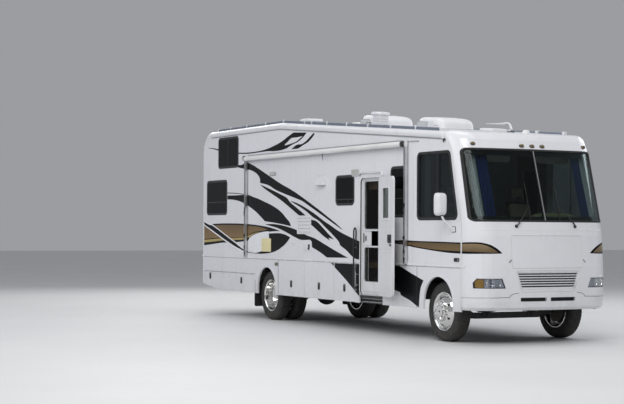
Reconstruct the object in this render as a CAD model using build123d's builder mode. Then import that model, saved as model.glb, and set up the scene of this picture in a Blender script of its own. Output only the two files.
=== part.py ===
from build123d import *
import math
import os

# Class A motorhome, about 10.8 m long: a box coach body on a ladder frame with a
# moulded front cap, roof stepped up towards the rear, and a garage behind a ramp door.
# Frame: +X forward, +Y to the driver's side (left), +Z up, Z = 0 on the ground,
# origin under the middle of the vehicle's box. Millimetres.

os.makedirs("parts", exist_ok=True)

# ---- driving dimensions ------------------------------------------------------
FRONT_AXLE_X = 4170.0
WHEELBASE = 6147.0
REAR_AXLE_X = FRONT_AXLE_X - WHEELBASE
HUB_Z = 472.0            # tyre radius, unloaded
TYRE_R = 472.0
TYRE_W = 245.0
RIM_BEAD_R = 286.0
HALF_W = 1282.5          # half the body width
WALL_T = 50.0            # laminated wall
SKIRT_T = 25.0           # moulded skirt and its doors
FLOOR_TOP = 1185.0
FLOOR_T = 100.0
SKIRT_Z0 = 494.0
SKIRT_TOP = 1181.0
EAVE_REAR_Z = 3650.0     # top of the side wall at the rear, flat part
EAVE_KINK_X = -1480.0    # where the roof starts to fall towards the front
EAVE_FRONT_X = 4381.0
EAVE_FRONT_Z = 3170.0
ROOF_T = 110.0
EDGE_R = 70.0            # roof edge rounding
REAR_X = -5210.0
REAR_R = 430.0           # rear top corner in side view
CAP_T = 50.0             # front cap thickness
BOW_R = 8500.0           # front cap, plan radius
SEAM_X = 4835.0          # vertical seam between side wall and front cap
GAP = 5.0

KINGPIN_Y = 870.0
FRONT_WHEEL_Y = 1060.0
REAR_OUTER_Y = 1097.5
REAR_INNER_Y = 763.5
STEER_ARM_X = -190.0     # tie rod ball joint, behind the kingpin

HINGE_X, HINGE_Y = 2432.0, -1300.0   # entry door hinge line
DOOR_OPEN = 168.0
DOOR_W, DOOR_Z0, DOOR_Z1 = 740.0, 645.0, 2615.0
RAMP_Y, RAMP_Z0, RAMP_Z1, RAMP_T = 1060.0, 1100.0, 3180.0, 60.0
HATCH_Y, HATCH_Z0, HATCH_Z1 = 660.0, 1166.0, 1664.0
SLIDE_X0, SLIDE_X1, SLIDE_Z0, SLIDE_Z1 = -300.0, 2700.0, 1235.0, 3120.0
SLIDE_Y0 = 520.0         # inner end of the slide-out room when it is in

# side windows: name, x0, x1, z0, z1, corner radius
WINDOWS_RIGHT = [
    ("loft", -4349, -3395, 3000, 3590, 55),
    ("garage", -4930, -3940, 2050, 2722, 60),
    ("galley", 797, 1437, 2183, 2666, 75),
    ("lounge", 2723, 3165, 1968, 2759, 60),
]
WINDOWS_LEFT = [
    ("loft", -4349, -3395, 3000, 3590, 55),
    ("garage", -4930, -3940, 2050, 2722, 60),
    ("bath", -1500, -1000, 2300, 2760, 75),
    ("dinette", 2860, 3300, 1968, 2759, 60),
]
CAB_WINDOW = [(3561, 1920), (4727, 1920), (4498, 2955), (3561, 2955)]

# hinged skirt doors: name, side (-1 right, +1 left), x0, x1, z0, z1
SKIRT_DOORS = [
    ("baggage_door_right_rear", -1, -1500, -422, 498, 1160),
    ("baggage_door_right_middle", -1, -402, 722, 498, 1160),
    ("baggage_door_right_front", -1, 742, 1500, 498, 1160),
    ("locker_door_right", -1, -5040, -2600, 498, 860),
    ("baggage_door_left_rear", 1, -1500, -122, 498, 1160),
    ("baggage_door_left_front", 1, -102, 1400, 498, 1160),
    ("locker_door_left", 1, -5040, -2600, 498, 860),
]
# wheel arches: centre x, centre z, radius
ARCHES = [(4190, 583, 430), (-2020, 610, 400)]

# front cap sections: z, x of the nose on the centreline, half width, corner radius
CAP = [
    (525, 5267, 1262, 400),
    (570, 5310, 1279, 408),
    (660, 5322, 1282.5, 410),
    (1185, 5321, 1282.5, 410),
    (1660, 5285, 1282.5, 405),
    (1880, 5240, 1282.5, 400),
    (2980, 4899, 1282.5, 350),
    (3080, 4846, 1282.5, 345),
    (3150, 4812, 1282.5, 340),
    (3210, 4760, 1282.5, 330),
    (3248, 4705, 1271, 300),
    (3268, 4655, 1252, 250),
    (3280, 4590, 1212.5, 200),
]


def save(made, label):
    made.part.label = label
    export_step(made.part, f"parts/{label}.step")


def eave(x):
    """Height of the top of the side wall at x."""
    if x <= EAVE_KINK_X:
        return EAVE_REAR_Z
    slope = (EAVE_REAR_Z - EAVE_FRONT_Z) / (EAVE_FRONT_X - EAVE_KINK_X)
    return EAVE_REAR_Z - slope * (x - EAVE_KINK_X)


def cap_section(z, nose, half, corner, t):
    """Plan outline of the front cap at height z, taken in by t: sides, corners and bow."""
    r, big, w, xc = corner - t, BOW_R - t, half - t, nose - t
    cy = w - r
    cx = xc - big + math.sqrt((big - r) ** 2 - cy**2)
    a = math.degrees(math.atan2(cy, cx - (xc - big)))  # where bow and corner meet
    tx, ty = cx + r * math.cos(math.radians(a)), cy + r * math.sin(math.radians(a))
    mid = math.radians((a + 90) / 2)
    mx, my = cx + r * math.cos(mid), cy + r * math.sin(mid)
    back = 3700.0
    with BuildSketch(Plane.XY.offset(z)) as plan:
        with BuildLine():
            Polyline((cx, -w), (back, -w), (back, w), (cx, w))
            ThreePointArc((cx, w), (mx, my), (tx, ty))
            ThreePointArc((tx, ty), (xc, 0), (tx, -ty))
            ThreePointArc((tx, -ty), (mx, -my), (cx, -w))
        make_face()
    return plan.sketch.faces()[0]


def cap_body(t, mode=Mode.ADD, drop=0.0):
    """Solid inside the cap's skin taken in by t, its lower end moved down by drop."""
    sections = []
    for i, (z, nose, half, corner) in enumerate(CAP):
        zz = z - drop if i == 0 else z
        if z > 3100:
            zz = 3100 + (z - 3100) * (180 - t) / 180
        sections.append(cap_section(zz, nose, half, corner, t))
    loft(sections, ruled=True, mode=mode)


def front_of_seam():
    """Keeps only what lies in front of the slanted seam with the side walls."""
    with BuildSketch(Plane.XZ) as keep:
        with BuildLine():
            Polyline(
                (SEAM_X, 300), (SEAM_X, 1800), (4545, 2950), (4480, 3080),
                (EAVE_FRONT_X, EAVE_FRONT_Z), (EAVE_FRONT_X, 3500), (5700, 3500),
                (5700, 300), (SEAM_X, 300),
            )
        make_face()
    extrude(keep.sketch, amount=1500, both=True, mode=Mode.INTERSECT)


def front_prism(points, mode, r=0.0):
    """Prism along X from outline points (y, z), for openings and panels of the cap."""
    with BuildSketch(Plane.YZ.offset(4500)) as s:
        with BuildLine():
            Polyline(*points, points[0])
        make_face()
        if r:
            fillet(s.vertices(), r)
    extrude(s.sketch, amount=1200, mode=mode)


def rect_pts(y0, y1, z0, z1):
    return [(y0, z0), (y1, z0), (y1, z1), (y0, z1)]


WINDSHIELD = [(-1228, 1887), (1228, 1887), (1210, 2992), (-1210, 2992)]
GRILLE = [(-506, 846), (506, 846), (588, 1110), (-588, 1110)]
HEADLAMP_R = [(-1222, 862), (-764, 862), (-826, 1012), (-1190, 1012), (-1226, 950)]
HEADLAMP_L = [(-y, z) for y, z in reversed(HEADLAMP_R)]
SLOTS = [(-512, -34), (34, 512)]

# ---- front cap -----------------------------------------------------------------
with BuildPart() as front_cap:
    cap_body(0)
    cap_body(CAP_T, Mode.SUBTRACT, drop=60)
    front_of_seam()
    front_prism(WINDSHIELD, Mode.SUBTRACT, 60)
    front_prism(rect_pts(-HATCH_Y, HATCH_Y, HATCH_Z0, HATCH_Z1), Mode.SUBTRACT, 25)
    front_prism(GRILLE, Mode.SUBTRACT, 12)
    front_prism(HEADLAMP_R, Mode.SUBTRACT)
    front_prism(HEADLAMP_L, Mode.SUBTRACT)
    for y0, y1 in SLOTS:
        front_prism(rect_pts(y0, y1, 660, 722), Mode.SUBTRACT, 8)
save(front_cap, "front_cap")

# two curved panes with a centre strip between them
with BuildPart() as windshield:
    cap_body(14)
    cap_body(22, Mode.SUBTRACT, drop=60)
    with BuildSketch(Plane.YZ.offset(4500)) as panes:
        for s in (-1, 1):
            with BuildLine():
                Polyline((s * 6, 1890), (s * 1225, 1890), (s * 1207, 2989), (s * 6, 2989), (s * 6, 1890))
            make_face()
        fillet(panes.vertices(), 57)
    extrude(amount=1200, mode=Mode.INTERSECT)
save(windshield, "windshield")

with BuildPart() as front_hatch:
    cap_body(0)
    cap_body(CAP_T - 10, Mode.SUBTRACT, drop=60)
    front_prism(
        rect_pts(-HATCH_Y + GAP, HATCH_Y - GAP, HATCH_Z0 + GAP, HATCH_Z1 - GAP),
        Mode.INTERSECT, 22,
    )
save(front_hatch, "front_hatch")

# louvred grille, its slats curved with the cap
with BuildPart() as grille:
    cap_body(6)
    cap_body(30, Mode.SUBTRACT, drop=60)
    front_prism([(-503.5, 848), (503.5, 848), (585.5, 1108), (-585.5, 1108)], Mode.INTERSECT, 10)
    for i in range(6):
        z = 878 + i * 38
        y = 503.5 + (z - 848) * 82 / 260 - 22
        front_prism([(-y, z), (y, z), (y + 8, z + 22), (-y - 8, z + 22)], Mode.SUBTRACT)
save(grille, "grille")

with BuildPart() as headlights:
    cap_body(4)
    cap_body(46, Mode.SUBTRACT, drop=60)
    with BuildSketch(Plane.YZ.offset(4500)):
        for pts in (HEADLAMP_R, HEADLAMP_L):
            with BuildLine():
                Polyline(*pts, pts[0])
            make_face()
        offset(amount=-1.5)
    extrude(amount=1200, mode=Mode.INTERSECT)
save(headlights, "headlights")

# ---- side walls ----------------------------------------------------------------
def wall_outline():
    with BuildLine() as edge:
        Polyline(
            (-5100, 3330), (-5100, FLOOR_TOP), (SEAM_X, FLOOR_TOP), (SEAM_X, 1800),
            (4545, 2950), (4480, 3080), (EAVE_FRONT_X, EAVE_FRONT_Z),
            (EAVE_KINK_X, EAVE_REAR_Z), (-4780, EAVE_REAR_Z),
        )
        RadiusArc((-4780, EAVE_REAR_Z), (-5100, 3330), -320)
    make_face(edge.edges())


def window_holes(table, grow):
    for name, x0, x1, z0, z1, r in table:
        with Locations(((x0 + x1) / 2, (z0 + z1) / 2)):
            RectangleRounded(x1 - x0 + 2 * grow, z1 - z0 + 2 * grow, r + grow)


def cab_window(grow):
    with BuildSketch() as s:
        with BuildLine():
            Polyline(*CAB_WINDOW, CAB_WINDOW[0])
        make_face()
        fillet(s.vertices(), 70)
        if grow:
            offset(amount=grow)
    add(s.sketch)


SIDES = [(-1, "right", WINDOWS_RIGHT), (1, "left", WINDOWS_LEFT)]
for side, tag, table in SIDES:
    y0 = HALF_W - WALL_T if side < 0 else -HALF_W
    with BuildPart() as wall:
        with BuildSketch(Plane.XZ.offset(y0)):
            wall_outline()
        extrude(amount=WALL_T)
        with BuildSketch(Plane.XZ.offset(y0)):
            window_holes(table, 0)
            cab_window(0)
            if side < 0:
                with Locations(((1650 + 2450) / 2, (600 + 2640) / 2)):
                    RectangleRounded(800, 2040, 95)
            else:
                with Locations(((SLIDE_X0 + SLIDE_X1) / 2, (SLIDE_Z0 + SLIDE_Z1) / 2)):
                    Rectangle(SLIDE_X1 - SLIDE_X0, SLIDE_Z1 - SLIDE_Z0)
        extrude(amount=WALL_T, mode=Mode.SUBTRACT)
    save(wall, f"wall_{tag}")

with BuildPart() as side_windows:
    for side, tag, table in SIDES:
        with BuildSketch(Plane.XZ.offset(HALF_W - 22 if side < 0 else -HALF_W - 2)):
            window_holes(table, -1.5)
            cab_window(-1.5)
        extrude(amount=24)
save(side_windows, "side_windows")

# ---- roof and rear cap -----------------------------------------------------------
with BuildPart() as roof:
    with BuildSketch(Plane.XZ):
        with BuildLine():
            Polyline(
                (-4780, EAVE_REAR_Z), (EAVE_KINK_X, EAVE_REAR_Z), (EAVE_FRONT_X, EAVE_FRONT_Z),
                (EAVE_FRONT_X, EAVE_FRONT_Z + ROOF_T), (EAVE_KINK_X, EAVE_REAR_Z + ROOF_T),
                (-4780, EAVE_REAR_Z + ROOF_T), (-4780, EAVE_REAR_Z),
            )
        make_face()
    extrude(amount=HALF_W, both=True)
    tops = roof.edges().filter_by(lambda e: abs(abs(e.center().Y) - HALF_W) < 1 and e.center().Z > eave(e.center().X) + ROOF_T - 5 and e.length > 1000)
    fillet(tops, EDGE_R)
save(roof, "roof")

with BuildPart() as rear_cap:
    with BuildSketch(Plane.XZ):
        with BuildLine():
            Polyline((-4780, EAVE_REAR_Z + ROOF_T), (-4780, EAVE_REAR_Z))
            RadiusArc((-4780, EAVE_REAR_Z), (-5100, 3330), -320)
            Polyline((-5100, 3330), (-5100, 600), (REAR_X, 600), (REAR_X, 3330))
            RadiusArc((REAR_X, 3330), (-4780, EAVE_REAR_Z + ROOF_T), REAR_R)
        make_face()
    extrude(amount=HALF_W, both=True)
    outer = rear_cap.edges().filter_by(
        lambda e: abs(abs(e.center().Y) - HALF_W) < 1
        and (e.center().X < REAR_X + 1 or (e.geom_type == GeomType.CIRCLE and e.radius > 400))
    )
    fillet(outer, EDGE_R)
    # thinner in the middle, and the ramp door's opening
    with BuildSketch(Plane.YZ.offset(REAR_X + 60)):
        with Locations((0, 1900)):
            Rectangle(2 * (HALF_W - WALL_T), 2760)
    extrude(amount=200, mode=Mode.SUBTRACT)
    with BuildSketch(Plane.YZ.offset(REAR_X - 20)):
        with Locations((0, (RAMP_Z0 + RAMP_Z1) / 2)):
            RectangleRounded(2 * RAMP_Y, RAMP_Z1 - RAMP_Z0, 30)
        for y in (-1170, 1170):
            with Locations((y, 1450)):
                RectangleRounded(110, 620, 30)
        with Locations((0, 630)):
            Rectangle(1000, 180)
    extrude(amount=200, mode=Mode.SUBTRACT)
save(rear_cap, "rear_cap")

with BuildPart() as tail_lights:
    with BuildSketch(Plane.YZ.offset(REAR_X - 8)):
        for y in (-1170, 1170):
            with Locations((y, 1450)):
                RectangleRounded(107, 617, 28.5)
    extrude(amount=40)
save(tail_lights, "tail_lights")

with BuildPart() as ramp_door:
    with BuildSketch(Plane.YZ.offset(REAR_X)):
        with Locations((0, (RAMP_Z0 + RAMP_Z1) / 2)):
            RectangleRounded(2 * (RAMP_Y - GAP), RAMP_Z1 - RAMP_Z0 - 2 * GAP, 26)
    extrude(amount=RAMP_T - 2)
    with BuildSketch(Plane.YZ.offset(REAR_X)):
        with Locations((-780, 2450), (780, 2450)):
            RectangleRounded(60, 130, 12)
    extrude(amount=-22)
save(ramp_door, "ramp_door")

# ---- floor, bulkhead, bays ---------------------------------------------------------
with BuildPart() as floor_deck:
    with BuildSketch(Plane.XY.offset(FLOOR_TOP - FLOOR_T)):
        with Locations(((-5140 + SEAM_X - 40) / 2, 0)):
            Rectangle(SEAM_X - 40 + 5140, 2 * (HALF_W - WALL_T - 2))
        with Locations((2052, -1000)):
            Rectangle(840, 480, mode=Mode.SUBTRACT)
    extrude(amount=FLOOR_T)
save(floor_deck, "floor_deck")

with BuildPart() as bulkhead:
    with BuildSketch(Plane.YZ.offset(-2190)):
        with Locations((0, (FLOOR_TOP + EAVE_REAR_Z) / 2)):
            Rectangle(2 * (HALF_W - WALL_T - 2), EAVE_REAR_Z - FLOOR_TOP - 4)
    extrude(amount=40)
save(bulkhead, "garage_bulkhead")

# trays and dividers of the baggage bays: x0, x1 of each tray, and the dividers' places
BAYS = [
    (-1, -1497, 1518, (-1490, -412, 732, 1511)),
    (1, -1497, 1418, (-1490, -112, 1411)),
    (-1, -4480, -3550, ()),
    (1, -4480, -3550, ()),
]
with BuildPart() as bays:
    for side, x0, x1, dividers in BAYS:
        with BuildSketch(Plane.XY.offset(506)):
            with Locations(((x0 + x1) / 2, side * 942.5)):
                Rectangle(x1 - x0, 605)
        extrude(amount=16)
        if dividers:
            with BuildSketch(Plane.XY.offset(520)):
                for x in dividers:
                    with Locations((x, side * 942.5)):
                        Rectangle(14, 605)
            extrude(amount=560)
save(bays, "baggage_bays")

# ---- skirts with arches and hinged doors -------------------------------------------
def skirt_outline():
    """The skirt's outline in side view, its bottom edge rising to the rear corner."""
    with BuildLine() as edge:
        Polyline(
            (-5098, SKIRT_TOP), (-5098, 598), (-4900, 572), (-4508, 519), (-4250, SKIRT_Z0),
            (SEAM_X - 2, SKIRT_Z0), (SEAM_X - 2, SKIRT_TOP), (-5098, SKIRT_TOP),
        )
    return edge.edges()


def at_side(side, inner):
    """Plane of a skirt's inner face; extruding goes outward for the right, inward for the left."""
    return Plane.XZ.offset(inner if side < 0 else -HALF_W)


with BuildPart() as skirts:
    for side in (-1, 1):
        with BuildSketch(at_side(side, HALF_W - SKIRT_T)):
            make_face(skirt_outline())
            for cx, cz, r in ARCHES:
                with Locations((cx, cz)):
                    Circle(r, mode=Mode.SUBTRACT)
                with Locations((cx, cz - 300)):
                    Rectangle(2 * r, 600, mode=Mode.SUBTRACT)
            for name, s, x0, x1, z0, z1 in SKIRT_DOORS:
                if s == side:
                    low = 400 if z0 < 505 else z0 - 5
                    with Locations(((x0 + x1) / 2, (low + z1 + 5) / 2)):
                        Rectangle(x1 - x0 + 10, z1 + 5 - low, mode=Mode.SUBTRACT)
            if side < 0:
                with Locations((2050, 800)):
                    Rectangle(800, 1000, mode=Mode.SUBTRACT)
        extrude(amount=SKIRT_T)
        # raised lips round the arches
        with BuildSketch(Plane.XZ.offset(HALF_W if side < 0 else -HALF_W - 10)):
            for cx, cz, r in ARCHES:
                with Locations((cx, cz)):
                    Circle(r + 38)
                with Locations((cx, cz - 60)):
                    Rectangle(2 * (r + 38), 120)
                with Locations((cx, cz)):
                    Circle(r, mode=Mode.SUBTRACT)
                with Locations((cx, cz - 300)):
                    Rectangle(2 * r, 600, mode=Mode.SUBTRACT)
            with Locations((0, SKIRT_Z0 - 400)):
                Rectangle(12000, 800, mode=Mode.SUBTRACT)
        extrude(amount=10)
save(skirts, "skirts")

for name, side, x0, x1, z0, z1 in SKIRT_DOORS:
    with BuildPart() as door:
        with BuildSketch(at_side(side, HALF_W - SKIRT_T)):
            with Locations(((x0 + x1) / 2, (z0 + z1) / 2)):
                Rectangle(x1 - x0, z1 - z0)
            make_face(skirt_outline(), mode=Mode.INTERSECT)
        extrude(amount=SKIRT_T)
        latches = [(-4747, 770), (-3191, 722)] if "locker" in name else [((x0 + x1) / 2, 727)]
        with BuildSketch(Plane.XZ.offset(HALF_W if side < 0 else -HALF_W - 9)):
            for x, z in latches:
                with Locations((x, z)):
                    RectangleRounded(56, 118, 18)
        extrude(amount=9)
    save(door, name)

# ---- entry door, its frame and the screen door ---------------------------------------
with BuildPart() as entry_frame:
    with BuildSketch(Plane.XZ.offset(HALF_W - 116)):
        with Locations((2050, 1635)):
            RectangleRounded(797, 2007, 93.5)
        with Locations((2052.5, 1637)):
            RectangleRounded(705, 1900, 75, mode=Mode.SUBTRACT)
    extrude(amount=119)
    with BuildSketch(Plane.XZ.offset(HALF_W - 46)):
        with Locations((2052, 1630)):
            RectangleRounded(754, 1980, 80)
    extrude(amount=60, mode=Mode.SUBTRACT)
save(entry_frame, "entry_door_frame")

SCREEN_X, SCREEN_Z = 2052.5, 1637.0
with BuildPart() as screen_door:
    with BuildSketch(Plane.XZ.offset(HALF_W - 74)):
        with Locations((SCREEN_X, SCREEN_Z)):
            RectangleRounded(699, 1894, 72)
    extrude(amount=22)
    # panels of mesh, thinner than the frame, on both faces: bottom and top of each
    for off in (HALF_W - 74, HALF_W - 62):
        with BuildSketch(Plane.XZ.offset(off)):
            for z0, z1 in ((1750, 2562), (862, 1442)):
                with Locations((SCREEN_X, (z0 + z1) / 2)):
                    RectangleRounded(640, z1 - z0, 50)
        extrude(amount=10, mode=Mode.SUBTRACT)
    # open in the middle beside the sliding panel of the latch
    with BuildSketch(Plane.XZ.offset(HALF_W - 74)):
        with Locations((SCREEN_X, 1594)):
            Rectangle(640, 252)
    extrude(amount=22, mode=Mode.SUBTRACT)
    with BuildSketch(Plane.XZ.offset(HALF_W - 74)):
        with Locations((1827, 1594)):
            Rectangle(226, 276)
    extrude(amount=6)
save(screen_door, "screen_door")

leaf = Plane(
    origin=(HINGE_X, HINGE_Y, 0),
    x_dir=(math.cos(math.radians(180 + DOOR_OPEN)), math.sin(math.radians(180 + DOOR_OPEN)), 0),
    z_dir=(math.cos(math.radians(90 + DOOR_OPEN)), math.sin(math.radians(90 + DOOR_OPEN)), 0),
)
with BuildPart() as entry_door:
    with BuildSketch(leaf.offset(17.5)) as s:
        with Locations((8 + DOOR_W / 2, (DOOR_Z0 + DOOR_Z1) / 2)):
            RectangleRounded(DOOR_W, DOOR_Z1 - DOOR_Z0, 75)
        with Locations((395, 2172)):
            RectangleRounded(350, 540, 40, mode=Mode.SUBTRACT)
    extrude(amount=40)
    with BuildSketch(leaf.offset(33)):
        with Locations((395, 2172)):
            RectangleRounded(350, 540, 40)
    extrude(amount=8)
    # inner latch case, outer handle
    with BuildSketch(leaf.offset(57.5)):
        with Locations((618, 1595)):
            RectangleRounded(136, 135, 10)
        with Locations((662, 1492)):
            Circle(18)
    extrude(amount=22)
    with BuildSketch(leaf.offset(17.5)):
        with Locations((660, 1595)):
            RectangleRounded(120, 120, 10)
    extrude(amount=-12)
save(entry_door, "entry_door")

# step well inside the door and the folded step below it
with BuildPart() as step_well:
    with BuildSketch(Plane.YZ.offset(1640)):
        with BuildLine():
            Polyline(
                (-1160, 640), (-1160, 660), (-980, 660), (-980, 915), (-762, 915), (-762, 1083),
                (-742, 1083), (-742, 895), (-960, 895), (-960, 640), (-1160, 640),
            )
        make_face()
    extrude(amount=824)
save(step_well, "step_well")

# folded step in its frame below the door
with BuildPart() as entry_step:
    with BuildSketch(Plane.XY.offset(592)):
        with Locations((2050, -1160)):
            Rectangle(760, 230)
            Rectangle(700, 170, mode=Mode.SUBTRACT)
    extrude(amount=34)
    for z, y in ((500, -1150), (556, -1140)):
        with BuildSketch(Plane.XY.offset(z)):
            with Locations((2050, y)):
                RectangleRounded(720, 240, 16)
        extrude(amount=26)
    with BuildSketch(Plane.YZ.offset(1694)):
        with Locations((-1140, 560)):
            Rectangle(60, 110)
    extrude(amount=12)
    with BuildSketch(Plane.YZ.offset(2394)):
        with Locations((-1140, 560)):
            Rectangle(60, 110)
    extrude(amount=12)
save(entry_step, "entry_step")

with BuildPart() as grab_rail:
    with BuildLine() as run:
        FilletPolyline(
            (1556, -1284, 745), (1556, -1345, 745), (1556, -1345, 1720), (1596, -1345, 1785),
            (1636, -1345, 1735), (1636, -1345, 1500), (1636, -1284, 1500), radius=20,
        )
    with BuildSketch(Plane(origin=run.line @ 0, z_dir=run.line % 0)):
        Circle(13)
    sweep()
save(grab_rail, "grab_rail")

# ---- slide-out room on the driver's side -----------------------------------------------
with BuildPart() as slide_out:
    w, h = SLIDE_X1 - SLIDE_X0 - 24, SLIDE_Z1 - SLIDE_Z0 - 24
    c = ((SLIDE_X0 + SLIDE_X1) / 2, (SLIDE_Z0 + SLIDE_Z1) / 2)
    with BuildSketch(Plane.XZ.offset(-HALF_W - 6)):
        with Locations(c):
            Rectangle(w, h)
    extrude(amount=HALF_W + 6 - SLIDE_Y0)
    with BuildSketch(Plane.XZ.offset(-HALF_W + 41)):
        with Locations(c):
            Rectangle(w - 80, h - 80)
    extrude(amount=HALF_W, mode=Mode.SUBTRACT)
    # flange that seals against the wall's outside
    with BuildSketch(Plane.XZ.offset(-HALF_W - 28)):
        with Locations(c):
            RectangleRounded(w + 110, h + 70, 20)
    extrude(amount=22)
    with BuildSketch(Plane.XZ.offset(-HALF_W - 40)):
        with Locations((500, 2330), (1900, 2330)):
            RectangleRounded(820, 560, 70)
    extrude(amount=120, mode=Mode.SUBTRACT)
save(slide_out, "slide_out_room")
with BuildPart() as slide_panes:
    with BuildSketch(Plane.XZ.offset(-HALF_W - 30)):
        with Locations((500, 2330), (1900, 2330)):
            RectangleRounded(817, 557, 68.5)
    extrude(amount=22)
save(slide_panes, "slide_out_windows")

# ---- ladder frame and running gear -------------------------------------------------------
RAIL_Y, RAIL_W, RAIL_Z0, RAIL_Z1 = 430.0, 76.0, 650.0, 890.0
with BuildPart() as chassis:
    for s in (-1, 1):
        # C-section rail, open to the inside
        with BuildSketch(Plane.YZ.offset(-5050)):
            with Locations((s * RAIL_Y, (RAIL_Z0 + RAIL_Z1) / 2)):
                Rectangle(RAIL_W, RAIL_Z1 - RAIL_Z0)
            with Locations((s * (RAIL_Y - 8), (RAIL_Z0 + RAIL_Z1) / 2)):
                Rectangle(RAIL_W, RAIL_Z1 - RAIL_Z0 - 16, mode=Mode.SUBTRACT)
        extrude(amount=10150)
    # cross members: x, half length, height
    for x, half, z0, z1 in (
        (-5040, 460, 700, 860), (-3400, 460, 660, 880), (-2700, 460, 660, 880), (-1000, 460, 826, 886),
        (600, 460, 826, 886), (2000, 460, 826, 886), (3300, 460, 826, 886), (5085, 600, 620, 800),
    ):
        with BuildSketch(Plane.YZ.offset(x - 30)):
            with Locations((0, (z0 + z1) / 2)):
                Rectangle(2 * half, z1 - z0)
        extrude(amount=60)
save(chassis, "chassis_frame")

# brackets that carry the floor out to the walls
with BuildPart() as outriggers:
    for x in (-4700, -3400, -2700, -1000, 600, 1560, 2560, 3300, 4760):
        with BuildSketch(Plane.YZ.offset(x - 20)):
            for s in (-1, 1):
                with BuildLine():
                    Polyline(
                        (s * 470, 892), (s * 1200, 1020), (s * 1200, 1083), (s * 395, 1083),
                        (s * 395, 892), (s * 470, 892),
                    )
                make_face()
        extrude(amount=40)
save(outriggers, "floor_outriggers")

# plain engine block, radiator, gearbox and propeller shaft
with BuildPart() as drivetrain:
    with BuildSketch(Plane.XY.offset(600)):
        with Locations((4560, 0)):
            Rectangle(680, 600)
    extrude(amount=470)
    with BuildSketch(Plane.XY.offset(640)):
        with Locations((5200, 0)):
            Rectangle(60, 760)
    extrude(amount=430)
    with BuildSketch(Plane.YZ.offset(3380)):
        with Locations((0, 780)):
            RectangleRounded(360, 330, 60)
    extrude(amount=830)
    # shaft sloping down to the rear axle
    with BuildSketch(Plane(origin=(3370, 0, 760), z_dir=(-5150, 0, -235))):
        Circle(58)
    extrude(amount=5000)
save(drivetrain, "drivetrain")

# tanks below the floor: centre x, y, z, then length, width, height
TANKS = [(2900, 850, 745, 900, 560, 230), (2950, -850, 745, 700, 560, 230), (-4000, 0, 745, 1000, 700, 230)]
with BuildPart() as tanks:
    for x, y, z, dx, dy, dz in TANKS:
        with BuildSketch(Plane.XY.offset(z - dz / 2)):
            with Locations((x, y)):
                RectangleRounded(dx, dy, 60)
        extrude(amount=dz)
save(tanks, "underfloor_tanks")

with BuildPart() as exhaust:
    with BuildLine():
        pipe = FilletPolyline(
            (4180, -350, 640), (3000, -300, 605), (-2560, -300, 600), (-3050, -560, 590), (-5130, -560, 560), radius=200
        )
    with BuildSketch(Plane(origin=pipe @ 0, z_dir=pipe % 0)):
        Circle(42)
    sweep()
    with BuildSketch(Plane.YZ.offset(700)):
        with Locations((-300, 603)):
            Ellipse(84, 78)
    extrude(amount=800)
save(exhaust, "exhaust")

with BuildPart() as front_axle:
    with BuildSketch(Plane.YZ.offset(FRONT_AXLE_X - 42)):
        with BuildLine():
            Polyline(
                (-858, 415), (-858, 525), (-780, 525), (-640, 440), (640, 440), (780, 525),
                (858, 525), (858, 415), (740, 415), (600, 345), (-600, 345), (-740, 415), (-858, 415),
            )
        make_face()
    extrude(amount=84)
    # kingpin bosses
    with BuildSketch(Plane.XY.offset(415)):
        with Locations((FRONT_AXLE_X, KINGPIN_Y), (FRONT_AXLE_X, -KINGPIN_Y)):
            Circle(32)
    extrude(amount=110)
save(front_axle, "front_axle")

with BuildPart() as rear_axle:
    with BuildSketch(Plane.XZ.offset(-905)):
        with Locations((REAR_AXLE_X, HUB_Z)):
            Circle(68)
    extrude(amount=1810)
    with BuildSketch(Plane.XZ) as bowl:
        with BuildLine():
            Polyline((REAR_AXLE_X, HUB_Z - 200), (REAR_AXLE_X, HUB_Z + 200))
            ThreePointArc((REAR_AXLE_X, HUB_Z + 200), (REAR_AXLE_X - 200, HUB_Z), (REAR_AXLE_X, HUB_Z - 200))
        make_face()
    revolve(axis=Axis((REAR_AXLE_X, 0, HUB_Z), (0, 0, 1)))
    with BuildSketch(Plane.YZ.offset(REAR_AXLE_X + 100)):
        with Locations((0, HUB_Z + 8)):
            Circle(90)
    extrude(amount=190)
save(rear_axle, "rear_axle")

with BuildPart() as springs:
    for x, y, z, half, r in (
        (FRONT_AXLE_X, 430, 445, 640, 1500), (REAR_AXLE_X, 540, 545, 760, 2600),
    ):
        rise = r - math.sqrt(r * r - half * half)
        with BuildSketch(Plane.XZ.offset(-y - 38)) as leafpack:
            with BuildLine():
                RadiusArc((x - half, z + rise), (x + half, z + rise), -r)
                Line((x + half, z + rise), (x + half, z + rise + 42))
                RadiusArc((x + half, z + rise + 42), (x - half, z + rise + 42), r)
                Line((x - half, z + rise + 42), (x - half, z + rise))
            make_face()
        extrude(amount=76)
        with BuildSketch(Plane.XZ.offset(y - 38)):
            add(leafpack.sketch)
    mirror(about=Plane.XZ)
save(springs, "leaf_springs")

# ---- wheels -------------------------------------------------------------------------------
def ring(axis_x, y, out, points):
    """Revolved part about the wheel axis; points are (offset outward, radius), out is +1 on the left."""
    with BuildSketch(Plane(origin=(axis_x, 0, HUB_Z), x_dir=(0, 1, 0), z_dir=(1, 0, 0))) as half:
        with BuildLine():
            pts = [(y + out * a, r) for a, r in points]
            Polyline(*pts, pts[0])
        make_face()
    revolve(half.sketch, axis=Axis((axis_x, 0, HUB_Z), (0, 1, 0)))


TYRE = [
    (-92, 287.5), (-92, 307), (-111, 309), (-122.5, 370), (-118, 420), (-100, 455), (-84, 468), (-60, 472),
    (60, 472), (84, 468), (100, 455), (118, 420), (122.5, 370), (111, 309), (92, 307), (92, 287.5),
]
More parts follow.
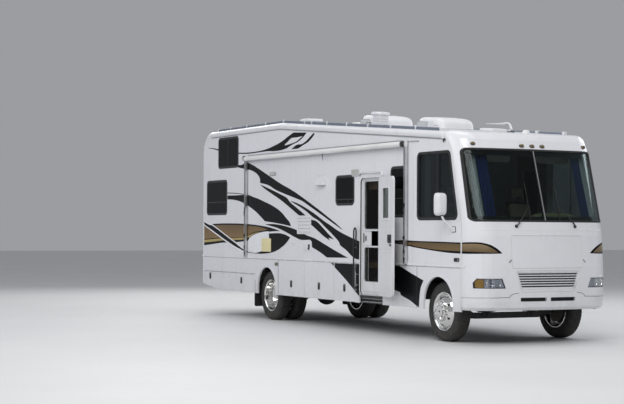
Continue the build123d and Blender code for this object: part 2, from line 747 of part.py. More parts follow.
# barrel and disc of a wheel; dish is how far the mounting face stands outward
def rim_points(dish):
    inner = 12.0
    s = 1 if dish > 0 else -1
    return [
        (-108, 304), (-94, 304), (-94, 286), (94, 286), (94, 304), (108, 304), (108, 292), (96, 274),
        *([(70, 268), (110, 235), (dish, 185), (dish, 88), (dish - inner, 88), (dish - inner, 178), (96, 226), (54, 260), (-96, 270)] if s > 0 else
          [(-50, 262), (-118, 222), (dish + inner, 182), (dish + inner, 88), (dish, 88), (dish, 178), (-128, 230), (-96, 266)]),
        (-108, 292),
    ]


for side, tag in ((1, "left"), (-1, "right")):
    with BuildPart() as tyre:
        ring(FRONT_AXLE_X, side * FRONT_WHEEL_Y, side, TYRE)
    save(tyre, f"front_tyre_{tag}")
    with BuildPart() as rim:
        ring(FRONT_AXLE_X, side * FRONT_WHEEL_Y, side, rim_points(150))
        with BuildSketch(Plane.XZ.offset(-side * FRONT_WHEEL_Y)):
            with Locations((FRONT_AXLE_X, HUB_Z)):
                with PolarLocations(208, 6, start_angle=30):
                    Circle(21)
        extrude(amount=-side * 220, mode=Mode.SUBTRACT)
        # hub cover and the ring of wheel nuts
        with BuildSketch(Plane.XZ.offset(-side * (FRONT_WHEEL_Y + 139))):
            with Locations((FRONT_AXLE_X, HUB_Z)):
                Circle(96)
        extrude(amount=-side * 52, taper=8)
        with BuildSketch(Plane.XZ.offset(-side * (FRONT_WHEEL_Y + 150))):
            with Locations((FRONT_AXLE_X, HUB_Z)):
                with PolarLocations(142.9, 10, start_angle=18):
                    RegularPolygon(18, 6)
        extrude(amount=-side * 34)
    save(rim, f"front_rim_{tag}")
    with BuildPart() as knuckle:
        with BuildSketch(Plane.XY.offset(392)):
            with Locations((FRONT_AXLE_X, side * (KINGPIN_Y + 59))):
                Rectangle(120, 40)
        extrude(amount=160)
        # kingpin lugs above and below the beam's end
        for z in (388, 531):
            with BuildSketch(Plane.XY.offset(z)):
                with Locations((FRONT_AXLE_X, side * KINGPIN_Y)):
                    Circle(45)
                with Locations((FRONT_AXLE_X, side * (KINGPIN_Y + 38))):
                    Rectangle(90, 76)
            extrude(amount=21)
        # spindle and drum
        with BuildSketch(Plane.XZ.offset(-side * (KINGPIN_Y + 60))):
            with Locations((FRONT_AXLE_X, HUB_Z)):
                Circle(60)
        extrude(amount=-side * 200)
        with BuildSketch(Plane.XZ.offset(-side * (KINGPIN_Y + 100))):
            with Locations((FRONT_AXLE_X, HUB_Z)):
                Circle(205)
        extrude(amount=-side * 90)
        # steering arm back to the tie rod's ball joint
        with BuildSketch(Plane.XY.offset(388)):
            with Locations((FRONT_AXLE_X + STEER_ARM_X / 2, side * KINGPIN_Y)):
                RectangleRounded(48 - STEER_ARM_X, 48, 23)
        extrude(amount=21)
    save(knuckle, f"steering_knuckle_{tag}")
    with BuildPart() as tyres:
        for y in (REAR_OUTER_Y, REAR_INNER_Y):
            ring(REAR_AXLE_X, side * y, side, TYRE)
    save(tyres, f"rear_tyres_{tag}")
    with BuildPart() as rims:
        ring(REAR_AXLE_X, side * REAR_OUTER_Y, side, rim_points(-167))
        ring(REAR_AXLE_X, side * REAR_INNER_Y, side, [(a, r) if a > -160 else (a, r) for a, r in rim_points(155)])
        with BuildSketch(Plane.XZ.offset(-side * (REAR_INNER_Y - 60))):
            with Locations((REAR_AXLE_X, HUB_Z)):
                with PolarLocations(208, 6, start_angle=30):
                    Circle(21)
        extrude(amount=-side * 500, mode=Mode.SUBTRACT)
        # axle hub standing out of the dish, and its nuts
        with BuildSketch(Plane.XZ.offset(-side * (REAR_OUTER_Y - 179))):
            with Locations((REAR_AXLE_X, HUB_Z)):
                Circle(105)
        extrude(amount=-side * 42)
        with BuildSketch(Plane.XZ.offset(-side * (REAR_OUTER_Y - 140))):
            with Locations((REAR_AXLE_X, HUB_Z)):
                Circle(86)
        extrude(amount=-side * 170, taper=4)
        with BuildSketch(Plane.XZ.offset(-side * (REAR_OUTER_Y - 155))):
            with Locations((REAR_AXLE_X, HUB_Z)):
                with PolarLocations(142.9, 10, start_angle=18):
                    RegularPolygon(18, 6)
        extrude(amount=-side * 34)
    save(rims, f"rear_rims_{tag}")

with BuildPart() as tie_rod:
    x = FRONT_AXLE_X + STEER_ARM_X
    with BuildSketch(Plane.XZ.offset(-KINGPIN_Y)):
        with Locations((x, 352)):
            Circle(17)
    extrude(amount=2 * KINGPIN_Y)
    with BuildSketch(Plane.XY.offset(332)):
        with Locations((x, KINGPIN_Y), (x, -KINGPIN_Y)):
            Circle(25)
    extrude(amount=55)
save(tie_rod, "tie_rod")

# ---- fittings outside -----------------------------------------------------------------------
with BuildPart() as hitch:
    with BuildSketch(Plane.YZ.offset(-5330)):
        with Locations((0, 660)):
            RectangleRounded(64, 64, 5)
            Rectangle(51, 51, mode=Mode.SUBTRACT)
    extrude(amount=330)
    with BuildSketch(Plane.XY.offset(692)):
        with Locations((-5010, 0)):
            Rectangle(70, 780)
    extrude(amount=8)
    with BuildSketch(Plane.XZ.offset(-60)):
        with Locations((-5275, 660)):
            Circle(8)
    extrude(amount=120, mode=Mode.SUBTRACT)
save(hitch, "hitch_receiver")

# rolled cloth under the eave, carried between two folded arms
with BuildPart() as awning:
    with BuildSketch(Plane.YZ.offset(-2893)):
        with Locations((-HALF_W - 78, 3128)):
            Circle(48)
    extrude(amount=6086)
    for x in (-2935, 3235):
        with BuildSketch(Plane.XY.offset(1172)):
            with Locations((x, -HALF_W - 40)):
                Rectangle(58, 50)
        extrude(amount=2028)
        with BuildSketch(Plane.XZ.offset(HALF_W)):
            with Locations((x, 1215), (x, 3150)):
                Rectangle(58, 86)
        extrude(amount=20)
        with BuildSketch(Plane.YZ.offset(x - 29)):
            with Locations((-HALF_W - 78, 3128)):
                Circle(46)
        extrude(amount=58)
save(awning, "awning")

MIRROR_X, MIRROR_FOLD = 4625.0, 55.0    # the left mirror is folded back by this angle
with BuildPart() as mirrors:
    for s, turn in ((-1, 0), (1, MIRROR_FOLD)):
        with BuildPart(mode=Mode.PRIVATE) as head:
            with BuildSketch(Plane.YZ.offset(4560)):
                with Locations((s * 1507.5, 2137)):
                    RectangleRounded(195, 350, 50)
            extrude(amount=120, taper=6)
            with BuildLine() as arm:
                FilletPolyline(
                    (4610, s * 1490, 1975), (4618, s * 1440, 1880), (MIRROR_X, s * (HALF_W + 17), 1752), radius=60
                )
            with BuildSketch(Plane(origin=arm.line @ 0, z_dir=arm.line % 0)):
                Circle(17)
            sweep()
        pivot = Location((MIRROR_X, s * (HALF_W + 17), 0))
        add(head.part.moved(pivot * Location((0, 0, 0), (0, 0, turn)) * pivot.inverse()))
        with BuildSketch(Plane.XZ.offset(-s * HALF_W)):
            with Locations((MIRROR_X, 1752)):
                RectangleRounded(110, 80, 20)
        extrude(amount=-s * 20)
save(mirrors, "mirrors")

ROOF_SLOPE = (EAVE_REAR_Z - EAVE_FRONT_Z) / (EAVE_FRONT_X - EAVE_KINK_X)


def roof_plane(x):
    """Plane on the roof's top at x, sloped with it."""
    slope = ROOF_SLOPE if x > EAVE_KINK_X else 0
    return Plane(origin=(x, 0, eave(x) + ROOF_T), x_dir=(1, 0, -slope), z_dir=(slope, 0, 1))


# shrouds, rounded at the front: rear end x, front end x
AIR_CONDITIONERS = [(-60, 790), (1930, 2780)]
with BuildPart() as air_conditioners:
    for x0, x1 in AIR_CONDITIONERS:
        length = x1 - x0
        base = roof_plane((x0 + x1) / 2)
        # height, length and width of the layers, and how far their middle sits to the rear
        layers = ((0, 1.0, 730, 0), (110, 0.99, 720, 4), (178, 0.93, 690, 28), (215, 0.80, 620, 70))
        sections = []
        for h, share, width, back in layers:
            with BuildSketch(base.offset(h)) as layer:
                with Locations((-back, 0)):
                    RectangleRounded(length * share, width, 120)
            sections.append(layer.sketch.faces()[0])
        loft(sections, ruled=True)
save(air_conditioners, "air_conditioners")

# covered vents on the roof: rear end x, front end x, middle y, width, height
VENTS = [
    (884, 1191, -540, 240, 275), (-2861, -2490, 0, 371, 195), (-1250, -890, 300, 360, 70),
    (3250, 3610, 250, 360, 70), (-4500, -4140, 250, 360, 70),
]
with BuildPart() as roof_vents:
    for x0, x1, y, width, height in VENTS:
        base = roof_plane((x0 + x1) / 2)
        sections = []
        for h, inset in ((0, 0), (height - 25, 14), (height, 42)):
            with BuildSketch(base.offset(h)) as layer:
                with Locations((0, y)):
                    RectangleRounded(x1 - x0 - 2 * inset, width - 2 * inset, 38)
            sections.append(layer.sketch.faces()[0])
        loft(sections, ruled=True)
save(roof_vents, "roof_vents")

# folded television antenna at the front, folded dish mast at the rear, small aerial dome
with BuildPart() as antennas:
    foot = roof_plane(4290)
    with BuildSketch(foot):
        RectangleRounded(150, 110, 20)
    extrude(amount=36)
    with BuildSketch(Plane.XZ.offset(-14)):
        with BuildLine():
            Polyline(
                (4345, 3300), (4300, 3390), (4250, 3452), (4180, 3470), (3890, 3474), (3890, 3450),
                (4170, 3446), (4225, 3420), (4262, 3300), (4345, 3300),
            )
        make_face()
    extrude(amount=28)
    with BuildSketch(Plane.XY.offset(3450)):
        with Locations((3880, 0)):
            RectangleRounded(64, 400, 25)
    extrude(amount=22)
    with BuildSketch(Plane.XY.offset(3281)):
        with Locations((4500, 146)):
            Circle(62)
    extrude(amount=56, taper=8)
    with BuildSketch(Plane.XZ.offset(30)):
        with BuildLine():
            Polyline(
                (-3160, 3760), (-2900, 3760), (-2895, 3858), (-2960, 3890), (-3330, 3935),
                (-3830, 3988), (-3950, 3965), (-3965, 3915), (-3880, 3905), (-3350, 3880),
                (-3180, 3850), (-3160, 3760),
            )
        make_face()
    extrude(amount=-60)
    with BuildSketch(Plane.XY.offset(3912)):
        with Locations((-3950, 0)):
            RectangleRounded(170, 190, 60)
    extrude(amount=30)
save(antennas, "antennas")

# ---- cab ---------------------------------------------------------------------------------------
with BuildPart() as dashboard:
    with BuildSketch(Plane.XZ.offset(-1180)):
        with BuildLine():
            Polyline((4640, 1560), (4600, 1760), (4700, 1850), (5080, 1830), (5080, 1700), (4860, 1560), (4640, 1560))
        make_face()
    extrude(amount=2360)
    cap_body(CAP_T + 30, Mode.INTERSECT)
save(dashboard, "dashboard")

with BuildPart() as seats:
    for y in (-620, 620):
        with BuildSketch(Plane.XZ.offset(-y - 270)):
            with BuildLine():
                Polyline(
                    (3700, 1480), (4230, 1500), (4260, 1600), (3850, 1590), (3640, 2260), (3600, 2500), (3490, 2500), (3520, 2240), (3700, 1480),
                )
            make_face()
        extrude(amount=540)
        with BuildSketch(Plane.XY.offset(FLOOR_TOP + 1)):
            with Locations((3950, y)):
                RectangleRounded(330, 360, 30)
        extrude(amount=305)
save(seats, "cab_seats")

with BuildPart() as steering_wheel:
    rake = Plane(origin=(4500, 620, 1830), x_dir=(0, 1, 0), z_dir=(-0.5, 0, 0.866))
    with BuildSketch(Plane(origin=(4500, 620, 1830), x_dir=(0, 1, 0), z_dir=(0.866, 0, 0.5))):
        with Locations((215, 0)):
            Circle(16)
    revolve(axis=Axis((4500, 620, 1830), (-0.5, 0, 0.866)))
    with BuildSketch(rake.offset(-12)):
        Circle(62)
        for a in (0, 120, 240):
            with Locations(Location((0, 0), a + 90)):
                with Locations((105, 0)):
                    Rectangle(210, 34)
    extrude(amount=20)
    with BuildSketch(rake.offset(-12)):
        Circle(24)
    extrude(amount=-170)
save(steering_wheel, "steering_wheel")
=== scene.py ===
import math
import random

import bmesh
import bpy
from mathutils import Matrix, Vector, geometry, noise


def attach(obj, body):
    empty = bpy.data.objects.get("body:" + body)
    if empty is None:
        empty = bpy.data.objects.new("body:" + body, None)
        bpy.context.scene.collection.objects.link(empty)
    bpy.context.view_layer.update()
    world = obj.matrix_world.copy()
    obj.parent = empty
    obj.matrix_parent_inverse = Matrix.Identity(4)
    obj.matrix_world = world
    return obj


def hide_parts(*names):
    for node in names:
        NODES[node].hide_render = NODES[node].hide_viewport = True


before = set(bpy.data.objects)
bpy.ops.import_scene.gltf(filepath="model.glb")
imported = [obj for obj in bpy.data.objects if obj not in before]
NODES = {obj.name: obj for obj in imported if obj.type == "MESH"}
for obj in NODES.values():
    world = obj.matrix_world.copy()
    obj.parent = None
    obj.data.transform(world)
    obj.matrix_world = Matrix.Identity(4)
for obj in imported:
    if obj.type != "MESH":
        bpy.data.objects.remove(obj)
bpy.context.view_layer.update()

# ---------------------------------------------------------------------------- dimensions, in metres
W = 1.2825                    # half width over the side walls
SEAM_X = 4.835                # rear edge of the front cap, low down
REAR_X = -5.21                # face of the rear cap
FLOOR = 1.185
HUB_Z = 0.472
FRONT_AXLE = 4.17
REAR_AXLE = -1.977
# front cap sections: height, x of the nose on the centreline, half width, corner radius
CAP = [
    (0.525, 5.267, 1.262, 0.400), (0.570, 5.310, 1.279, 0.408), (0.660, 5.322, W, 0.410), (1.185, 5.321, W, 0.410),
    (1.660, 5.285, W, 0.405), (1.880, 5.240, W, 0.400), (2.980, 4.899, W, 0.350), (3.080, 4.846, W, 0.345),
    (3.150, 4.812, W, 0.340), (3.210, 4.760, W, 0.330), (3.248, 4.705, 1.271, 0.300), (3.268, 4.655, 1.252, 0.250),
    (3.280, 4.590, 1.2125, 0.200),
]
BOW_R = 8.5


def eave(x):
    """Height of the top of the side wall at x."""
    return 3.65 if x <= -1.48 else 3.65 - 0.48 / 5.861 * (x + 1.48)


def cap_row(z):
    """Nose x, half width and corner radius of the cap at height z."""
    z = min(max(z, CAP[0][0]), CAP[-1][0])
    for a, b in zip(CAP, CAP[1:]):
        if z <= b[0]:
            t = (z - a[0]) / (b[0] - a[0])
            return tuple(a[i] + (b[i] - a[i]) * t for i in (1, 2, 3))
    return CAP[-1][1:]


def cap_plan(z):
    """Nose x, half width, corner radius, centre of the corner arc, and the angle where it meets the bow."""
    nose, half, r = cap_row(z)
    cy = half - r
    cx = nose - BOW_R + math.sqrt((BOW_R - r) ** 2 - cy * cy)
    return nose, half, r, cx, cy, math.atan2(cy, cx - (nose - BOW_R))


def cap_x(y, z):
    """x of the cap's front surface at (y, z)."""
    nose, half, r, cx, cy, a = cap_plan(z)
    y = min(abs(y), half - 1e-4)
    if y <= cy + r * math.sin(a):
        return nose - BOW_R + math.sqrt(BOW_R * BOW_R - y * y)
    return cx + math.sqrt(max(r ** 2 - (y - cy) ** 2, 0))


def on_cap(y, z, h=0.0):
    """Point h outside the cap's front surface."""
    p = Vector((cap_x(y, z), y, z))
    e = 0.004
    z1, z0 = min(z + e, CAP[-1][0]), max(z - e, CAP[0][0])
    du = Vector((cap_x(y + e, z) - cap_x(y - e, z), 2 * e, 0))
    dv = Vector((cap_x(y, z1) - cap_x(y, z0), 0, z1 - z0))
    n = du.cross(dv).normalized()
    return p + n * h


def round_cap(s, z, h=0.0, side=-1):
    """Point on the cap by distance s along its outline from the seam, forward and round the corner."""
    nose, half, r, cx, cy, a = cap_plan(z)
    flat = cx - SEAM_X
    turn = r * (math.pi / 2 - a)
    if s <= flat:
        x, y, n = SEAM_X + s, half, Vector((0, 1, 0))
    elif s <= flat + turn:
        b = math.pi / 2 - (s - flat) / r
        x, y, n = cx + r * math.cos(b), cy + r * math.sin(b), Vector((math.cos(b), math.sin(b), 0))
    else:
        b = a - (s - flat - turn) / BOW_R
        x, y, n = nose - BOW_R + BOW_R * math.cos(b), BOW_R * math.sin(b), Vector((math.cos(b), math.sin(b), 0))
    p = Vector((x, y, z)) + n * h
    return Vector((p.x, side * p.y, p.z))


def on_side(side, base=W):
    """Maps (x, z, height above the side's face) to a point."""
    return lambda x, z, h=0.0: Vector((x, side * (base + h), z))


def on_rear(y, z, h=0.0):
    return Vector((REAR_X - h, y, z))


# ---------------------------------------------------------------------------- outlines
def rrect(x0, x1, z0, z1, r, n=8):
    """Rounded rectangle, counter-clockwise."""
    r = min(r, (x1 - x0) / 2 - 1e-5, (z1 - z0) / 2 - 1e-5)
    out = []
    for cx, cz, a0 in ((x1 - r, z1 - r, 0), (x0 + r, z1 - r, 90), (x0 + r, z0 + r, 180), (x1 - r, z0 + r, 270)):
        for i in range(n + 1):
            a = math.radians(a0 + 90 * i / n)
            out.append((cx + r * math.cos(a), cz + r * math.sin(a)))
    return out


def circle(cx, cy, r, n=40):
    return [(cx + r * math.cos(2 * math.pi * i / n), cy + r * math.sin(2 * math.pi * i / n)) for i in range(n)]


def round_poly(points, r, n=8):
    """Polygon with its corners rounded by r."""
    out = []
    k = len(points)
    for i in range(k):
        p, a, b = Vector(points[i][:2]), Vector(points[i - 1][:2]), Vector(points[(i + 1) % k][:2])
        u, v = (a - p).normalized(), (b - p).normalized()
        ang = u.angle(v)
        d = min(r / math.tan(ang / 2), (a - p).length * 0.49, (b - p).length * 0.49)
        q0, q1 = p + u * d, p + v * d
        c = p + (u + v).normalized() * (d / math.cos(ang / 2))
        rr = (q0 - c).length
        a0, a1 = math.atan2(q0.y - c.y, q0.x - c.x), math.atan2(q1.y - c.y, q1.x - c.x)
        while a1 - a0 > math.pi:
            a1 -= 2 * math.pi
        while a0 - a1 > math.pi:
            a1 += 2 * math.pi
        out += [(c.x + rr * math.cos(a0 + (a1 - a0) * j / n), c.y + rr * math.sin(a0 + (a1 - a0) * j / n)) for j in range(n + 1)]
    return out


def area2(loop):
    return sum(a[0] * b[1] - b[0] * a[1] for a, b in zip(loop, loop[1:] + loop[:1])) / 2


def flow(points, closed=True, n=7):
    """Smooth curve through points; a third value marks a sharp corner."""
    pts = [Vector(p[:2]) for p in points]
    corner = [len(p) > 2 for p in points]
    k = len(pts)
    out = []
    for i in range(k if closed else k - 1):
        p1, p2 = pts[i], pts[(i + 1) % k]
        p0 = pts[i - 1] if (closed or i > 0) and not corner[i] else p1 + (p1 - p2) * 0.3
        p3 = pts[(i + 2) % k] if (closed or i + 2 < k) and not corner[(i + 1) % k] else p2 + (p2 - p1) * 0.3
        d1 = (p2 - p1).length
        if d1 < 1e-6:
            continue
        m1 = (p2 - p0) / max((p1 - p0).length + d1, 1e-9) * d1 if not corner[i] else (p2 - p1)
        m2 = (p3 - p1) / max((p3 - p2).length + d1, 1e-9) * d1 if not corner[(i + 1) % k] else (p2 - p1)
        for j in range(n):
            t = j / n
            h = ((2 * t**3 - 3 * t**2 + 1), (t**3 - 2 * t**2 + t), (-2 * t**3 + 3 * t**2), (t**3 - t**2))
            q = p1 * h[0] + m1 * h[1] + p2 * h[2] + m2 * h[3]
            out.append((q.x, q.y))
    if not closed:
        out.append(tuple(pts[-1]))
    return out


def band(upper, lower, n=7):
    """Closed outline between an upper and a lower edge, both listed left to right."""
    u = [tuple(p) for p in upper]
    low = [tuple(p) for p in reversed(lower)]
    u[0], u[-1], low[0], low[-1] = u[0][:2] + (1,), u[-1][:2] + (1,), low[0][:2] + (1,), low[-1][:2] + (1,)
    return flow(u + low, True, n)


def stripe(line, width, n=7, ends=(1.0, 1.0)):
    """Outline of a stripe of that width along a smooth line, tapering to its ends' shares."""
    c = flow(line, False, n)
    left, right = [], []
    for i, p in enumerate(c):
        a, b = Vector(c[max(i - 1, 0)]), Vector(c[min(i + 1, len(c) - 1)])
        t = (b - a).normalized()
        s = i / (len(c) - 1)
        w = width / 2 * (ends[0] + (ends[1] - ends[0]) * s)
        left.append((p[0] - t.y * w, p[1] + t.x * w))
        right.append((p[0] + t.y * w, p[1] - t.x * w))
    return left + right[::-1]


def inside(loop, x, y):
    hit = False
    j = len(loop) - 1
    for i in range(len(loop)):
        xi, yi = loop[i][0], loop[i][1]
        xj, yj = loop[j][0], loop[j][1]
        if (yi > y) != (yj > y) and x < (xj - xi) * (y - yi) / (yj - yi) + xi:
            hit = not hit
        j = i
    return hit


def fill(loops, cuts=(), keep=None, grid=()):
    """Triangles inside loops by the even-odd rule, with the cuts' edges and the grid's points in the mesh."""
    verts, edges = [], []
    for loop in list(loops) + list(cuts):
        k = len(verts)
        verts += [Vector(p[:2]) for p in loop]
        edges += [(k + i, k + (i + 1) % len(loop)) for i in range(len(loop))]
    verts += [Vector(p) for p in grid]
    v, _, faces, *_ = geometry.delaunay_2d_cdt(verts, edges, [], 0, 1e-6)
    out = []
    for f in faces:
        cx = sum(v[i].x for i in f) / len(f)
        cy = sum(v[i].y for i in f) / len(f)
        if sum(inside(loop, cx, cy) for loop in loops) % 2 and (keep is None or keep(cx, cy)):
            a, b, c = v[f[0]], v[f[1]], v[f[2]]
            if abs((b.x - a.x) * (c.y - a.y) - (c.x - a.x) * (b.y - a.y)) > 1e-9:
                out.append(tuple(f))
    return v, out


def frames_along(points, closed=False, up=None):
    """Tangent and two normals at each point, turned as little as possible."""
    pts = [Vector(p) for p in points]
    k = len(pts)
    tan = []
    for i in range(k):
        a = pts[i - 1] if (closed or i > 0) else pts[i]
        b = pts[(i + 1) % k] if (closed or i < k - 1) else pts[i]
        tan.append((b - a).normalized())
    ref = Vector(up) if up else (Vector((0, 0, 1)) if abs(tan[0].z) < 0.9 else Vector((1, 0, 0)))
    out = []
    side = tan[0].cross(ref).normalized()
    for t in tan:
        if up:
            side = t.cross(Vector(up)).normalized()
        else:
            side = (side - t * side.dot(t)).normalized()
        out.append((t, side, side.cross(t)))
    return pts, out


# ---------------------------------------------------------------------------- mesh building
class Kit:
    """Collects the geometry of one piece, with one or more materials."""

    def __init__(self, name):
        self.name, self.bm, self.mats = name, bmesh.new(), []

    def slot(self, mat):
        if mat not in self.mats:
            self.mats.append(mat)
        return self.mats.index(mat)

    def take(self, bm, mat, matrix=None, mirror_y=False):
        if matrix is not None:
            bmesh.ops.transform(bm, matrix=matrix, verts=bm.verts)
        if mirror_y:
            for v in bm.verts:
                v.co.y = -v.co.y
            bmesh.ops.reverse_faces(bm, faces=bm.faces)
        i = self.slot(mat)
        for f in bm.faces:
            f.material_index = i
        me = bpy.data.meshes.new("t")
        bm.to_mesh(me)
        bm.free()
        self.bm.from_mesh(me)
        bpy.data.meshes.remove(me)

    def raw(self, verts, faces, mat, matrix=None):
        bm = bmesh.new()
        vs = [bm.verts.new(v) for v in verts]
        for f in faces:
            try:
                bm.faces.new([vs[i] for i in f])
            except ValueError:
                pass
        self.take(bm, mat, matrix)

    def box(self, lo, hi, mat, bevel=0.003, seg=2, matrix=None):
        bm = bmesh.new()
        bmesh.ops.create_cube(bm, size=1)
        lo, hi = Vector(lo), Vector(hi)
        c, s = (lo + hi) / 2, hi - lo
        for v in bm.verts:
            v.co = Vector((v.co.x * abs(s.x), v.co.y * abs(s.y), v.co.z * abs(s.z))) + c
        b = min(bevel, 0.45 * min(abs(s.x), abs(s.y), abs(s.z)))
        if b > 0:
            bmesh.ops.bevel(bm, geom=list(bm.edges), offset=b, segments=seg, profile=0.5, affect="EDGES", clamp_overlap=True)
        self.take(bm, mat, matrix)

    def plate(self, loops, to3, h0, h1, mat, cuts=(), keep=None, grid=(), bevel=0.0, closed=True):
        """Solid between heights h0 and h1 over the area inside loops."""
        v, faces = fill(loops, cuts, keep, grid)
        if not faces:
            return
        flip = (to3(0.01, 0, 0) - to3(0, 0, 0)).cross(to3(0, 0.01, 0) - to3(0, 0, 0)).dot(to3(0, 0, 0.01) - to3(0, 0, 0)) < 0
        used = sorted({i for f in faces for i in f})
        back = {i: k for k, i in enumerate(used)}
        n = len(used)
        pts = [to3(v[i].x, v[i].y, h1) for i in used] + [to3(v[i].x, v[i].y, h0) for i in used]
        top = []
        for f in faces:
            a, b, c = (v[i] for i in f)
            ccw = (b.x - a.x) * (c.y - a.y) - (c.x - a.x) * (b.y - a.y) > 0
            t = [back[i] for i in f]
            if ccw == flip:
                t.reverse()
            top.append(t)
        out = list(top)
        if closed:
            out += [[i + n for i in reversed(t)] for t in top]
        seen = {}
        for t in top:
            for i in range(3):
                seen[(t[i], t[(i + 1) % 3])] = 1
        out += [[b, a, a + n, b + n] for a, b in seen if (b, a) not in seen]
        bm = bmesh.new()
        vs = [bm.verts.new(p) for p in pts]
        for f in out:
            try:
                bm.faces.new([vs[i] for i in f])
            except ValueError:
                pass
        if not closed:
            bmesh.ops.delete(bm, geom=[x for x in bm.verts if not x.link_faces], context="VERTS")
        if bevel:
            rim = [e for e in bm.edges if len(e.link_faces) == 2 and e.calc_face_angle(0) > 1.2 and all(x.index < n for x in e.verts)]
            bm.verts.index_update()
            rim = [e for e in bm.edges if len(e.link_faces) == 2 and e.calc_face_angle(0) > 1.2 and all(x.index < n for x in e.verts)]
            if rim:
                bmesh.ops.bevel(bm, geom=rim, offset=bevel, segments=2, profile=0.5, affect="EDGES", clamp_overlap=True)
        self.take(bm, mat)

    def loop(self, outline, profile, to3, mat, closed=True):
        """Sweeps a closed profile, (outward, height) points, round a closed outline on a surface."""
        ring = list(outline) if area2(list(outline)) > 0 else list(outline)[::-1]
        k = len(ring)
        verts = []
        for i in range(k):
            a, p, b = Vector(ring[i - 1]), Vector(ring[i]), Vector(ring[(i + 1) % k])
            t = (b - a).normalized()
            nrm = Vector((t.y, -t.x))
            verts += [to3(p.x + nrm.x * o, p.y + nrm.y * o, h) for o, h in profile]
        m = len(profile)
        faces = []
        for i in range(k):
            j = (i + 1) % k
            faces += [(i * m + q, j * m + q, j * m + (q + 1) % m, i * m + (q + 1) % m) for q in range(m)]
        bm = bmesh.new()
        vs = [bm.verts.new(v) for v in verts]
        for f in faces:
            bm.faces.new([vs[i] for i in f])
        bmesh.ops.recalc_face_normals(bm, faces=bm.faces)
        self.take(bm, mat)

    def sweep(self, points, profile, mat, up=(0, 0, 1), closed=False):
        """Sweeps a closed profile, (side, up) points, along a line, with flat ends."""
        pts, fr = frames_along(points, closed, up)
        m = len(profile)
        bm = bmesh.new()
        vs = []
        for p, (t, s, u) in zip(pts, fr):
            vs += [bm.verts.new(p + s * a + u * b) for a, b in profile]
        k = len(pts)
        for i in range(k if closed else k - 1):
            j = (i + 1) % k
            for q in range(m):
                bm.faces.new([vs[i * m + q], vs[j * m + q], vs[j * m + (q + 1) % m], vs[i * m + (q + 1) % m]])
        if not closed:
            bm.faces.new([vs[q] for q in range(m)])
            bm.faces.new([vs[(k - 1) * m + q] for q in reversed(range(m))])
        bmesh.ops.recalc_face_normals(bm, faces=bm.faces)
        self.take(bm, mat)

    def tube(self, points, r, mat, seg=12, closed=False, squash=1.0):
        pts, fr = frames_along(points, closed)
        rs = r if isinstance(r, (list, tuple)) else [r] * len(pts)
        bm = bmesh.new()
        vs = []
        for p, (t, s, u), rr in zip(pts, fr, rs):
            vs += [bm.verts.new(p + s * rr * math.cos(2 * math.pi * q / seg) + u * rr * squash * math.sin(2 * math.pi * q / seg)) for q in range(seg)]
        k = len(pts)
        for i in range(k if closed else k - 1):
            j = (i + 1) % k
            for q in range(seg):
                bm.faces.new([vs[i * seg + q], vs[j * seg + q], vs[j * seg + (q + 1) % seg], vs[i * seg + (q + 1) % seg]])
        if not closed:
            bm.faces.new([vs[q] for q in range(seg)])
            bm.faces.new([vs[(k - 1) * seg + q] for q in reversed(range(seg))])
        bmesh.ops.recalc_face_normals(bm, faces=bm.faces)
        self.take(bm, mat)

    def lathe(self, profile, origin, axis, mat, seg=40, closed=False, scale=None):
        """Revolves (distance along axis, radius) points; radius 0 closes to a point."""
        axis = Vector(axis).normalized()
        u = axis.orthogonal().normalized()
        w = axis.cross(u)
        origin = Vector(origin)
        bm = bmesh.new()
        rings = []
        for t, r in profile:
            if r < 1e-7:
                rings.append([bm.verts.new(origin + axis * t)])
            else:
                rings.append([
                    bm.verts.new(origin + axis * t + (u * math.cos(2 * math.pi * i / seg) + w * math.sin(2 * math.pi * i / seg)) * r)
                    for i in range(seg)
                ])
        pairs = list(zip(rings, rings[1:])) + ([(rings[-1], rings[0])] if closed else [])
        for a, b in pairs:
            for i in range(seg):
                j = (i + 1) % seg
                if len(a) == 1 and len(b) == 1:
                    continue
                if len(a) == 1:
                    bm.faces.new([a[0], b[i], b[j]])
                elif len(b) == 1:
                    bm.faces.new([a[i], b[0], a[j]])
                else:
                    bm.faces.new([a[i], b[i], b[j], a[j]])
        if not closed:
            for ring in (rings[0], rings[-1]):
                if len(ring) > 1:
                    bm.faces.new(ring)
        bmesh.ops.recalc_face_normals(bm, faces=bm.faces)
        if scale:
            for v in bm.verts:
                d = v.co - origin
                v.co = origin + Vector((d.x * scale[0], d.y * scale[1], d.z * scale[2]))
        self.take(bm, mat)

    def rod(self, a, b, r, mat, seg=24, bevel=0.0015, r2=None):
        a, b = Vector(a), Vector(b)
        d = (b - a).length
        r2 = r if r2 is None else r2
        e = min(bevel, d / 3, r / 2, max(r2, 1e-4) / 2)
        self.lathe([(0, 0), (0, r - e), (e * 0.3, r - e * 0.3), (e, r), (d - e, r2), (d - e * 0.3, r2 - e * 0.3), (d, r2 - e), (d, 0)], a, b - a, mat, seg)

    def bolt(self, p, axis, r, mat, h=None):
        """Hexagonal bolt head with a washer, its flange at p."""
        h = h or r * 0.8
        axis = Vector(axis).normalized()
        self.lathe([(0, 0), (0, r * 1.35), (h * 0.15, r * 1.35), (h * 0.15, 0)], p, axis, mat, 20)
        self.lathe([(h * 0.15, 0), (h * 0.15, r * 1.1), (h * 0.9, r * 1.1), (h, r * 0.92), (h, 0)], p, axis, mat, 6)

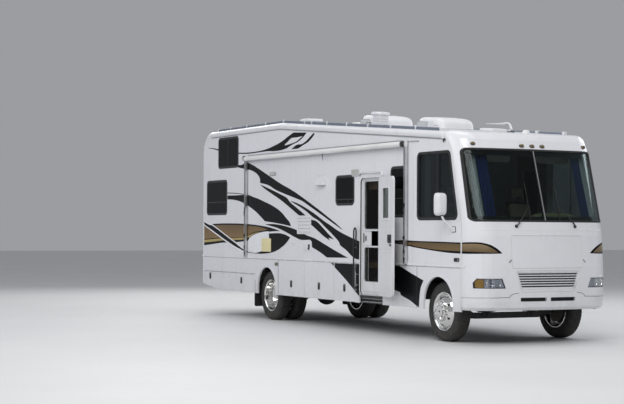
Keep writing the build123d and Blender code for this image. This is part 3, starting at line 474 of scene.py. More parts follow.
    def done(self, body="root", slot=None, replaces=None, sharp=38, merge=False, mirror=False):
        """Makes the object, with shading split at sharp edges, and puts it on its body."""
        if merge:
            bmesh.ops.remove_doubles(self.bm, verts=self.bm.verts, dist=1e-6)
        if mirror:
            for v in self.bm.verts:
                v.co.y = -v.co.y
            bmesh.ops.reverse_faces(self.bm, faces=self.bm.faces)
        lim = math.radians(sharp)
        for f in self.bm.faces:
            f.smooth = True
        for e in self.bm.edges:
            if len(e.link_faces) != 2 or e.calc_face_angle(0) > lim:
                e.smooth = False
        me = bpy.data.meshes.new(self.name)
        self.bm.to_mesh(me)
        self.bm.free()
        ob = bpy.data.objects.new(self.name, me)
        for m in self.mats:
            me.materials.append(m)
        bpy.context.scene.collection.objects.link(ob)
        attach(ob, body)
        if replaces:
            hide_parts(*([replaces] if isinstance(replaces, str) else replaces))
        return ob

# ---------------------------------------------------------------------------- materials
class Look:
    """A procedural material in object coordinates, which are metres in the vehicle's frame."""

    def __init__(self, name, shader="ShaderNodeBsdfPrincipled"):
        self.mat = bpy.data.materials.new(name)
        self.mat.use_nodes = True
        self.nt = self.mat.node_tree
        self.nt.nodes.clear()
        self.out = self.nt.nodes.new("ShaderNodeOutputMaterial")
        self.p = self.nt.nodes.new(shader)
        self.nt.links.new(self.p.outputs[0], self.out.inputs["Surface"])
        self.co = self.nt.nodes.new("ShaderNodeTexCoord").outputs["Object"]

    def put(self, socket, value):
        if hasattr(value, "is_linked"):
            self.nt.links.new(value, socket)
        elif isinstance(value, (tuple, list)) and len(value) == 3 and len(getattr(socket, "default_value", (0, 0, 0))) == 4:
            socket.default_value = (*value, 1)
        else:
            socket.default_value = value

    def scaled(self, sx, sy=None, sz=None, move=(0, 0, 0), turn=(0, 0, 0)):
        n = self.nt.nodes.new("ShaderNodeMapping")
        self.nt.links.new(self.co, n.inputs["Vector"])
        n.inputs["Scale"].default_value = (sx, sx if sy is None else sy, sx if sz is None else sz)
        n.inputs["Location"].default_value = move
        n.inputs["Rotation"].default_value = turn
        return n.outputs[0]

    def noise(self, scale, detail=4.0, rough=0.55, vec=None, distortion=0.0):
        n = self.nt.nodes.new("ShaderNodeTexNoise")
        self.nt.links.new(vec or self.co, n.inputs["Vector"])
        n.inputs["Scale"].default_value = scale
        n.inputs["Detail"].default_value = detail
        n.inputs["Roughness"].default_value = rough
        n.inputs["Distortion"].default_value = distortion
        return n.outputs["Fac"]

    def cells(self, scale, vec=None, feature="F1", out="Distance", random_=1.0):
        n = self.nt.nodes.new("ShaderNodeTexVoronoi")
        n.feature = feature
        self.nt.links.new(vec or self.co, n.inputs["Vector"])
        n.inputs["Scale"].default_value = scale
        n.inputs["Randomness"].default_value = random_
        return n.outputs[out]

    def wave(self, scale, axis="X", vec=None, distortion=0.0, profile="SIN", detail=2.0, dscale=1.0):
        n = self.nt.nodes.new("ShaderNodeTexWave")
        n.wave_type, n.bands_direction, n.wave_profile = "BANDS", axis, profile
        self.nt.links.new(vec or self.co, n.inputs["Vector"])
        n.inputs["Scale"].default_value = scale
        n.inputs["Distortion"].default_value = distortion
        n.inputs["Detail"].default_value = detail
        n.inputs["Detail Scale"].default_value = dscale
        return n.outputs["Fac"]

    def axis(self, name, vec=None):
        n = self.nt.nodes.new("ShaderNodeSeparateXYZ")
        self.nt.links.new(vec or self.co, n.inputs[0])
        return n.outputs[name]

    def math(self, op, a, b=0.0, clamp=False):
        n = self.nt.nodes.new("ShaderNodeMath")
        n.operation, n.use_clamp = op, clamp
        self.put(n.inputs[0], a)
        self.put(n.inputs[1], b)
        return n.outputs[0]

    def remap(self, v, a, b, c=0.0, d=1.0):
        n = self.nt.nodes.new("ShaderNodeMapRange")
        self.put(n.inputs["Value"], v)
        for k, x in (("From Min", a), ("From Max", b), ("To Min", c), ("To Max", d)):
            n.inputs[k].default_value = x
        return n.outputs[0]

    def mix(self, fac, a, b, blend="MIX"):
        n = self.nt.nodes.new("ShaderNodeMix")
        n.data_type, n.blend_type = "RGBA", blend
        self.put(n.inputs[0], fac)
        self.put(n.inputs[6], a)
        self.put(n.inputs[7], b)
        return n.outputs[2]

    def bump(self, height, strength=0.3, distance=0.002, normal=None):
        n = self.nt.nodes.new("ShaderNodeBump")
        self.put(n.inputs["Height"], height)
        n.inputs["Strength"].default_value = strength
        n.inputs["Distance"].default_value = distance
        if normal is not None:
            self.nt.links.new(normal, n.inputs["Normal"])
        return n.outputs[0]

    def set(self, **kw):
        for k, v in kw.items():
            self.put(self.p.inputs[k.replace("_", " ")], v)
        return self.mat


def paint(name, base, stain, rough=0.24, peel=0.02, dust=0.35, streaks=0.22, coat=0.35):
    """Glossy gel coat or paint with faint stains, rain streaks and road dust low down."""
    m = Look(name)
    big = m.remap(m.noise(0.9, 5, 0.6), 0.38, 0.72)
    c = m.mix(m.math("MULTIPLY", big, 0.35), base, stain)
    run = m.remap(m.noise(1.0, 3, 0.6, m.scaled(11, 11, 0.5)), 0.56, 0.8)
    c = m.mix(m.math("MULTIPLY", run, streaks), c, tuple(x * 0.72 for x in stain))
    low = m.remap(m.axis("Z"), 1.05, 0.4)
    grime = m.math("MULTIPLY", low, m.remap(m.noise(6, 6, 0.7), 0.3, 0.75))
    c = m.mix(m.math("MULTIPLY", grime, dust), c, (0.30, 0.27, 0.22))
    fine = m.noise(60, 3, 0.6)
    r = m.math("ADD", m.remap(fine, 0.3, 0.7, rough - 0.05, rough + 0.07), m.math("MULTIPLY", grime, 0.3))
    n = m.bump(m.noise(240, 2, 0.5), peel, 0.0006, m.bump(m.noise(1.3, 2, 0.4), 0.10, 0.004))
    return m.set(Base_Color=c, Roughness=r, Normal=n, Coat_Weight=coat, Coat_Roughness=0.08)


def plastic(name, base, rough=0.45, grain=420, depth=0.25, spread=0.25, metal=0.0):
    """Moulded plastic or rubber with a fine grain, fading and scuffs."""
    m = Look(name)
    worn = tuple(min(1, x * 1.25 + 0.03) for x in base)
    c = m.mix(m.math("MULTIPLY", m.remap(m.noise(5, 5, 0.65), 0.4, 0.75), spread), base, worn)
    c = m.mix(m.remap(m.noise(90, 4, 0.7), 0.62, 0.8, 0, 0.2), c, tuple(x * 0.75 for x in base))
    n = m.bump(m.cells(grain), depth, 0.0005, m.bump(m.noise(14, 3), 0.08, 0.001))
    return m.set(Base_Color=c, Roughness=m.remap(m.noise(40, 4), 0.3, 0.7, rough - 0.08, rough + 0.1), Normal=n, Metallic=metal)


def metal(name, base, rough=0.3, brushed=None, scratches=0.3, tarnish=None, bumpy=0.05, metallic=1.0):
    """Metal with brushing along an axis, fine scratches and dull patches."""
    m = Look(name)
    dull = tarnish or tuple(x * 0.62 for x in base)
    c = m.mix(m.remap(m.noise(3.5, 6, 0.7), 0.45, 0.8, 0, 0.55), base, dull)
    c = m.mix(m.remap(m.noise(70, 5, 0.75), 0.6, 0.85, 0, 0.35), c, dull)
    if brushed:
        grain = m.noise(1.0, 3, 0.6, m.scaled(*brushed))
        c = m.mix(m.remap(grain, 0.35, 0.75, 0, 0.25), c, dull)
        n = m.bump(grain, 0.12, 0.0004)
    else:
        n = m.bump(m.noise(120, 4), bumpy, 0.0006)
    r = m.remap(m.noise(28, 5, 0.7, distortion=0.6), 0.35, 0.75, rough, rough + scratches * 0.5)
    return m.set(Base_Color=c, Roughness=r, Metallic=metallic, Normal=n)


def clear_glass(name, tint, mirror=0.05, rough=0.02, index=1.45, share=0.8):
    """Thin tinted glass that shows what is behind it."""
    m = Look(name, "ShaderNodeMixShader")
    see = m.nt.nodes.new("ShaderNodeBsdfTransparent")
    gloss = m.nt.nodes.new("ShaderNodeBsdfGlossy")
    fres = m.nt.nodes.new("ShaderNodeFresnel")
    fres.inputs["IOR"].default_value = index
    smear = m.noise(7, 5, 0.7, distortion=0.8)
    m.put(see.inputs["Color"], m.mix(m.remap(smear, 0.45, 0.8, 0, 0.25), tint, tuple(x * 0.8 for x in tint)))
    m.put(gloss.inputs["Roughness"], m.remap(smear, 0.4, 0.8, rough, rough + 0.08))
    gloss.inputs["Color"].default_value = (0.9, 0.93, 0.95, 1)
    m.put(m.p.inputs[0], m.math("ADD", m.math("MULTIPLY", fres.outputs[0], share), mirror * 0.2, True))
    m.nt.links.new(see.outputs[0], m.p.inputs[1])
    m.nt.links.new(gloss.outputs[0], m.p.inputs[2])
    return m.mat


def lens(name, base, flute=90, axis="Y", rough=0.08, coat=0.6, glow=0.0):
    """Moulded lamp lens with prism flutes behind a glossy face."""
    m = Look(name)
    bars = m.wave(flute / 6.28, axis)
    other = m.wave(flute / 6.28, "Z")
    f = m.math("MULTIPLY", bars, other)
    c = m.mix(m.remap(f, 0.0, 1.0, 0, 0.65), tuple(x * 0.55 for x in base), tuple(min(1, x * 1.35 + 0.02) for x in base))
    c = m.mix(m.remap(m.noise(12, 4), 0.5, 0.8, 0, 0.2), c, tuple(x * 0.7 for x in base))
    return m.set(Base_Color=c, Roughness=m.remap(f, 0, 1, rough, rough + 0.12), Normal=m.bump(f, 0.5, 0.0012), Coat_Weight=coat, Coat_Roughness=0.03)


def wood(name, base, dark, scale=1.0, rough=0.32, axis_scale=(9, 9, 0.9)):
    m = Look(name)
    v = m.scaled(axis_scale[0] * scale, axis_scale[1] * scale, axis_scale[2] * scale)
    g = m.noise(1.6, 6, 0.62, v, 1.4)
    rings = m.wave(1.9, "X", v, 7.0, "SIN", 3, 0.8)
    c = m.mix(m.remap(g, 0.3, 0.72), base, dark)
    c = m.mix(m.remap(rings, 0.55, 1.0, 0, 0.45), c, tuple(x * 0.6 for x in dark))
    pores = m.noise(30, 3, 0.6, v)
    c = m.mix(m.remap(pores, 0.62, 0.8, 0, 0.5), c, tuple(x * 0.4 for x in dark))
    return m.set(Base_Color=c, Roughness=m.remap(g, 0.3, 0.7, rough - 0.06, rough + 0.12), Normal=m.bump(pores, 0.15, 0.0006), Coat_Weight=0.15)


def cloth(name, base, other, threads=900, rough=0.85, depth=0.5, mottled=0.3):
    """Woven cloth in object coordinates, with a soft sheen."""
    m = Look(name)
    wx = m.math("ADD", m.wave(threads / 6.28, "X"), m.wave(threads / 6.28, "Y"))
    wz = m.wave(threads / 6.28, "Z")
    weave = m.math("MULTIPLY", wx, wz)
    c = m.mix(m.remap(weave, 0.0, 1.6), other, base)
    c = m.mix(m.remap(m.noise(3.0, 5, 0.6), 0.4, 0.75, 0, mottled), c, tuple(x * 0.8 for x in base))
    n = m.bump(weave, depth, 0.0005, m.bump(m.noise(40, 4), 0.15, 0.0015))
    return m.set(Base_Color=c, Roughness=m.remap(m.noise(50, 3), 0.3, 0.7, rough - 0.08, min(1, rough + 0.08)), Normal=n, Sheen_Weight=0.25, Sheen_Roughness=0.4)


def leather(name, base, dark, rough=0.42):
    m = Look(name)
    pebble = m.cells(330)
    crease = m.cells(95, feature="DISTANCE_TO_EDGE")
    c = m.mix(m.remap(m.noise(4.5, 5, 0.65), 0.35, 0.75), base, dark)
    # darker along the crease lines: painted shade in the creases
    c = m.mix(m.remap(crease, 0.0, 0.06, 0.5, 0.0), c, tuple(x * 0.6 for x in dark))
    n = m.bump(pebble, 0.35, 0.0006, m.bump(crease, 0.2, 0.0008))
    return m.set(Base_Color=c, Roughness=m.remap(m.noise(30, 4), 0.3, 0.7, rough - 0.07, rough + 0.12), Normal=n, Sheen_Weight=0.08)


WHITE = (0.80, 0.805, 0.84)
M = {}
M["shell"] = paint("gel_coat_white", WHITE, (0.70, 0.71, 0.735))
M["trim_white"] = paint("white_trim", (0.78, 0.785, 0.81), (0.62, 0.62, 0.63), 0.32, 0.03, 0.4, 0.3, 0.15)
M["panel_white"] = plastic("white_moulding", (0.74, 0.745, 0.77), 0.34, 700, 0.08, 0.2)
M["rubber"] = plastic("black_rubber", (0.012, 0.012, 0.013), 0.62, 500, 0.2, 0.35)
M["black"] = plastic("black_moulding", (0.016, 0.016, 0.017), 0.38, 520, 0.18, 0.3)
M["grey"] = plastic("grey_moulding", (0.30, 0.31, 0.32), 0.45, 520, 0.15, 0.3)
M["sealant"] = plastic("sealant", (0.62, 0.62, 0.60), 0.55, 200, 0.2, 0.3)


def vinyl(name, base, rough=0.22, metallic=0.0, flake=None, gloss=0.45):
    """Cut film with a gloss face, swirl marks and slightly faded patches."""
    m = Look(name)
    c = m.mix(m.remap(m.noise(1.4, 5, 0.6), 0.4, 0.75, 0, 0.5), base, tuple(min(1, x * 1.2 + 0.004) for x in base))
    if flake:
        c = m.mix(m.remap(m.cells(900, out="Distance"), 0.0, 0.6, 0.55, 0.0), c, flake)
    swirl = m.noise(45, 6, 0.8, distortion=1.5)
    return m.set(Base_Color=c, Roughness=m.remap(swirl, 0.35, 0.75, rough - 0.06, rough + 0.14), Metallic=metallic,
                 Normal=m.bump(m.noise(200, 2), 0.02, 0.0004), Specular_IOR_Level=gloss)


M["vinyl_black"] = vinyl("film_black", (0.0045, 0.0048, 0.006), 0.30, gloss=0.12)
M["vinyl_white"] = vinyl("film_white", (0.82, 0.83, 0.86), 0.25)


def gold_film(name, deep, bright, z0, z1):
    """Metallic film that runs from deep to bright across its height, with a fine flake."""
    m = Look(name)
    up = m.remap(m.axis("Z"), z0, z1)
    t = m.math("ADD", up, m.remap(m.noise(1.2, 4, 0.6), 0.3, 0.7, -0.18, 0.18), True)
    c = m.mix(t, deep, bright)
    c = m.mix(m.remap(m.cells(1100), 0.0, 0.5, 0.4, 0.0), c, tuple(min(1, x * 1.7) for x in bright))
    return m.set(Base_Color=c, Roughness=m.remap(m.noise(60, 5, 0.75), 0.3, 0.7, 0.26, 0.40), Metallic=0.35,
                 Normal=m.bump(m.noise(220, 2), 0.02, 0.0004), Coat_Weight=0.3, Coat_Roughness=0.08)


M["gold"] = gold_film("film_gold", (0.33, 0.20, 0.065), (0.16, 0.095, 0.035), 1.45, 1.86)
M["gold_light"] = vinyl("film_gold_light", (0.46, 0.36, 0.13), 0.28, 0.2, (0.7, 0.58, 0.28))
M["gold_front"] = gold_film("film_gold_front", (0.21, 0.135, 0.05), (0.13, 0.085, 0.035), 1.42, 1.55)
M["gold_fade"] = gold_film("film_gold_fade", (0.12, 0.08, 0.035), (0.34, 0.25, 0.14), 1.40, 1.56)
M["cream"] = plastic("cream_cover", (0.78, 0.70, 0.40), 0.4, 600, 0.1, 0.25)


def smoked():
    m = Look("smoked_window")
    c = m.mix(m.remap(m.noise(2.2, 4), 0.35, 0.7), (0.002, 0.0022, 0.003), (0.006, 0.0065, 0.008))
    return m.set(Base_Color=c, Roughness=m.remap(m.noise(9, 5, 0.7, distortion=0.7), 0.4, 0.8, 0.03, 0.10),
                 Specular_IOR_Level=0.10, Normal=m.bump(m.noise(1.1, 2), 0.05, 0.003))


M["smoked"] = smoked()
M["glass"] = clear_glass("cab_glass", (0.62, 0.67, 0.66), 0.01, 0.015, 1.30, 0.45)
M["glass_side"] = clear_glass("side_glass", (0.40, 0.43, 0.43), 0.01, 0.015, 1.30, 0.40)
M["leaf_glass"] = clear_glass("door_glass", (0.84, 0.87, 0.82), 0.02, 0.02, 1.32, 0.6)
M["glass_lens"] = clear_glass("lamp_cover", (0.90, 0.92, 0.94), 0.05, 0.03, 1.4)
M["chrome"] = metal("bright_chrome", (0.86, 0.86, 0.87), 0.05, scratches=0.16, tarnish=(0.62, 0.60, 0.57), bumpy=0.03)
M["wheel"] = metal("polished_wheel", (0.80, 0.80, 0.79), 0.09, scratches=0.3, tarnish=(0.50, 0.47, 0.43), bumpy=0.06)
M["alu"] = metal("anodised_aluminium", (0.66, 0.67, 0.68), 0.30, brushed=(3, 60, 60), scratches=0.25)
M["steel_dark"] = metal("chassis_black", (0.035, 0.035, 0.037), 0.5, scratches=0.3, tarnish=(0.075, 0.055, 0.042), bumpy=0.25, metallic=0.15)
M["cast"] = metal("cast_iron", (0.10, 0.10, 0.10), 0.55, scratches=0.3, tarnish=(0.14, 0.085, 0.05), bumpy=0.5, metallic=0.45)
M["exhaust"] = metal("aluminised_pipe", (0.42, 0.40, 0.38), 0.42, scratches=0.4, tarnish=(0.24, 0.16, 0.11), bumpy=0.2)
M["galvanised"] = metal("zinc_plate", (0.58, 0.60, 0.61), 0.34, scratches=0.35, tarnish=(0.42, 0.43, 0.43))
M["tank"] = plastic("tank_plastic", (0.028, 0.028, 0.030), 0.55, 260, 0.3, 0.4)
M["lens_clear"] = lens("lens_clear", (0.62, 0.66, 0.70), 260)
M["lens_amber"] = lens("lens_amber", (0.80, 0.42, 0.040), 420)
M["lens_olive"] = lens("lens_olive", (0.20, 0.135, 0.050), 420)
M["lens_red"] = lens("lens_red", (0.50, 0.010, 0.008), 420)
M["lens_white"] = lens("lens_white", (0.72, 0.73, 0.70), 420)
M["roof_plastic"] = plastic("roof_plastic", (0.76, 0.77, 0.79), 0.42, 300, 0.15, 0.25)


def membrane():
    m = Look("roof_membrane")
    c = m.mix(m.remap(m.noise(0.8, 6, 0.65), 0.35, 0.75), (0.60, 0.61, 0.62), (0.40, 0.42, 0.45))
    run = m.remap(m.noise(1.0, 4, 0.6, m.scaled(5, 0.7, 5)), 0.5, 0.8)
    c = m.mix(m.math("MULTIPLY", run, 0.5), c, (0.24, 0.25, 0.26))
    return m.set(Base_Color=c, Roughness=m.remap(m.noise(30, 4), 0.3, 0.7, 0.6, 0.85), Normal=m.bump(m.noise(300, 3), 0.2, 0.0008, m.bump(m.noise(2, 3), 0.3, 0.004)))


M["membrane"] = membrane()
# blue-grey of the roof-edge bars, where it is painted shade and painted reflection, also used for the dark head of the
# rear mast
M["edge_blue"] = metal("edge_bar", (0.22, 0.25, 0.31), 0.38, brushed=(2, 60, 60), metallic=0.4)


def rubber_tread(name="tyre_rubber"):
    m = Look(name)
    c = m.mix(m.remap(m.noise(5, 6, 0.7), 0.35, 0.75), (0.020, 0.020, 0.021), (0.045, 0.043, 0.040))
    dust = m.math("MULTIPLY", m.remap(m.noise(16, 5, 0.7), 0.42, 0.75), m.remap(m.axis("Z"), 0.42, 0.0, 0.15, 0.75))
    c = m.mix(dust, c, (0.11, 0.095, 0.075))
    return m.set(Base_Color=c, Roughness=m.remap(m.noise(50, 4), 0.3, 0.7, 0.62, 0.84), Normal=m.bump(m.noise(420, 3), 0.25, 0.0006))


M["tyre"] = rubber_tread()


def awning_vinyl():
    m = Look("awning_cloth")
    w = m.math("MULTIPLY", m.wave(120, "X"), m.wave(120, "Z"))
    c = m.mix(m.remap(w, 0, 1, 0, 0.35), (0.80, 0.80, 0.80), (0.68, 0.68, 0.67))
    c = m.mix(m.remap(m.noise(1.0, 5, 0.6, m.scaled(1.2, 6, 6)), 0.5, 0.8, 0, 0.45), c, (0.50, 0.50, 0.46))
    return m.set(Base_Color=c, Roughness=m.remap(m.noise(25, 4), 0.3, 0.7, 0.42, 0.6), Normal=m.bump(w, 0.3, 0.0004, m.bump(m.noise(1.0, 3, 0.5, m.scaled(0.8, 26, 26)), 0.35, 0.003)))


M["awning"] = awning_vinyl()


def fly_screen():
    """Fine woven screen: dark threads 3 mm apart with clear holes between."""
    m = Look("fly_screen", "ShaderNodeMixShader")
    see = m.nt.nodes.new("ShaderNodeBsdfTransparent")
    wire = m.nt.nodes.new("ShaderNodeBsdfPrincipled")
    m.put(wire.inputs["Base Color"], m.mix(m.remap(m.noise(20, 3), 0.4, 0.7), (0.006, 0.006, 0.006), (0.016, 0.015, 0.014)))
    wire.inputs["Roughness"].default_value = 0.7
    wire.inputs["Specular IOR Level"].default_value = 0.1
    gaps = []
    for a in "XZ":
        f = m.math("FRACT", m.math("MULTIPLY", m.axis(a), 333.0))
        gaps.append(m.math("LESS_THAN", f, 0.26))
    m.put(m.p.inputs[0], m.math("MAXIMUM", gaps[0], gaps[1]))
    m.nt.links.new(see.outputs[0], m.p.inputs[1])
    m.nt.links.new(wire.outputs[0], m.p.inputs[2])
    return m.mat


M["screen"] = fly_screen()
M["cherry"] = wood("cherry_wood", (0.16, 0.045, 0.018), (0.055, 0.014, 0.007))
M["oak"] = wood("light_laminate", (0.50, 0.37, 0.22), (0.34, 0.23, 0.13), 1.0, 0.4)
M["ply"] = wood("plywood_floor", (0.42, 0.31, 0.18), (0.26, 0.18, 0.10), 0.7, 0.5, (2, 9, 9))
M["tan_shade"] = cloth("tan_shade", (0.56, 0.44, 0.28), (0.42, 0.31, 0.19), 700)
M["carpet"] = cloth("dark_carpet", (0.10, 0.075, 0.055), (0.05, 0.038, 0.03), 500, 0.95, 0.8)
M["curtain"] = cloth("curtain_cloth", (0.78, 0.80, 0.82), (0.58, 0.61, 0.66), 800)
M["curtain_blue"] = cloth("blue_cloth", (0.035, 0.075, 0.30), (0.018, 0.04, 0.16), 800)
M["headliner"] = cloth("headliner", (0.50, 0.48, 0.44), (0.40, 0.38, 0.34), 600)
M["leather"] = leather("seat_leather", (0.60, 0.51, 0.38), (0.42, 0.34, 0.24))
M["leather_dark"] = leather("dark_leather", (0.20, 0.16, 0.12), (0.11, 0.085, 0.065))
M["dash"] = plastic("dash_moulding", (0.36, 0.35, 0.20), 0.5, 380, 0.3, 0.25)
M["dash_dark"] = plastic("dash_dark", (0.05, 0.048, 0.045), 0.45, 380, 0.3, 0.25)
M["mirror"] = metal("mirror_face", (0.90, 0.92, 0.93), 0.015, scratches=0.02, tarnish=(0.84, 0.86, 0.87), bumpy=0.005)
M["reflector"] = metal("lamp_reflector", (0.92, 0.92, 0.93), 0.08, scratches=0.1, tarnish=(0.8, 0.8, 0.8), bumpy=0.02)
M["plate"] = paint("blank_plate", (0.66, 0.67, 0.68), (0.52, 0.53, 0.54), 0.35)


def studio_floor():
    m = Look("studio_floor")
    c = m.mix(m.remap(m.noise(0.35, 4, 0.55), 0.3, 0.7), (0.70, 0.705, 0.71), (0.74, 0.743, 0.745))
    c = m.mix(m.remap(m.noise(30, 4, 0.6), 0.45, 0.75, 0, 0.12), c, (0.62, 0.62, 0.62))
    return m.set(Base_Color=c, Roughness=m.remap(m.noise(6, 4), 0.3, 0.7, 0.55, 0.7), Normal=m.bump(m.noise(90, 3), 0.05, 0.001))


M["floor"] = studio_floor()

# ---------------------------------------------------------------------------- finishes of the carried-over nodes
def finish_node(node, base, *rules):
    """Material for a node; each rule (material, test of a face's centre and normal) overrides it."""
    me = NODES[node].data
    me.materials.clear()
    me.materials.append(base)
    for mat, _ in rules:
        me.materials.append(mat)
    for poly in me.polygons:
        k = 0
        for i, (_, test) in enumerate(rules):
            if test(poly.center, poly.normal):
                k = i + 1
        poly.material_index = k


shell, steel, cast = M["shell"], M["steel_dark"], M["cast"]
inner = lambda c, n: abs(c.y) < W - 0.004 and n.y * c.y < 0
finish_node("front_cap", shell, (M["black"], lambda c, n: c.x < cap_x(c.y, c.z) - 0.030 and n.x < 0 and abs(c.y) < 1.22))
finish_node("front_hatch", shell, (M["black"], lambda c, n: n.x < -0.2))
finish_node("windshield", M["glass"])
finish_node("grille", M["panel_white"])
finish_node("headlights", M["lens_clear"])
finish_node("wall_right", shell, (M["headliner"], inner))
finish_node("wall_left", shell, (M["headliner"], inner))
finish_node("side_windows", M["smoked"], (M["glass_side"], lambda c, n: c.x > 3.45))
finish_node("roof", shell, (M["headliner"], lambda c, n: n.z < -0.5 and abs(c.y) < W - 0.06))
finish_node("rear_cap", shell)
finish_node("tail_lights", M["lens_red"])
finish_node("ramp_door", shell, (M["ply"], lambda c, n: n.x > 0.5))
finish_node("floor_deck", M["ply"], (M["carpet"], lambda c, n: n.z > 0.5 and c.x > -2.1), (steel, lambda c, n: n.z < -0.5))
finish_node("garage_bulkhead", M["oak"])
finish_node("baggage_bays", steel)
finish_node("skirts", shell, (steel, inner))
for n in NODES:
    if n.startswith(("baggage_door", "locker_door")):
        finish_node(n, shell, (M["black"], lambda c, n: abs(c.y) > W + 0.0005), (steel, inner))
finish_node("entry_door_frame", M["trim_white"])
finish_node("screen_door", M["trim_white"], (M["screen"], lambda c, n: 1.2180 < -c.y < 1.2210 and abs(n.y) > 0.9 and (1.752 < c.z < 2.560 or 0.864 < c.z < 1.440) and abs(c.x - 2.0525) < 0.3195))
LEAF_T = math.radians(180 + 168.0)
LEAF_X = Vector((math.cos(LEAF_T), math.sin(LEAF_T), 0))
LEAF_Z = Vector((math.cos(LEAF_T - math.pi / 2), math.sin(LEAF_T - math.pi / 2), 0))


def in_leaf(c):
    """Distance from the hinge line along the leaf, height, and distance out of its inner face."""
    d = Vector(c) - Vector((2.432, -1.300, 0))
    return d.dot(LEAF_X), c[2], d.dot(LEAF_Z) - 0.0575


def leaf_glass(c, n):
    a, b, h = in_leaf(c)
    return 0.2205 < a < 0.5695 and 1.9025 < b < 2.4415 and -0.0250 < h < -0.0160 and abs(n.dot(LEAF_Z)) > 0.9


def leaf_black(c, n):
    a, b, h = in_leaf(c)
    return h > 0.0002 or h < -0.0402


finish_node("entry_door", M["trim_white"], (M["leaf_glass"], leaf_glass), (M["black"], leaf_black))
finish_node("step_well", M["carpet"])
finish_node("entry_step", steel)
finish_node("grab_rail", M["black"])
finish_node("slide_out_room", shell, (M["oak"], lambda c, n: c.y < W - 0.03 and n.y < -0.5))
finish_node("slide_out_windows", M["smoked"])
for n in ("chassis_frame", "floor_outriggers", "hitch_receiver", "leaf_springs", "tie_rod", "front_axle"):
    finish_node(n, steel)
for n in ("drivetrain", "rear_axle", "steering_knuckle_left", "steering_knuckle_right"):
    finish_node(n, cast)
finish_node("underfloor_tanks", M["tank"])
finish_node("exhaust", M["exhaust"])
for n in ("front_tyre_left", "front_tyre_right", "rear_tyres_left", "rear_tyres_right"):
    finish_node(n, M["tyre"])
for n in ("front_rim_left", "front_rim_right", "rear_rims_left", "rear_rims_right"):
    finish_node(n, M["wheel"])
finish_node("awning", M["awning"], (M["alu"], lambda c, n: c.x < -2.893 or c.x > 3.193))
finish_node("mirrors", M["panel_white"])
for n in ("air_conditioners", "roof_vents", "antennas"):
    finish_node(n, M["roof_plastic"])
finish_node("dashboard", M["dash"])
finish_node("cab_seats", M["leather"])
finish_node("steering_wheel", M["dash_dark"])

# ---------------------------------------------------------------------------- side graphics
# Outlines are (x, z) in metres on the side; a third value marks a sharp corner.
def loop_of(up, low):
    return flow([tuple(p) for p in up] + [tuple(p) for p in reversed(low)])


ART = []  # material, loops, height
TOP_LINE = stripe([(-4.899, 3.433), (-4.61, 3.408), (-4.34, 3.367)], 0.024, ends=(0.3, 1.3))
TOP_SWEEP = loop_of(
    [(-3.40, 3.275, 1), (-2.969, 3.258), (-2.548, 3.259), (-2.138, 3.28), (-1.782, 3.327), (-1.434, 3.393),
     (-1.136, 3.481), (-0.906, 3.544, 1), (-0.37, 3.514, 1), (-0.432, 3.474), (-0.559, 3.412), (-0.737, 3.357), (-0.945, 3.321), (-1.10, 3.285, 1)],
    [(-3.40, 3.252, 1), (-2.921, 3.232), (-2.41, 3.238), (-2.003, 3.243), (-1.781, 3.234), (-1.432, 3.236), (-1.176, 3.262, 1)])
TOP_HOLE = flow([(-1.262, 3.342, 1), (-1.156, 3.378), (-0.999, 3.44), (-0.764, 3.446), (-0.521, 3.456, 1),
                 (-0.661, 3.411), (-0.789, 3.371), (-0.971, 3.345), (-1.261, 3.318, 1)])
TOP_BLADE = flow([(-0.996, 3.236, 1), (-0.814, 3.297), (-0.737, 3.311), (-0.557, 3.314), (-0.38, 3.363), (-0.231, 3.429),
                  (-0.095, 3.49, 1), (-0.033, 3.475, 1), (-0.156, 3.402), (-0.305, 3.336), (-0.506, 3.288), (-0.71, 3.234, 1)])
MAIN = loop_of(
    [(-3.543, 3.042, 1), (-3.252, 3.022), (-2.966, 3.060), (-2.683, 2.998), (-2.405, 2.914), (-2.131, 2.827), (-1.773, 2.711),
     (-1.467, 2.612), (-0.954, 2.47), (-0.54, 2.336), (-0.136, 2.194), (0.18, 2.082), (0.49, 1.964), (0.793, 1.848), (1.053, 1.737, 1)],
    [(-3.543, 3.008, 1), (-3.251, 2.958), (-3.011, 2.934), (-2.681, 2.88), (-2.472, 2.809), (-2.366, 2.727), (-2.346, 2.639, 1),
     (-1.993, 2.592), (-1.639, 2.488), (-1.249, 2.405), (-0.827, 2.323), (-0.539, 2.263), (-0.215, 2.158), (0.181, 2.024), (0.567, 1.892), (0.942, 1.765)])
SECOND = loop_of(
    [(-1.036, 2.279, 1), (-0.702, 2.219), (-0.375, 2.132), (-0.015, 2.02), (0.337, 1.893), (0.567, 1.821), (0.831, 1.733),
     (1.091, 1.664), (1.382, 1.597), (1.651, 1.540, 1)],
    [(-0.91, 2.235), (-0.537, 2.13), (-0.293, 2.044), (-0.133, 1.976), (0.144, 1.893), (0.377, 1.786), (0.645, 1.662),
     (0.908, 1.523), (0.946, 1.471), (1.167, 1.387), (1.457, 1.253), (1.651, 1.228, 1)])
THIRD = loop_of(
    [(-2.332, 2.606, 1), (-1.903, 2.513), (-1.507, 2.419), (-1.163, 2.328), (-1.035, 2.251), (-0.742, 2.136), (-0.454, 2.023), (-0.252, 1.94, 1),
     (-0.132, 1.916), (0.026, 1.894), (0.183, 1.83), (0.339, 1.75), (0.531, 1.653), (0.721, 1.566, 1)],
    [(-2.332, 2.598, 1), (-2.127, 2.518), (-1.813, 2.415), (-1.462, 2.305), (-1.119, 2.178), (-0.824, 2.063), (-0.576, 1.969), (-0.392, 1.898),
     (-0.131, 1.812), (0.107, 1.713), (0.341, 1.616), (0.571, 1.543, 1), (0.513, 1.594, 1)])
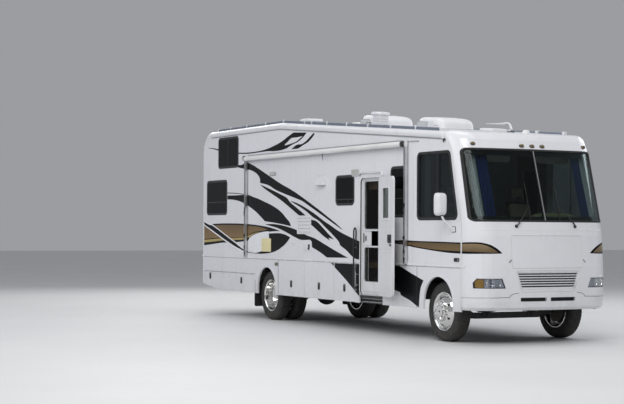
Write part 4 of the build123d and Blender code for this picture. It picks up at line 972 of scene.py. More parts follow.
FOURTH = loop_of(
    [(-2.117, 1.838, 1), (-1.761, 1.841), (-1.37, 1.816), (-1.029, 1.775), (-0.696, 1.72), (-0.369, 1.639), (-0.009, 1.578),
     (0.381, 1.474), (0.761, 1.372), (1.241, 1.253, 1)],
    [(-1.982, 1.818), (-1.542, 1.761), (-1.112, 1.668), (-0.818, 1.596), (-0.57, 1.549), (-0.207, 1.553, 1), (-0.139, 1.522, 1),
     (-0.126, 1.419, 1), (0.189, 1.333), (0.46, 1.243, 1)])
LEAF = loop_of(
    [(-3.904, 2.424, 1), (-3.484, 2.42), (-3.051, 2.418), (-2.581, 2.361), (-2.123, 2.267), (-1.766, 2.185), (-1.416, 2.071),
     (-1.158, 1.934), (-1.051, 1.878), (-0.987, 1.799, 1)],
    [(-3.903, 2.342, 1), (-3.63, 2.334), (-3.24, 2.286), (-2.905, 2.202), (-2.577, 2.097), (-2.3, 1.978), (-2.118, 1.894, 1),
     (-1.762, 1.87), (-1.37, 1.837)])
LEAF_LINE = stripe([(-3.905, 2.475), (-3.485, 2.459), (-3.146, 2.436), (-2.861, 2.409), (-2.604, 2.352)], 0.018, ends=(1.0, 0.5))
GOLD_TOP = [(-4.90, 1.835, 1), (-4.766, 1.84), (-4.479, 1.85), (-4.121, 1.856), (-3.622, 1.855), (-3.042, 1.846), (-2.573, 1.826),
            (-2.116, 1.795), (-1.76, 1.757), (-1.454, 1.709, 1)]
GOLD_LOW = [(-5.098, 1.45, 1), (-4.628, 1.470), (-4.115, 1.505), (-3.47, 1.522), (-3.132, 1.538), (-2.872, 1.556), (-2.80, 1.61),
            (-2.57, 1.656), (-2.205, 1.690), (-1.803, 1.706)]
GOLD_BLACK = loop_of([(-5.098, 1.815, 1)] + GOLD_TOP, [(-5.098, 1.40, 1), (-4.965, 1.405), (-4.628, 1.428), (-4.115, 1.462), (-3.47, 1.478),
                     (-3.132, 1.498), (-2.885, 1.515), (-2.82, 1.575), (-2.57, 1.632), (-2.205, 1.675), (-1.803, 1.700)])
GOLD = loop_of([(-5.098, 1.785, 1), (-4.766, 1.811), (-4.479, 1.821), (-4.121, 1.827), (-3.622, 1.826), (-3.042, 1.817), (-2.573, 1.798),
                (-2.25, 1.772), (-1.98, 1.735, 1)],
               [(-5.098, 1.53, 1), (-4.628, 1.55), (-4.115, 1.565), (-3.47, 1.572), (-3.05, 1.585), (-2.80, 1.645), (-2.57, 1.688), (-2.205, 1.712)])
GOLD_PALE = loop_of([(-5.098, 1.512, 1), (-4.628, 1.53), (-4.115, 1.552), (-3.47, 1.560), (-3.05, 1.573, 1), (-2.80, 1.628), (-2.57, 1.668), (-2.30, 1.69, 1)],
                    [(-5.098, 1.455, 1), (-4.628, 1.478), (-4.115, 1.508), (-3.47, 1.523), (-3.05, 1.54), (-2.84, 1.585), (-2.57, 1.652)])
DIAG_WHITE = loop_of([(-5.098, 1.915, 1), (-4.845, 1.862), (-4.687, 1.842), (-4.271, 1.72), (-3.865, 1.595), (-3.469, 1.478), (-3.129, 1.368),
                      (-2.844, 1.310), (-2.60, 1.274, 1)],
                     [(-5.098, 1.812, 1), (-4.971, 1.772), (-4.844, 1.738), (-4.424, 1.615), (-4.015, 1.495), (-3.615, 1.388), (-3.225, 1.305),
                      (-2.938, 1.262, 1), (-2.60, 1.262, 1)])
DIAG_BLACK = loop_of([(-5.098, 1.888, 1), (-4.845, 1.832), (-4.687, 1.815), (-4.271, 1.696), (-3.865, 1.569), (-3.469, 1.451), (-3.129, 1.345),
                      (-2.844, 1.294), (-2.518, 1.268, 1)],
                     [(-5.098, 1.84, 1), (-4.971, 1.800), (-4.844, 1.766), (-4.424, 1.645), (-4.015, 1.527), (-3.615, 1.419), (-3.225, 1.334),
                      (-2.938, 1.284), (-2.518, 1.262, 1)])
CRES = flow([(-1.936, 1.659, 1), (-1.497, 1.667), (-1.239, 1.642), (-1.018, 1.594, 1), (-1.131, 1.513), (-1.321, 1.423), (-1.622, 1.328),
             (-1.975, 1.28), (-2.335, 1.263), (-2.564, 1.271, 1), (-2.245, 1.315, 1), (-1.842, 1.315, 1), (-1.845, 1.558, 1), (-1.934, 1.573, 1)])
BLOB = flow([(-1.94, 1.70, 1), (-2.20, 1.690), (-2.57, 1.640), (-2.80, 1.575), (-2.90, 1.48), (-2.86, 1.37), (-2.66, 1.30), (-2.45, 1.277), (-2.20, 1.31, 1), (-1.94, 1.318, 1)])
SKIRT_TRI = flow([(0.605, 1.152, 1), (1.651, 1.152, 1), (1.651, 0.600, 1), (1.463, 0.707), (1.173, 0.866), (0.877, 1.015)])
FRONT_BLOCK = flow([(2.449, 1.163, 1), (2.836, 1.163), (3.013, 1.15), (3.33, 1.056), (3.747, 0.941, 1), (3.657, 0.803), (3.607, 0.507, 1),
                    (3.527, 0.535), (3.334, 0.606), (3.049, 0.683), (3.017, 0.727, 1), (2.839, 0.759), (2.449, 0.83, 1)])
WALL_BEHIND = flow([(2.449, 1.36, 1), (2.75, 1.235, 1), (2.836, 1.190, 1), (2.449, 1.190, 1)])
FRONT_STRIPE = loop_of([(2.449, 1.560, 1), (3.136, 1.574), (3.574, 1.565), (4.233, 1.56), (4.823, 1.553, 1)],
                       [(2.449, 1.535, 1), (3.137, 1.499), (3.2, 1.490), (3.482, 1.46), (3.818, 1.433), (4.234, 1.404), (4.524, 1.389), (4.823, 1.383, 1)])
FRONT_GOLD = loop_of([(2.95, 1.535, 1), (3.168, 1.542), (3.574, 1.546), (4.233, 1.54), (4.823, 1.53, 1)],
                     [(2.95, 1.530, 1), (3.2, 1.512), (3.482, 1.481), (3.818, 1.452), (4.234, 1.431), (4.524, 1.425), (4.823, 1.421, 1)])
# the driver's side has no entry door, so the lower blade runs on to the front wheel
SECOND_RUN = flow([(1.651, 1.540, 1), (2.05, 1.445), (2.45, 1.320), (2.836, 1.190, 1), (1.60, 1.190, 1), (1.651, 1.228, 1)])
TRI_RUN = flow([(1.651, 1.152, 1), (2.449, 1.163, 1), (2.449, 0.83, 1), (2.1, 0.80), (1.80, 0.66), (1.70, 0.60, 1), (1.651, 0.600, 1)])

# the same blades over the entry door's outer face, and the front stripe's thin end
DOOR_RUN = flow([(1.651, 1.540, 1), (2.05, 1.462), (2.449, 1.360, 1), (2.449, 1.190, 1), (1.60, 1.190, 1), (1.651, 1.228, 1)])
DOOR_LINE = flow([(2.449, 1.560, 1), (2.20, 1.557), (1.93, 1.556, 1), (2.20, 1.545), (2.449, 1.535, 1)])

DOORS = {  # hinged skirt doors: body, side, x0, x1, z0, z1
    "baggage_door_right_rear": (-1, -1.500, -0.422, 0.498, 1.160),
    "baggage_door_right_middle": (-1, -0.402, 0.722, 0.498, 1.160),
    "baggage_door_right_front": (-1, 0.742, 1.500, 0.498, 1.160),
    "locker_door_right": (-1, -5.040, -2.600, 0.498, 0.860),
    "baggage_door_left_rear": (1, -1.500, -0.122, 0.498, 1.160),
    "baggage_door_left_front": (1, -0.102, 1.400, 0.498, 1.160),
    "locker_door_left": (1, -5.040, -2.600, 0.498, 0.860),
}
WIN_R = [("loft", -4.349, -3.395, 3.000, 3.590, 0.055), ("garage", -4.930, -3.940, 2.050, 2.722, 0.060),
         ("galley", 0.797, 1.437, 2.183, 2.666, 0.075), ("lounge", 2.723, 3.165, 1.968, 2.759, 0.060)]
WIN_L = [("loft", -4.349, -3.395, 3.000, 3.590, 0.055), ("garage", -4.930, -3.940, 2.050, 2.722, 0.060),
         ("bath", -1.500, -1.000, 2.300, 2.760, 0.075), ("dinette", 2.860, 3.300, 1.968, 2.759, 0.060)]
SLIDE = (-0.343, 2.743, 1.2115, 3.1435)      # the slide-out's flange: x0, x1, z0, z1
SLIDE_Y = 1.3105
ARCHES = [(4.190, 0.583, 0.468), (-2.020, 0.610, 0.438)]


def rect(x0, x1, z0, z1):
    return [(x0, z0), (x1, z0), (x1, z1), (x0, z1)]


def decals(side):
    """Cut-film graphics of one side, split where doors and the slide-out move."""
    tag = "right" if side < 0 else "left"
    black, gold = M["vinyl_black"], M["gold"]
    layers = [  # material, loops, layer
        (black, [TOP_LINE], 1), (black, [TOP_SWEEP, TOP_HOLE], 1), (black, [TOP_BLADE], 1), (black, [MAIN], 1),
        (black, [SECOND], 2), (black, [THIRD], 1), (black, [FOURTH], 1), (black, [LEAF], 1), (black, [LEAF_LINE], 1),
        (black, [GOLD_BLACK], 1), (gold, [GOLD], 2), (M["gold_light"], [GOLD_PALE], 3), (M["vinyl_white"], [BLOB], 4),
        (M["vinyl_white"], [DIAG_WHITE], 5), (black, [DIAG_BLACK], 6), (black, [CRES], 5),
        (black, [SKIRT_TRI], 1), (black, [FRONT_BLOCK], 1), (black, [WALL_BEHIND], 1),
        (black, [FRONT_STRIPE], 1), (M["gold_front"], [FRONT_GOLD], 2),
    ]
    if side > 0:
        layers += [(black, [SECOND_RUN], 1), (black, [TRI_RUN], 1)]
    holes = [rrect(x0 - 0.004, x1 + 0.004, z0 - 0.004, z1 + 0.004, r, 5) for _, x0, x1, z0, z1, r in (WIN_R if side < 0 else WIN_L)]
    if side < 0:
        holes.append(rrect(1.652, 2.4485, 0.5, 2.638, 0.09, 5))
    else:
        holes.append(rect(*SLIDE))
    panels = {}
    for name, (s, x0, x1, z0, z1) in DOORS.items():
        if s == side:
            panels[name] = (rect(x0, x1, z0, z1), rect(x0 - 0.005, x1 + 0.005, z0 - 0.005, z1 + 0.005))
    belt = rect(-5.2, SEAM_X + 0.1, 1.163, 1.190)
    fixed = Kit(f"graphics_{tag}")
    out3 = on_side(side)
    arch = [circle(cx, cz, r, 48) for cx, cz, r in ARCHES]
    blocked = holes + [p[1] for p in panels.values()] + [belt] + arch
    for mat, loops, layer in layers:
        zs = [p[1] for lp in loops for p in lp]
        xs = [p[0] for lp in loops for p in lp]
        near = [b for b in blocked if min(p[0] for p in b) < max(xs) and max(p[0] for p in b) > min(xs) and min(p[1] for p in b) < max(zs) and max(p[1] for p in b) > min(zs)]
        fixed.plate(loops, out3, 0.0002, 0.0004 + 0.0003 * layer, mat, cuts=near, keep=lambda x, z: not any(inside(b, x, z) for b in near))
        for name, (panel, _) in panels.items():
            if min(zs) < 1.160:
                kit = KITS.setdefault(name, Kit(f"graphics_{name}"))
                kit.plate(loops, out3, 0.0002, 0.0004 + 0.0003 * layer, mat, cuts=[panel], keep=lambda x, z: inside(panel, x, z))
        if side > 0 and max(xs) > SLIDE[0] and min(xs) < SLIDE[1] and max(zs) > SLIDE[2]:
            box_ = rrect(SLIDE[0] + 0.002, SLIDE[1] - 0.002, SLIDE[2] + 0.002, SLIDE[3] - 0.002, 0.02, 4)
            panes = [rrect(x - 0.43, x + 0.43, 2.03, 2.63, 0.085, 5) for x in (0.5, 1.9)]
            kit = KITS.setdefault("slide_out", Kit("graphics_slide_out"))
            kit.plate(loops, on_side(1, SLIDE_Y), 0.0002, 0.0004 + 0.0003 * layer, mat, cuts=[box_] + panes,
                      keep=lambda x, z: inside(box_, x, z) and not any(inside(b, x, z) for b in panes))
    fixed.done("root", "shell", merge=True)
    if side < 0:
        # the leaf is drawn closed, x and z on the side, and laid on the open one: 168 degrees round its hinge
        t = math.radians(180 + 168.0)
        along, out = Vector((math.cos(t), math.sin(t), 0)), Vector((-math.cos(t - math.pi / 2), -math.sin(t - math.pi / 2), 0))
        on_leaf = lambda x, z, h=0.0: Vector((2.432, -1.300, z)) + along * (2.432 - x) + out * (h - 0.0175)
        edge = rrect(1.686, 2.422, 0.647, 2.613, 0.073, 6)
        kit = KITS.setdefault("entry_door", Kit("graphics_entry_door"))
        for lp in (DOOR_RUN, TRI_RUN, DOOR_LINE):
            kit.plate([lp], on_leaf, 0.0002, 0.0007, black, cuts=[edge], keep=lambda x, z: inside(edge, x, z))


KITS = {}
decals(-1)
decals(1)
for body, kit in KITS.items():
    if len(kit.bm.faces):
        kit.done(body, "shell", merge=True)
    else:
        kit.bm.free()


def cap_graphics():
    """The stripe that runs from the side round both corners of the front."""
    kit = Kit("graphics_front")
    for side in (-1, 1):
        edge = (lambda s, z, h=0.0, side=side: round_cap(s, z, h, side))
        black = loop_of([(0.010, 1.553, 1), (0.20, 1.560), (0.36, 1.556), (0.50, 1.525), (0.62, 1.465), (0.715, 1.392, 1)],
                        [(0.010, 1.383, 1), (0.20, 1.383), (0.40, 1.386), (0.58, 1.388)])
        gold = loop_of([(0.010, 1.530, 1), (0.20, 1.536), (0.35, 1.531), (0.47, 1.502), (0.57, 1.452), (0.645, 1.405, 1)],
                       [(0.010, 1.421, 1), (0.20, 1.415), (0.40, 1.408), (0.56, 1.402)])
        grid = [(0.01 + 0.02 * i, z) for i in range(37) for z in (1.40, 1.43, 1.46, 1.49, 1.52)]
        kit.plate([black], edge, 0.0002, 0.0007, M["vinyl_black"], grid=[p for p in grid if inside(black, *p)])
        kit.plate([gold], edge, 0.0004, 0.0010, M["gold_fade"], grid=[p for p in grid if inside(gold, *p)])
    kit.done("root", "shell", merge=True)


cap_graphics()

# ---------------------------------------------------------------------------- roof, rails and mouldings
def line_x(x0, x1, step=0.25, also=()):
    n = max(1, round((x1 - x0) / step))
    return sorted({x0 + (x1 - x0) * i / n for i in range(n + 1)} | {a for a in also if x0 < a < x1})


def roof_z(x):
    return eave(x) + 0.11


def side_run(kit, side, x0, x1, zf, profile, mat, step=0.25, base=W):
    """Moulding along a side; the profile is (outward, up) from the side's face at height zf(x)."""
    pts = [(x, side * base, zf(x)) for x in line_x(x0, x1, step, (-1.48,))]
    if side > 0:
        pts.reverse()
    kit.sweep(pts, profile, mat, up=(0, 0, 1))


def roof_skin():
    kit = Kit("roof_membrane")
    xs = line_x(-4.77, 4.372, 0.22, (-1.48,))
    ys = [-1.205 + 2.41 * j / 24 for j in range(25)]
    n = len(ys)
    top = [(x, y, roof_z(x) + 0.005 + 0.026 * (1 - (y / 1.205) ** 2) * min(1, (4.40 - x) * 2)) for x in xs for y in ys]
    low = [(x, y, roof_z(x) - 0.004) for x in xs for y in ys]
    k = len(top)
    faces = []
    for i in range(len(xs) - 1):
        for j in range(n - 1):
            q = (i * n + j, (i + 1) * n + j, (i + 1) * n + j + 1, i * n + j + 1)
            faces.append(q)
    rim = [(i * n, (i + 1) * n) for i in range(len(xs) - 1)] + [((i + 1) * n + n - 1, i * n + n - 1) for i in range(len(xs) - 1)]
    rim += [(j + 1, j) for j in range(n - 1)] + [((len(xs) - 1) * n + j, (len(xs) - 1) * n + j + 1) for j in range(n - 1)]
    faces += [(b, a, a + k, b + k) for a, b in rim]
    kit.raw(top + low, faces, M["membrane"])
    # lap seams with their beads of sealant
    for x in (-3.3, -0.7, 1.4, 3.05):
        for dx in (-0.03, 0.03):
            pts = [(x + dx, y, roof_z(x + dx) + 0.007 + 0.026 * (1 - (y / 1.205) ** 2)) for y in ys]
            kit.sweep(pts, [(-0.008, 0), (-0.004, 0.003), (0.004, 0.003), (0.008, 0), (0.004, -0.002), (-0.004, -0.002)], M["sealant"])
    kit.done("root", "roof_skin")
    # dark blue-grey bars on the roof's edge, held by light clips; their blue-grey is painted shade and painted
    # reflection along the roof's edge
    kit = Kit("roof_edge_bars")
    clips = [-4.55, -3.95, -3.15, -2.28, -1.48, -0.60, -0.32, 0.28, 1.02, 1.78, 2.55, 3.35, 4.10]
    for side in (-1, 1):
        for a, b in zip(clips, clips[1:]):
            side_run(kit, side, a + 0.035, b - 0.035, lambda x: roof_z(x) - 0.006,
                     [(0, 0), (0.022, 0), (0.030, 0.012), (0.030, 0.046), (0.022, 0.054), (0.006, 0.054), (0, 0.046)], M["edge_blue"], 0.4, 1.185)
        for x in clips:
            kit.box((x - 0.03, side * 1.18 - 0.018, roof_z(x) - 0.004), (x + 0.03, side * 1.18 + 0.040 * side + (0.018 if side < 0 else 0), roof_z(x) + 0.062), M["panel_white"], 0.005)
            kit.bolt((x, side * 1.225, roof_z(x) + 0.03), (0, side, 0), 0.006, M["galvanised"])
    kit.done("root", "roof_skin")
    kit = Kit("eave_mouldings")
    round_bar = [(0, -0.032), (0.010, -0.036), (0.020, -0.030), (0.027, -0.014), (0.029, 0.006), (0.027, 0.026), (0.018, 0.042), (0.004, 0.048), (-0.006, 0.046), (-0.006, -0.028)]
    # grey lip under the round bar: its grey is painted shadow beneath the eave moulding
    lip = [(-0.002, -0.052), (0.010, -0.052), (0.012, -0.046), (0.008, -0.040), (-0.002, -0.038)]
    for side in (-1, 1):
        side_run(kit, side, -4.72, 4.31, lambda x: eave(x) + 0.030, round_bar, M["trim_white"])
        side_run(kit, side, -4.72, 4.30, lambda x: eave(x) + 0.030, lip, M["grey"])
        # end of the gutter, with its spout
        z = eave(4.36) + 0.02
        kit.box((4.30, side * (W + 0.016) - 0.022, z - 0.030), (4.372, side * (W + 0.016) + 0.022, z + 0.046), M["trim_white"], 0.012, 3)
        kit.tube([(4.356, side * (W + 0.010), z - 0.02), (4.362, side * (W + 0.022), z - 0.045), (4.368, side * (W + 0.030), z - 0.085)], 0.011, M["black"], 12)
        kit.box((4.335, side * (W + 0.012) - 0.010, z - 0.058), (4.388, side * (W + 0.012) + 0.010, z - 0.034), M["black"], 0.004)
        # rounded cover over the joint between the rear cap and the wall
        arc = [(-4.78 + 0.32 * math.sin(math.radians(a)) * -1, 3.33 + 0.32 * math.cos(math.radians(a))) for a in range(0, 91, 6)]
        seam = [(p[0], p[1]) for p in arc] + [(-5.10, 3.0), (-5.10, 2.0), (-5.10, 1.20)]
        kit.plate([stripe([(x, z) for x, z in seam], 0.018, 1)], on_side(side), 0.0004, 0.0036, M["trim_white"], bevel=0.001)
    kit.done("root", "shell")


roof_skin()


def mouldings():
    kit = Kit("seams_and_mouldings")
    belt = [(0, 0), (0.004, -0.001), (0.010, 0.006), (0.012, 0.016), (0.010, 0.026), (0.004, 0.033), (0, 0.032), (-0.003, 0.016)]
    for side in (-1, 1):
        runs = [(-5.095, 1.646), (2.4535, 4.826)] if side < 0 else [(-5.095, 4.826)]
        for a, b in runs:
            side_run(kit, side, a, b, lambda x: 1.1655, belt, M["trim_white"], 0.5)
            # grey strip under the belt moulding: painted shadow
            side_run(kit, side, a, b, lambda x: 1.1570, [(0, 0), (0.0025, 0), (0.0030, 0.008), (0, 0.009)], M["grey"], 0.5)
            for x in line_x(a + 0.1, b - 0.1, 0.42):
                if not any(abs(x - d) < 0.04 for d in (-2.935, 3.235)):
                    kit.lathe([(0, 0), (0, 0.0052), (0.0016, 0.0044), (0.0024, 0.002), (0.0024, 0)], (x, side * (W + 0.0115), 1.1815), (0, side, 0), M["galvanised"], 12)
        # cover strip over the slanted seam of the front cap, up and over the roof
        up = [(4.835, 0.500), (4.835, 1.10), (4.835, 1.800), (4.70, 2.335), (4.545, 2.950), (4.480, 3.080), (4.390, 3.165)]
        kit.plate([stripe(up, 0.022, 3)], on_side(side), 0.0003, 0.0042, M["trim_white"], bevel=0.0012)
        kit.plate([stripe([(x + 0.0, z) for x, z in up], 0.030, 3)], on_side(side), 0.0001, 0.0014, M["sealant"])
    over = [(4.381, y, z) for y, z in [(-1.278, 3.19), (-1.270, 3.222), (-1.245, 3.256), (-1.205, 3.283), (-0.9, 3.290), (-0.4, 3.292), (0, 3.292), (0.4, 3.292), (0.9, 3.290), (1.205, 3.283), (1.245, 3.256), (1.270, 3.222), (1.278, 3.19)]]
    kit.sweep(over, [(-0.02, 0), (-0.015, 0.004), (0.015, 0.004), (0.02, 0), (0.02, -0.004), (-0.02, -0.004)], M["trim_white"], up=(0, 0.001, 1))
    kit.done("root", "shell")
    # fine lines of joints in the moulded skirts
    kit = Kit("skirt_joints")
    for side in (-1, 1):
        for x, z0, z1 in ((3.55, 0.50, 1.162), (-2.545, 0.50, 0.75), (-1.52, 0.50, 1.162)):
            kit.plate([rect(x - 0.0035, x + 0.0035, z0, z1)], on_side(side), 0.0004, 0.0022, M["black"])
        kit.plate([rect(-5.095, -2.545, 0.868, 0.873)], on_side(side), 0.0003, 0.0014, M["grey"])
    kit.done("root", "shell")
    # soft beads round the skirt doors, and their hinge line above
    for name, (side, x0, x1, z0, z1) in DOORS.items():
        if "locker" in name:
            edge = [(x0 + 0.006, z1 - 0.006), (x0 + 0.006, 0.602), (-4.90, 0.580), (-4.508, 0.527), (-4.25, 0.506), (x1 - 0.006, 0.506), (x1 - 0.006, z1 - 0.006)]
        else:
            edge = rrect(x0 + 0.006, x1 - 0.006, z0 + 0.006, z1 - 0.006, 0.012, 3)
        kit = Kit("trim_" + name)
        kit.loop(round_poly(edge, 0.012, 3) if "locker" in name else edge, [(-0.004, 0.0006), (-0.002, 0.0032), (0.002, 0.0032), (0.004, 0.0006)], on_side(side), M["trim_white"])
        # paddle latches: black bowl, hinged paddle, lock barrel
        for x, z in ([(-4.747, 0.770), (-3.191, 0.722)] if "locker" in name else [((x0 + x1) / 2, 0.727)]):
            out = on_side(side)
            bowl = rrect(x - 0.031, x + 0.031, z - 0.062, z + 0.062, 0.020, 6)
            kit.loop(bowl, [(-0.009, 0.0092), (-0.006, 0.0125), (-0.001, 0.0125), (0.002, 0.0095), (0.002, 0.0), (-0.004, 0.0)], out, M["black"])
            kit.plate([rrect(x - 0.021, x + 0.021, z - 0.050, z + 0.030, 0.012, 5)], out, 0.0093, 0.0128, M["black"], bevel=0.0012)
            kit.plate([rrect(x - 0.017, x + 0.017, z - 0.046, z - 0.022, 0.008, 4)], out, 0.0128, 0.0142, M["rubber"])
            kit.lathe([(0, 0), (0, 0.0095), (0.0035, 0.0090), (0.0040, 0.006), (0.0025, 0.0055), (0.0025, 0)], out(x, z + 0.044, 0.0093), (0, side, 0), M["chrome"], 20)
            kit.box(tuple(min(a, b) for a, b in zip(out(x - 0.0012, z + 0.039, 0.0118), out(x + 0.0012, z + 0.049, 0.0126))),
                    tuple(max(a, b) for a, b in zip(out(x - 0.0012, z + 0.039, 0.0118), out(x + 0.0012, z + 0.049, 0.0126))), M["black"], 0)
        kit.done(name, "shell")
        kit = Kit("hinge_" + name)
        step = 0.45
        k = max(2, round((x1 - x0) / step))
        for i in range(k):
            x = x0 + (x1 - x0) * (i + 0.5) / k
            kit.rod((x - 0.045, side * (W + 0.002), z1 + 0.002), (x + 0.045, side * (W + 0.002), z1 + 0.002), 0.0042, M["trim_white"], 12, 0.0008)
        kit.done("root", "shell")


mouldings()


# ---------------------------------------------------------------------------- windows
def window_ring(kit, outline, to3, mat=None, wide=0.022, tall=0.009):
    m = mat or M["black"]
    kit.loop(outline, [(-0.020, 0.0015), (-0.019, 0.0045), (-0.012, tall), (wide * 0.5, tall), (wide, tall * 0.6), (wide + 0.002, 0.0), (0.001, -0.001)], to3, m)


def window_trim():
    for side, table in ((-1, WIN_R), (1, WIN_L)):
        kit = Kit("window_frames_right" if side < 0 else "window_frames_left")
        out = on_side(side)
        for name, x0, x1, z0, z1, r in table:
            window_ring(kit, rrect(x0, x1, z0, z1, r, 8), out)
            # meeting rail of the sliding half, drip edge, weep slots and catch
            if name in ("garage", "lounge", "dinette"):
                zc = z0 + (z1 - z0) * 0.36
                kit.box(tuple(min(a, b) for a, b in zip(out(x0 + 0.012, zc - 0.011, 0.002), out(x1 - 0.012, zc + 0.011, 0.0075))),
                        tuple(max(a, b) for a, b in zip(out(x0 + 0.012, zc - 0.011, 0.002), out(x1 - 0.012, zc + 0.011, 0.0075))), M["black"], 0.002)
            elif name == "galley":
                xc = (x0 + x1) / 2 + 0.12
                kit.plate([rect(x0 + 0.016, x1 - 0.016, z0 + 0.075, z0 + 0.093)], out, 0.002, 0.0072, M["black"], bevel=0.001)
                kit.box(tuple(min(a, b) for a, b in zip(out(xc - 0.01, z0 + 0.02, 0.002), out(xc + 0.01, z0 + 0.076, 0.0065))),
                        tuple(max(a, b) for a, b in zip(out(xc - 0.01, z0 + 0.02, 0.002), out(xc + 0.01, z0 + 0.076, 0.0065))), M["black"], 0.002)
            else:
                xc = (x0 + x1) / 2
                kit.box(tuple(min(a, b) for a, b in zip(out(xc - 0.011, z0 + 0.012, 0.002), out(xc + 0.011, z1 - 0.012, 0.0072))),
                        tuple(max(a, b) for a, b in zip(out(xc - 0.011, z0 + 0.012, 0.002), out(xc + 0.011, z1 - 0.012, 0.0072))), M["black"], 0.002)
            for k in range(2):
                x = x0 + (x1 - x0) * (0.25 + 0.5 * k)
                kit.plate([rrect(x - 0.014, x + 0.014, z0 - 0.014, z0 - 0.008, 0.003, 3)], out, 0.008, 0.0104, M["rubber"])
        # cab window: rubber gasket round a pane with a sliding part
        cab = round_poly([(3.561, 1.920), (4.727, 1.920), (4.498, 2.955), (3.561, 2.955)], 0.070, 8)
        window_ring(kit, cab, out, M["rubber"], 0.024, 0.0085)
        kit.plate([rect(4.142, 4.160, 1.935, 2.940)], out, 0.001, 0.0062, M["black"], bevel=0.001)
        kit.plate([rrect(4.120, 4.140, 2.05, 2.13, 0.006, 3)], out, 0.001, 0.008, M["black"], bevel=0.001)
        kit.done("root", "black_plastic")
    # slide-out windows ride with it
    kit = Kit("slide_window_frames")
    out = on_side(1, SLIDE_Y)
    for x in (0.5, 1.9):
        window_ring(kit, rrect(x - 0.41, x + 0.41, 2.05, 2.61, 0.070, 8), out)
        kit.plate([rect(x - 0.395, x + 0.395, 2.235, 2.253)], out, -0.006, 0.005, M["black"], bevel=0.001)
    # corner trim, drip ledge and the seal round the room's flange
    kit.loop(rrect(-0.343, 2.743, 1.2115, 3.1435, 0.02, 4), [(-0.030, 0.0), (-0.028, 0.004), (-0.004, 0.005), (0.001, 0.002), (0.001, -0.018), (-0.003, -0.018)], out, M["trim_white"])
    kit.sweep([(2.735, W + 0.030, 3.150), (-0.335, W + 0.030, 3.150)], [(0, 0), (0.028, -0.004), (0.032, -0.016), (0.028, -0.014), (0.0, -0.006)], M["trim_white"])
    for i in range(16):
        x = -0.33 + 3.06 * i / 15
        for z in (1.224, 3.131):
            kit.lathe([(0, 0), (0, 0.0055), (0.0016, 0.0046), (0.0026, 0.002), (0.0026, 0)], (x, SLIDE_Y + 0.004, z), (0, 1, 0), M["galvanised"], 12)
    kit.done("slide_out", "shell")
    kit = Kit("slide_seal")
    kit.loop(rect(-0.349, 2.749, 1.205, 3.150), [(0.0, 0.0), (0.004, 0.012), (0.016, 0.018), (0.026, 0.010), (0.028, 0.0)], on_side(1), M["rubber"])
    kit.tube([(-0.31, W + 0.070, 3.235)] + [(-0.31 + 3.02 * i / 12, W + 0.070, 3.235) for i in range(1, 13)], 0.042, M["awning"], 24)
    for x in (-0.315, 2.715):
        kit.lathe([(0, 0), (0, 0.040), (0.006, 0.046), (0.022, 0.046), (0.026, 0.040), (0.026, 0)], (x - 0.013, W + 0.070, 3.235), (1, 0, 0), M["panel_white"], 32)
        kit.box((x - 0.016, W, 3.195), (x + 0.016, W + 0.072, 3.275), M["panel_white"], 0.006)
    kit.done("root", "awning")


window_trim()


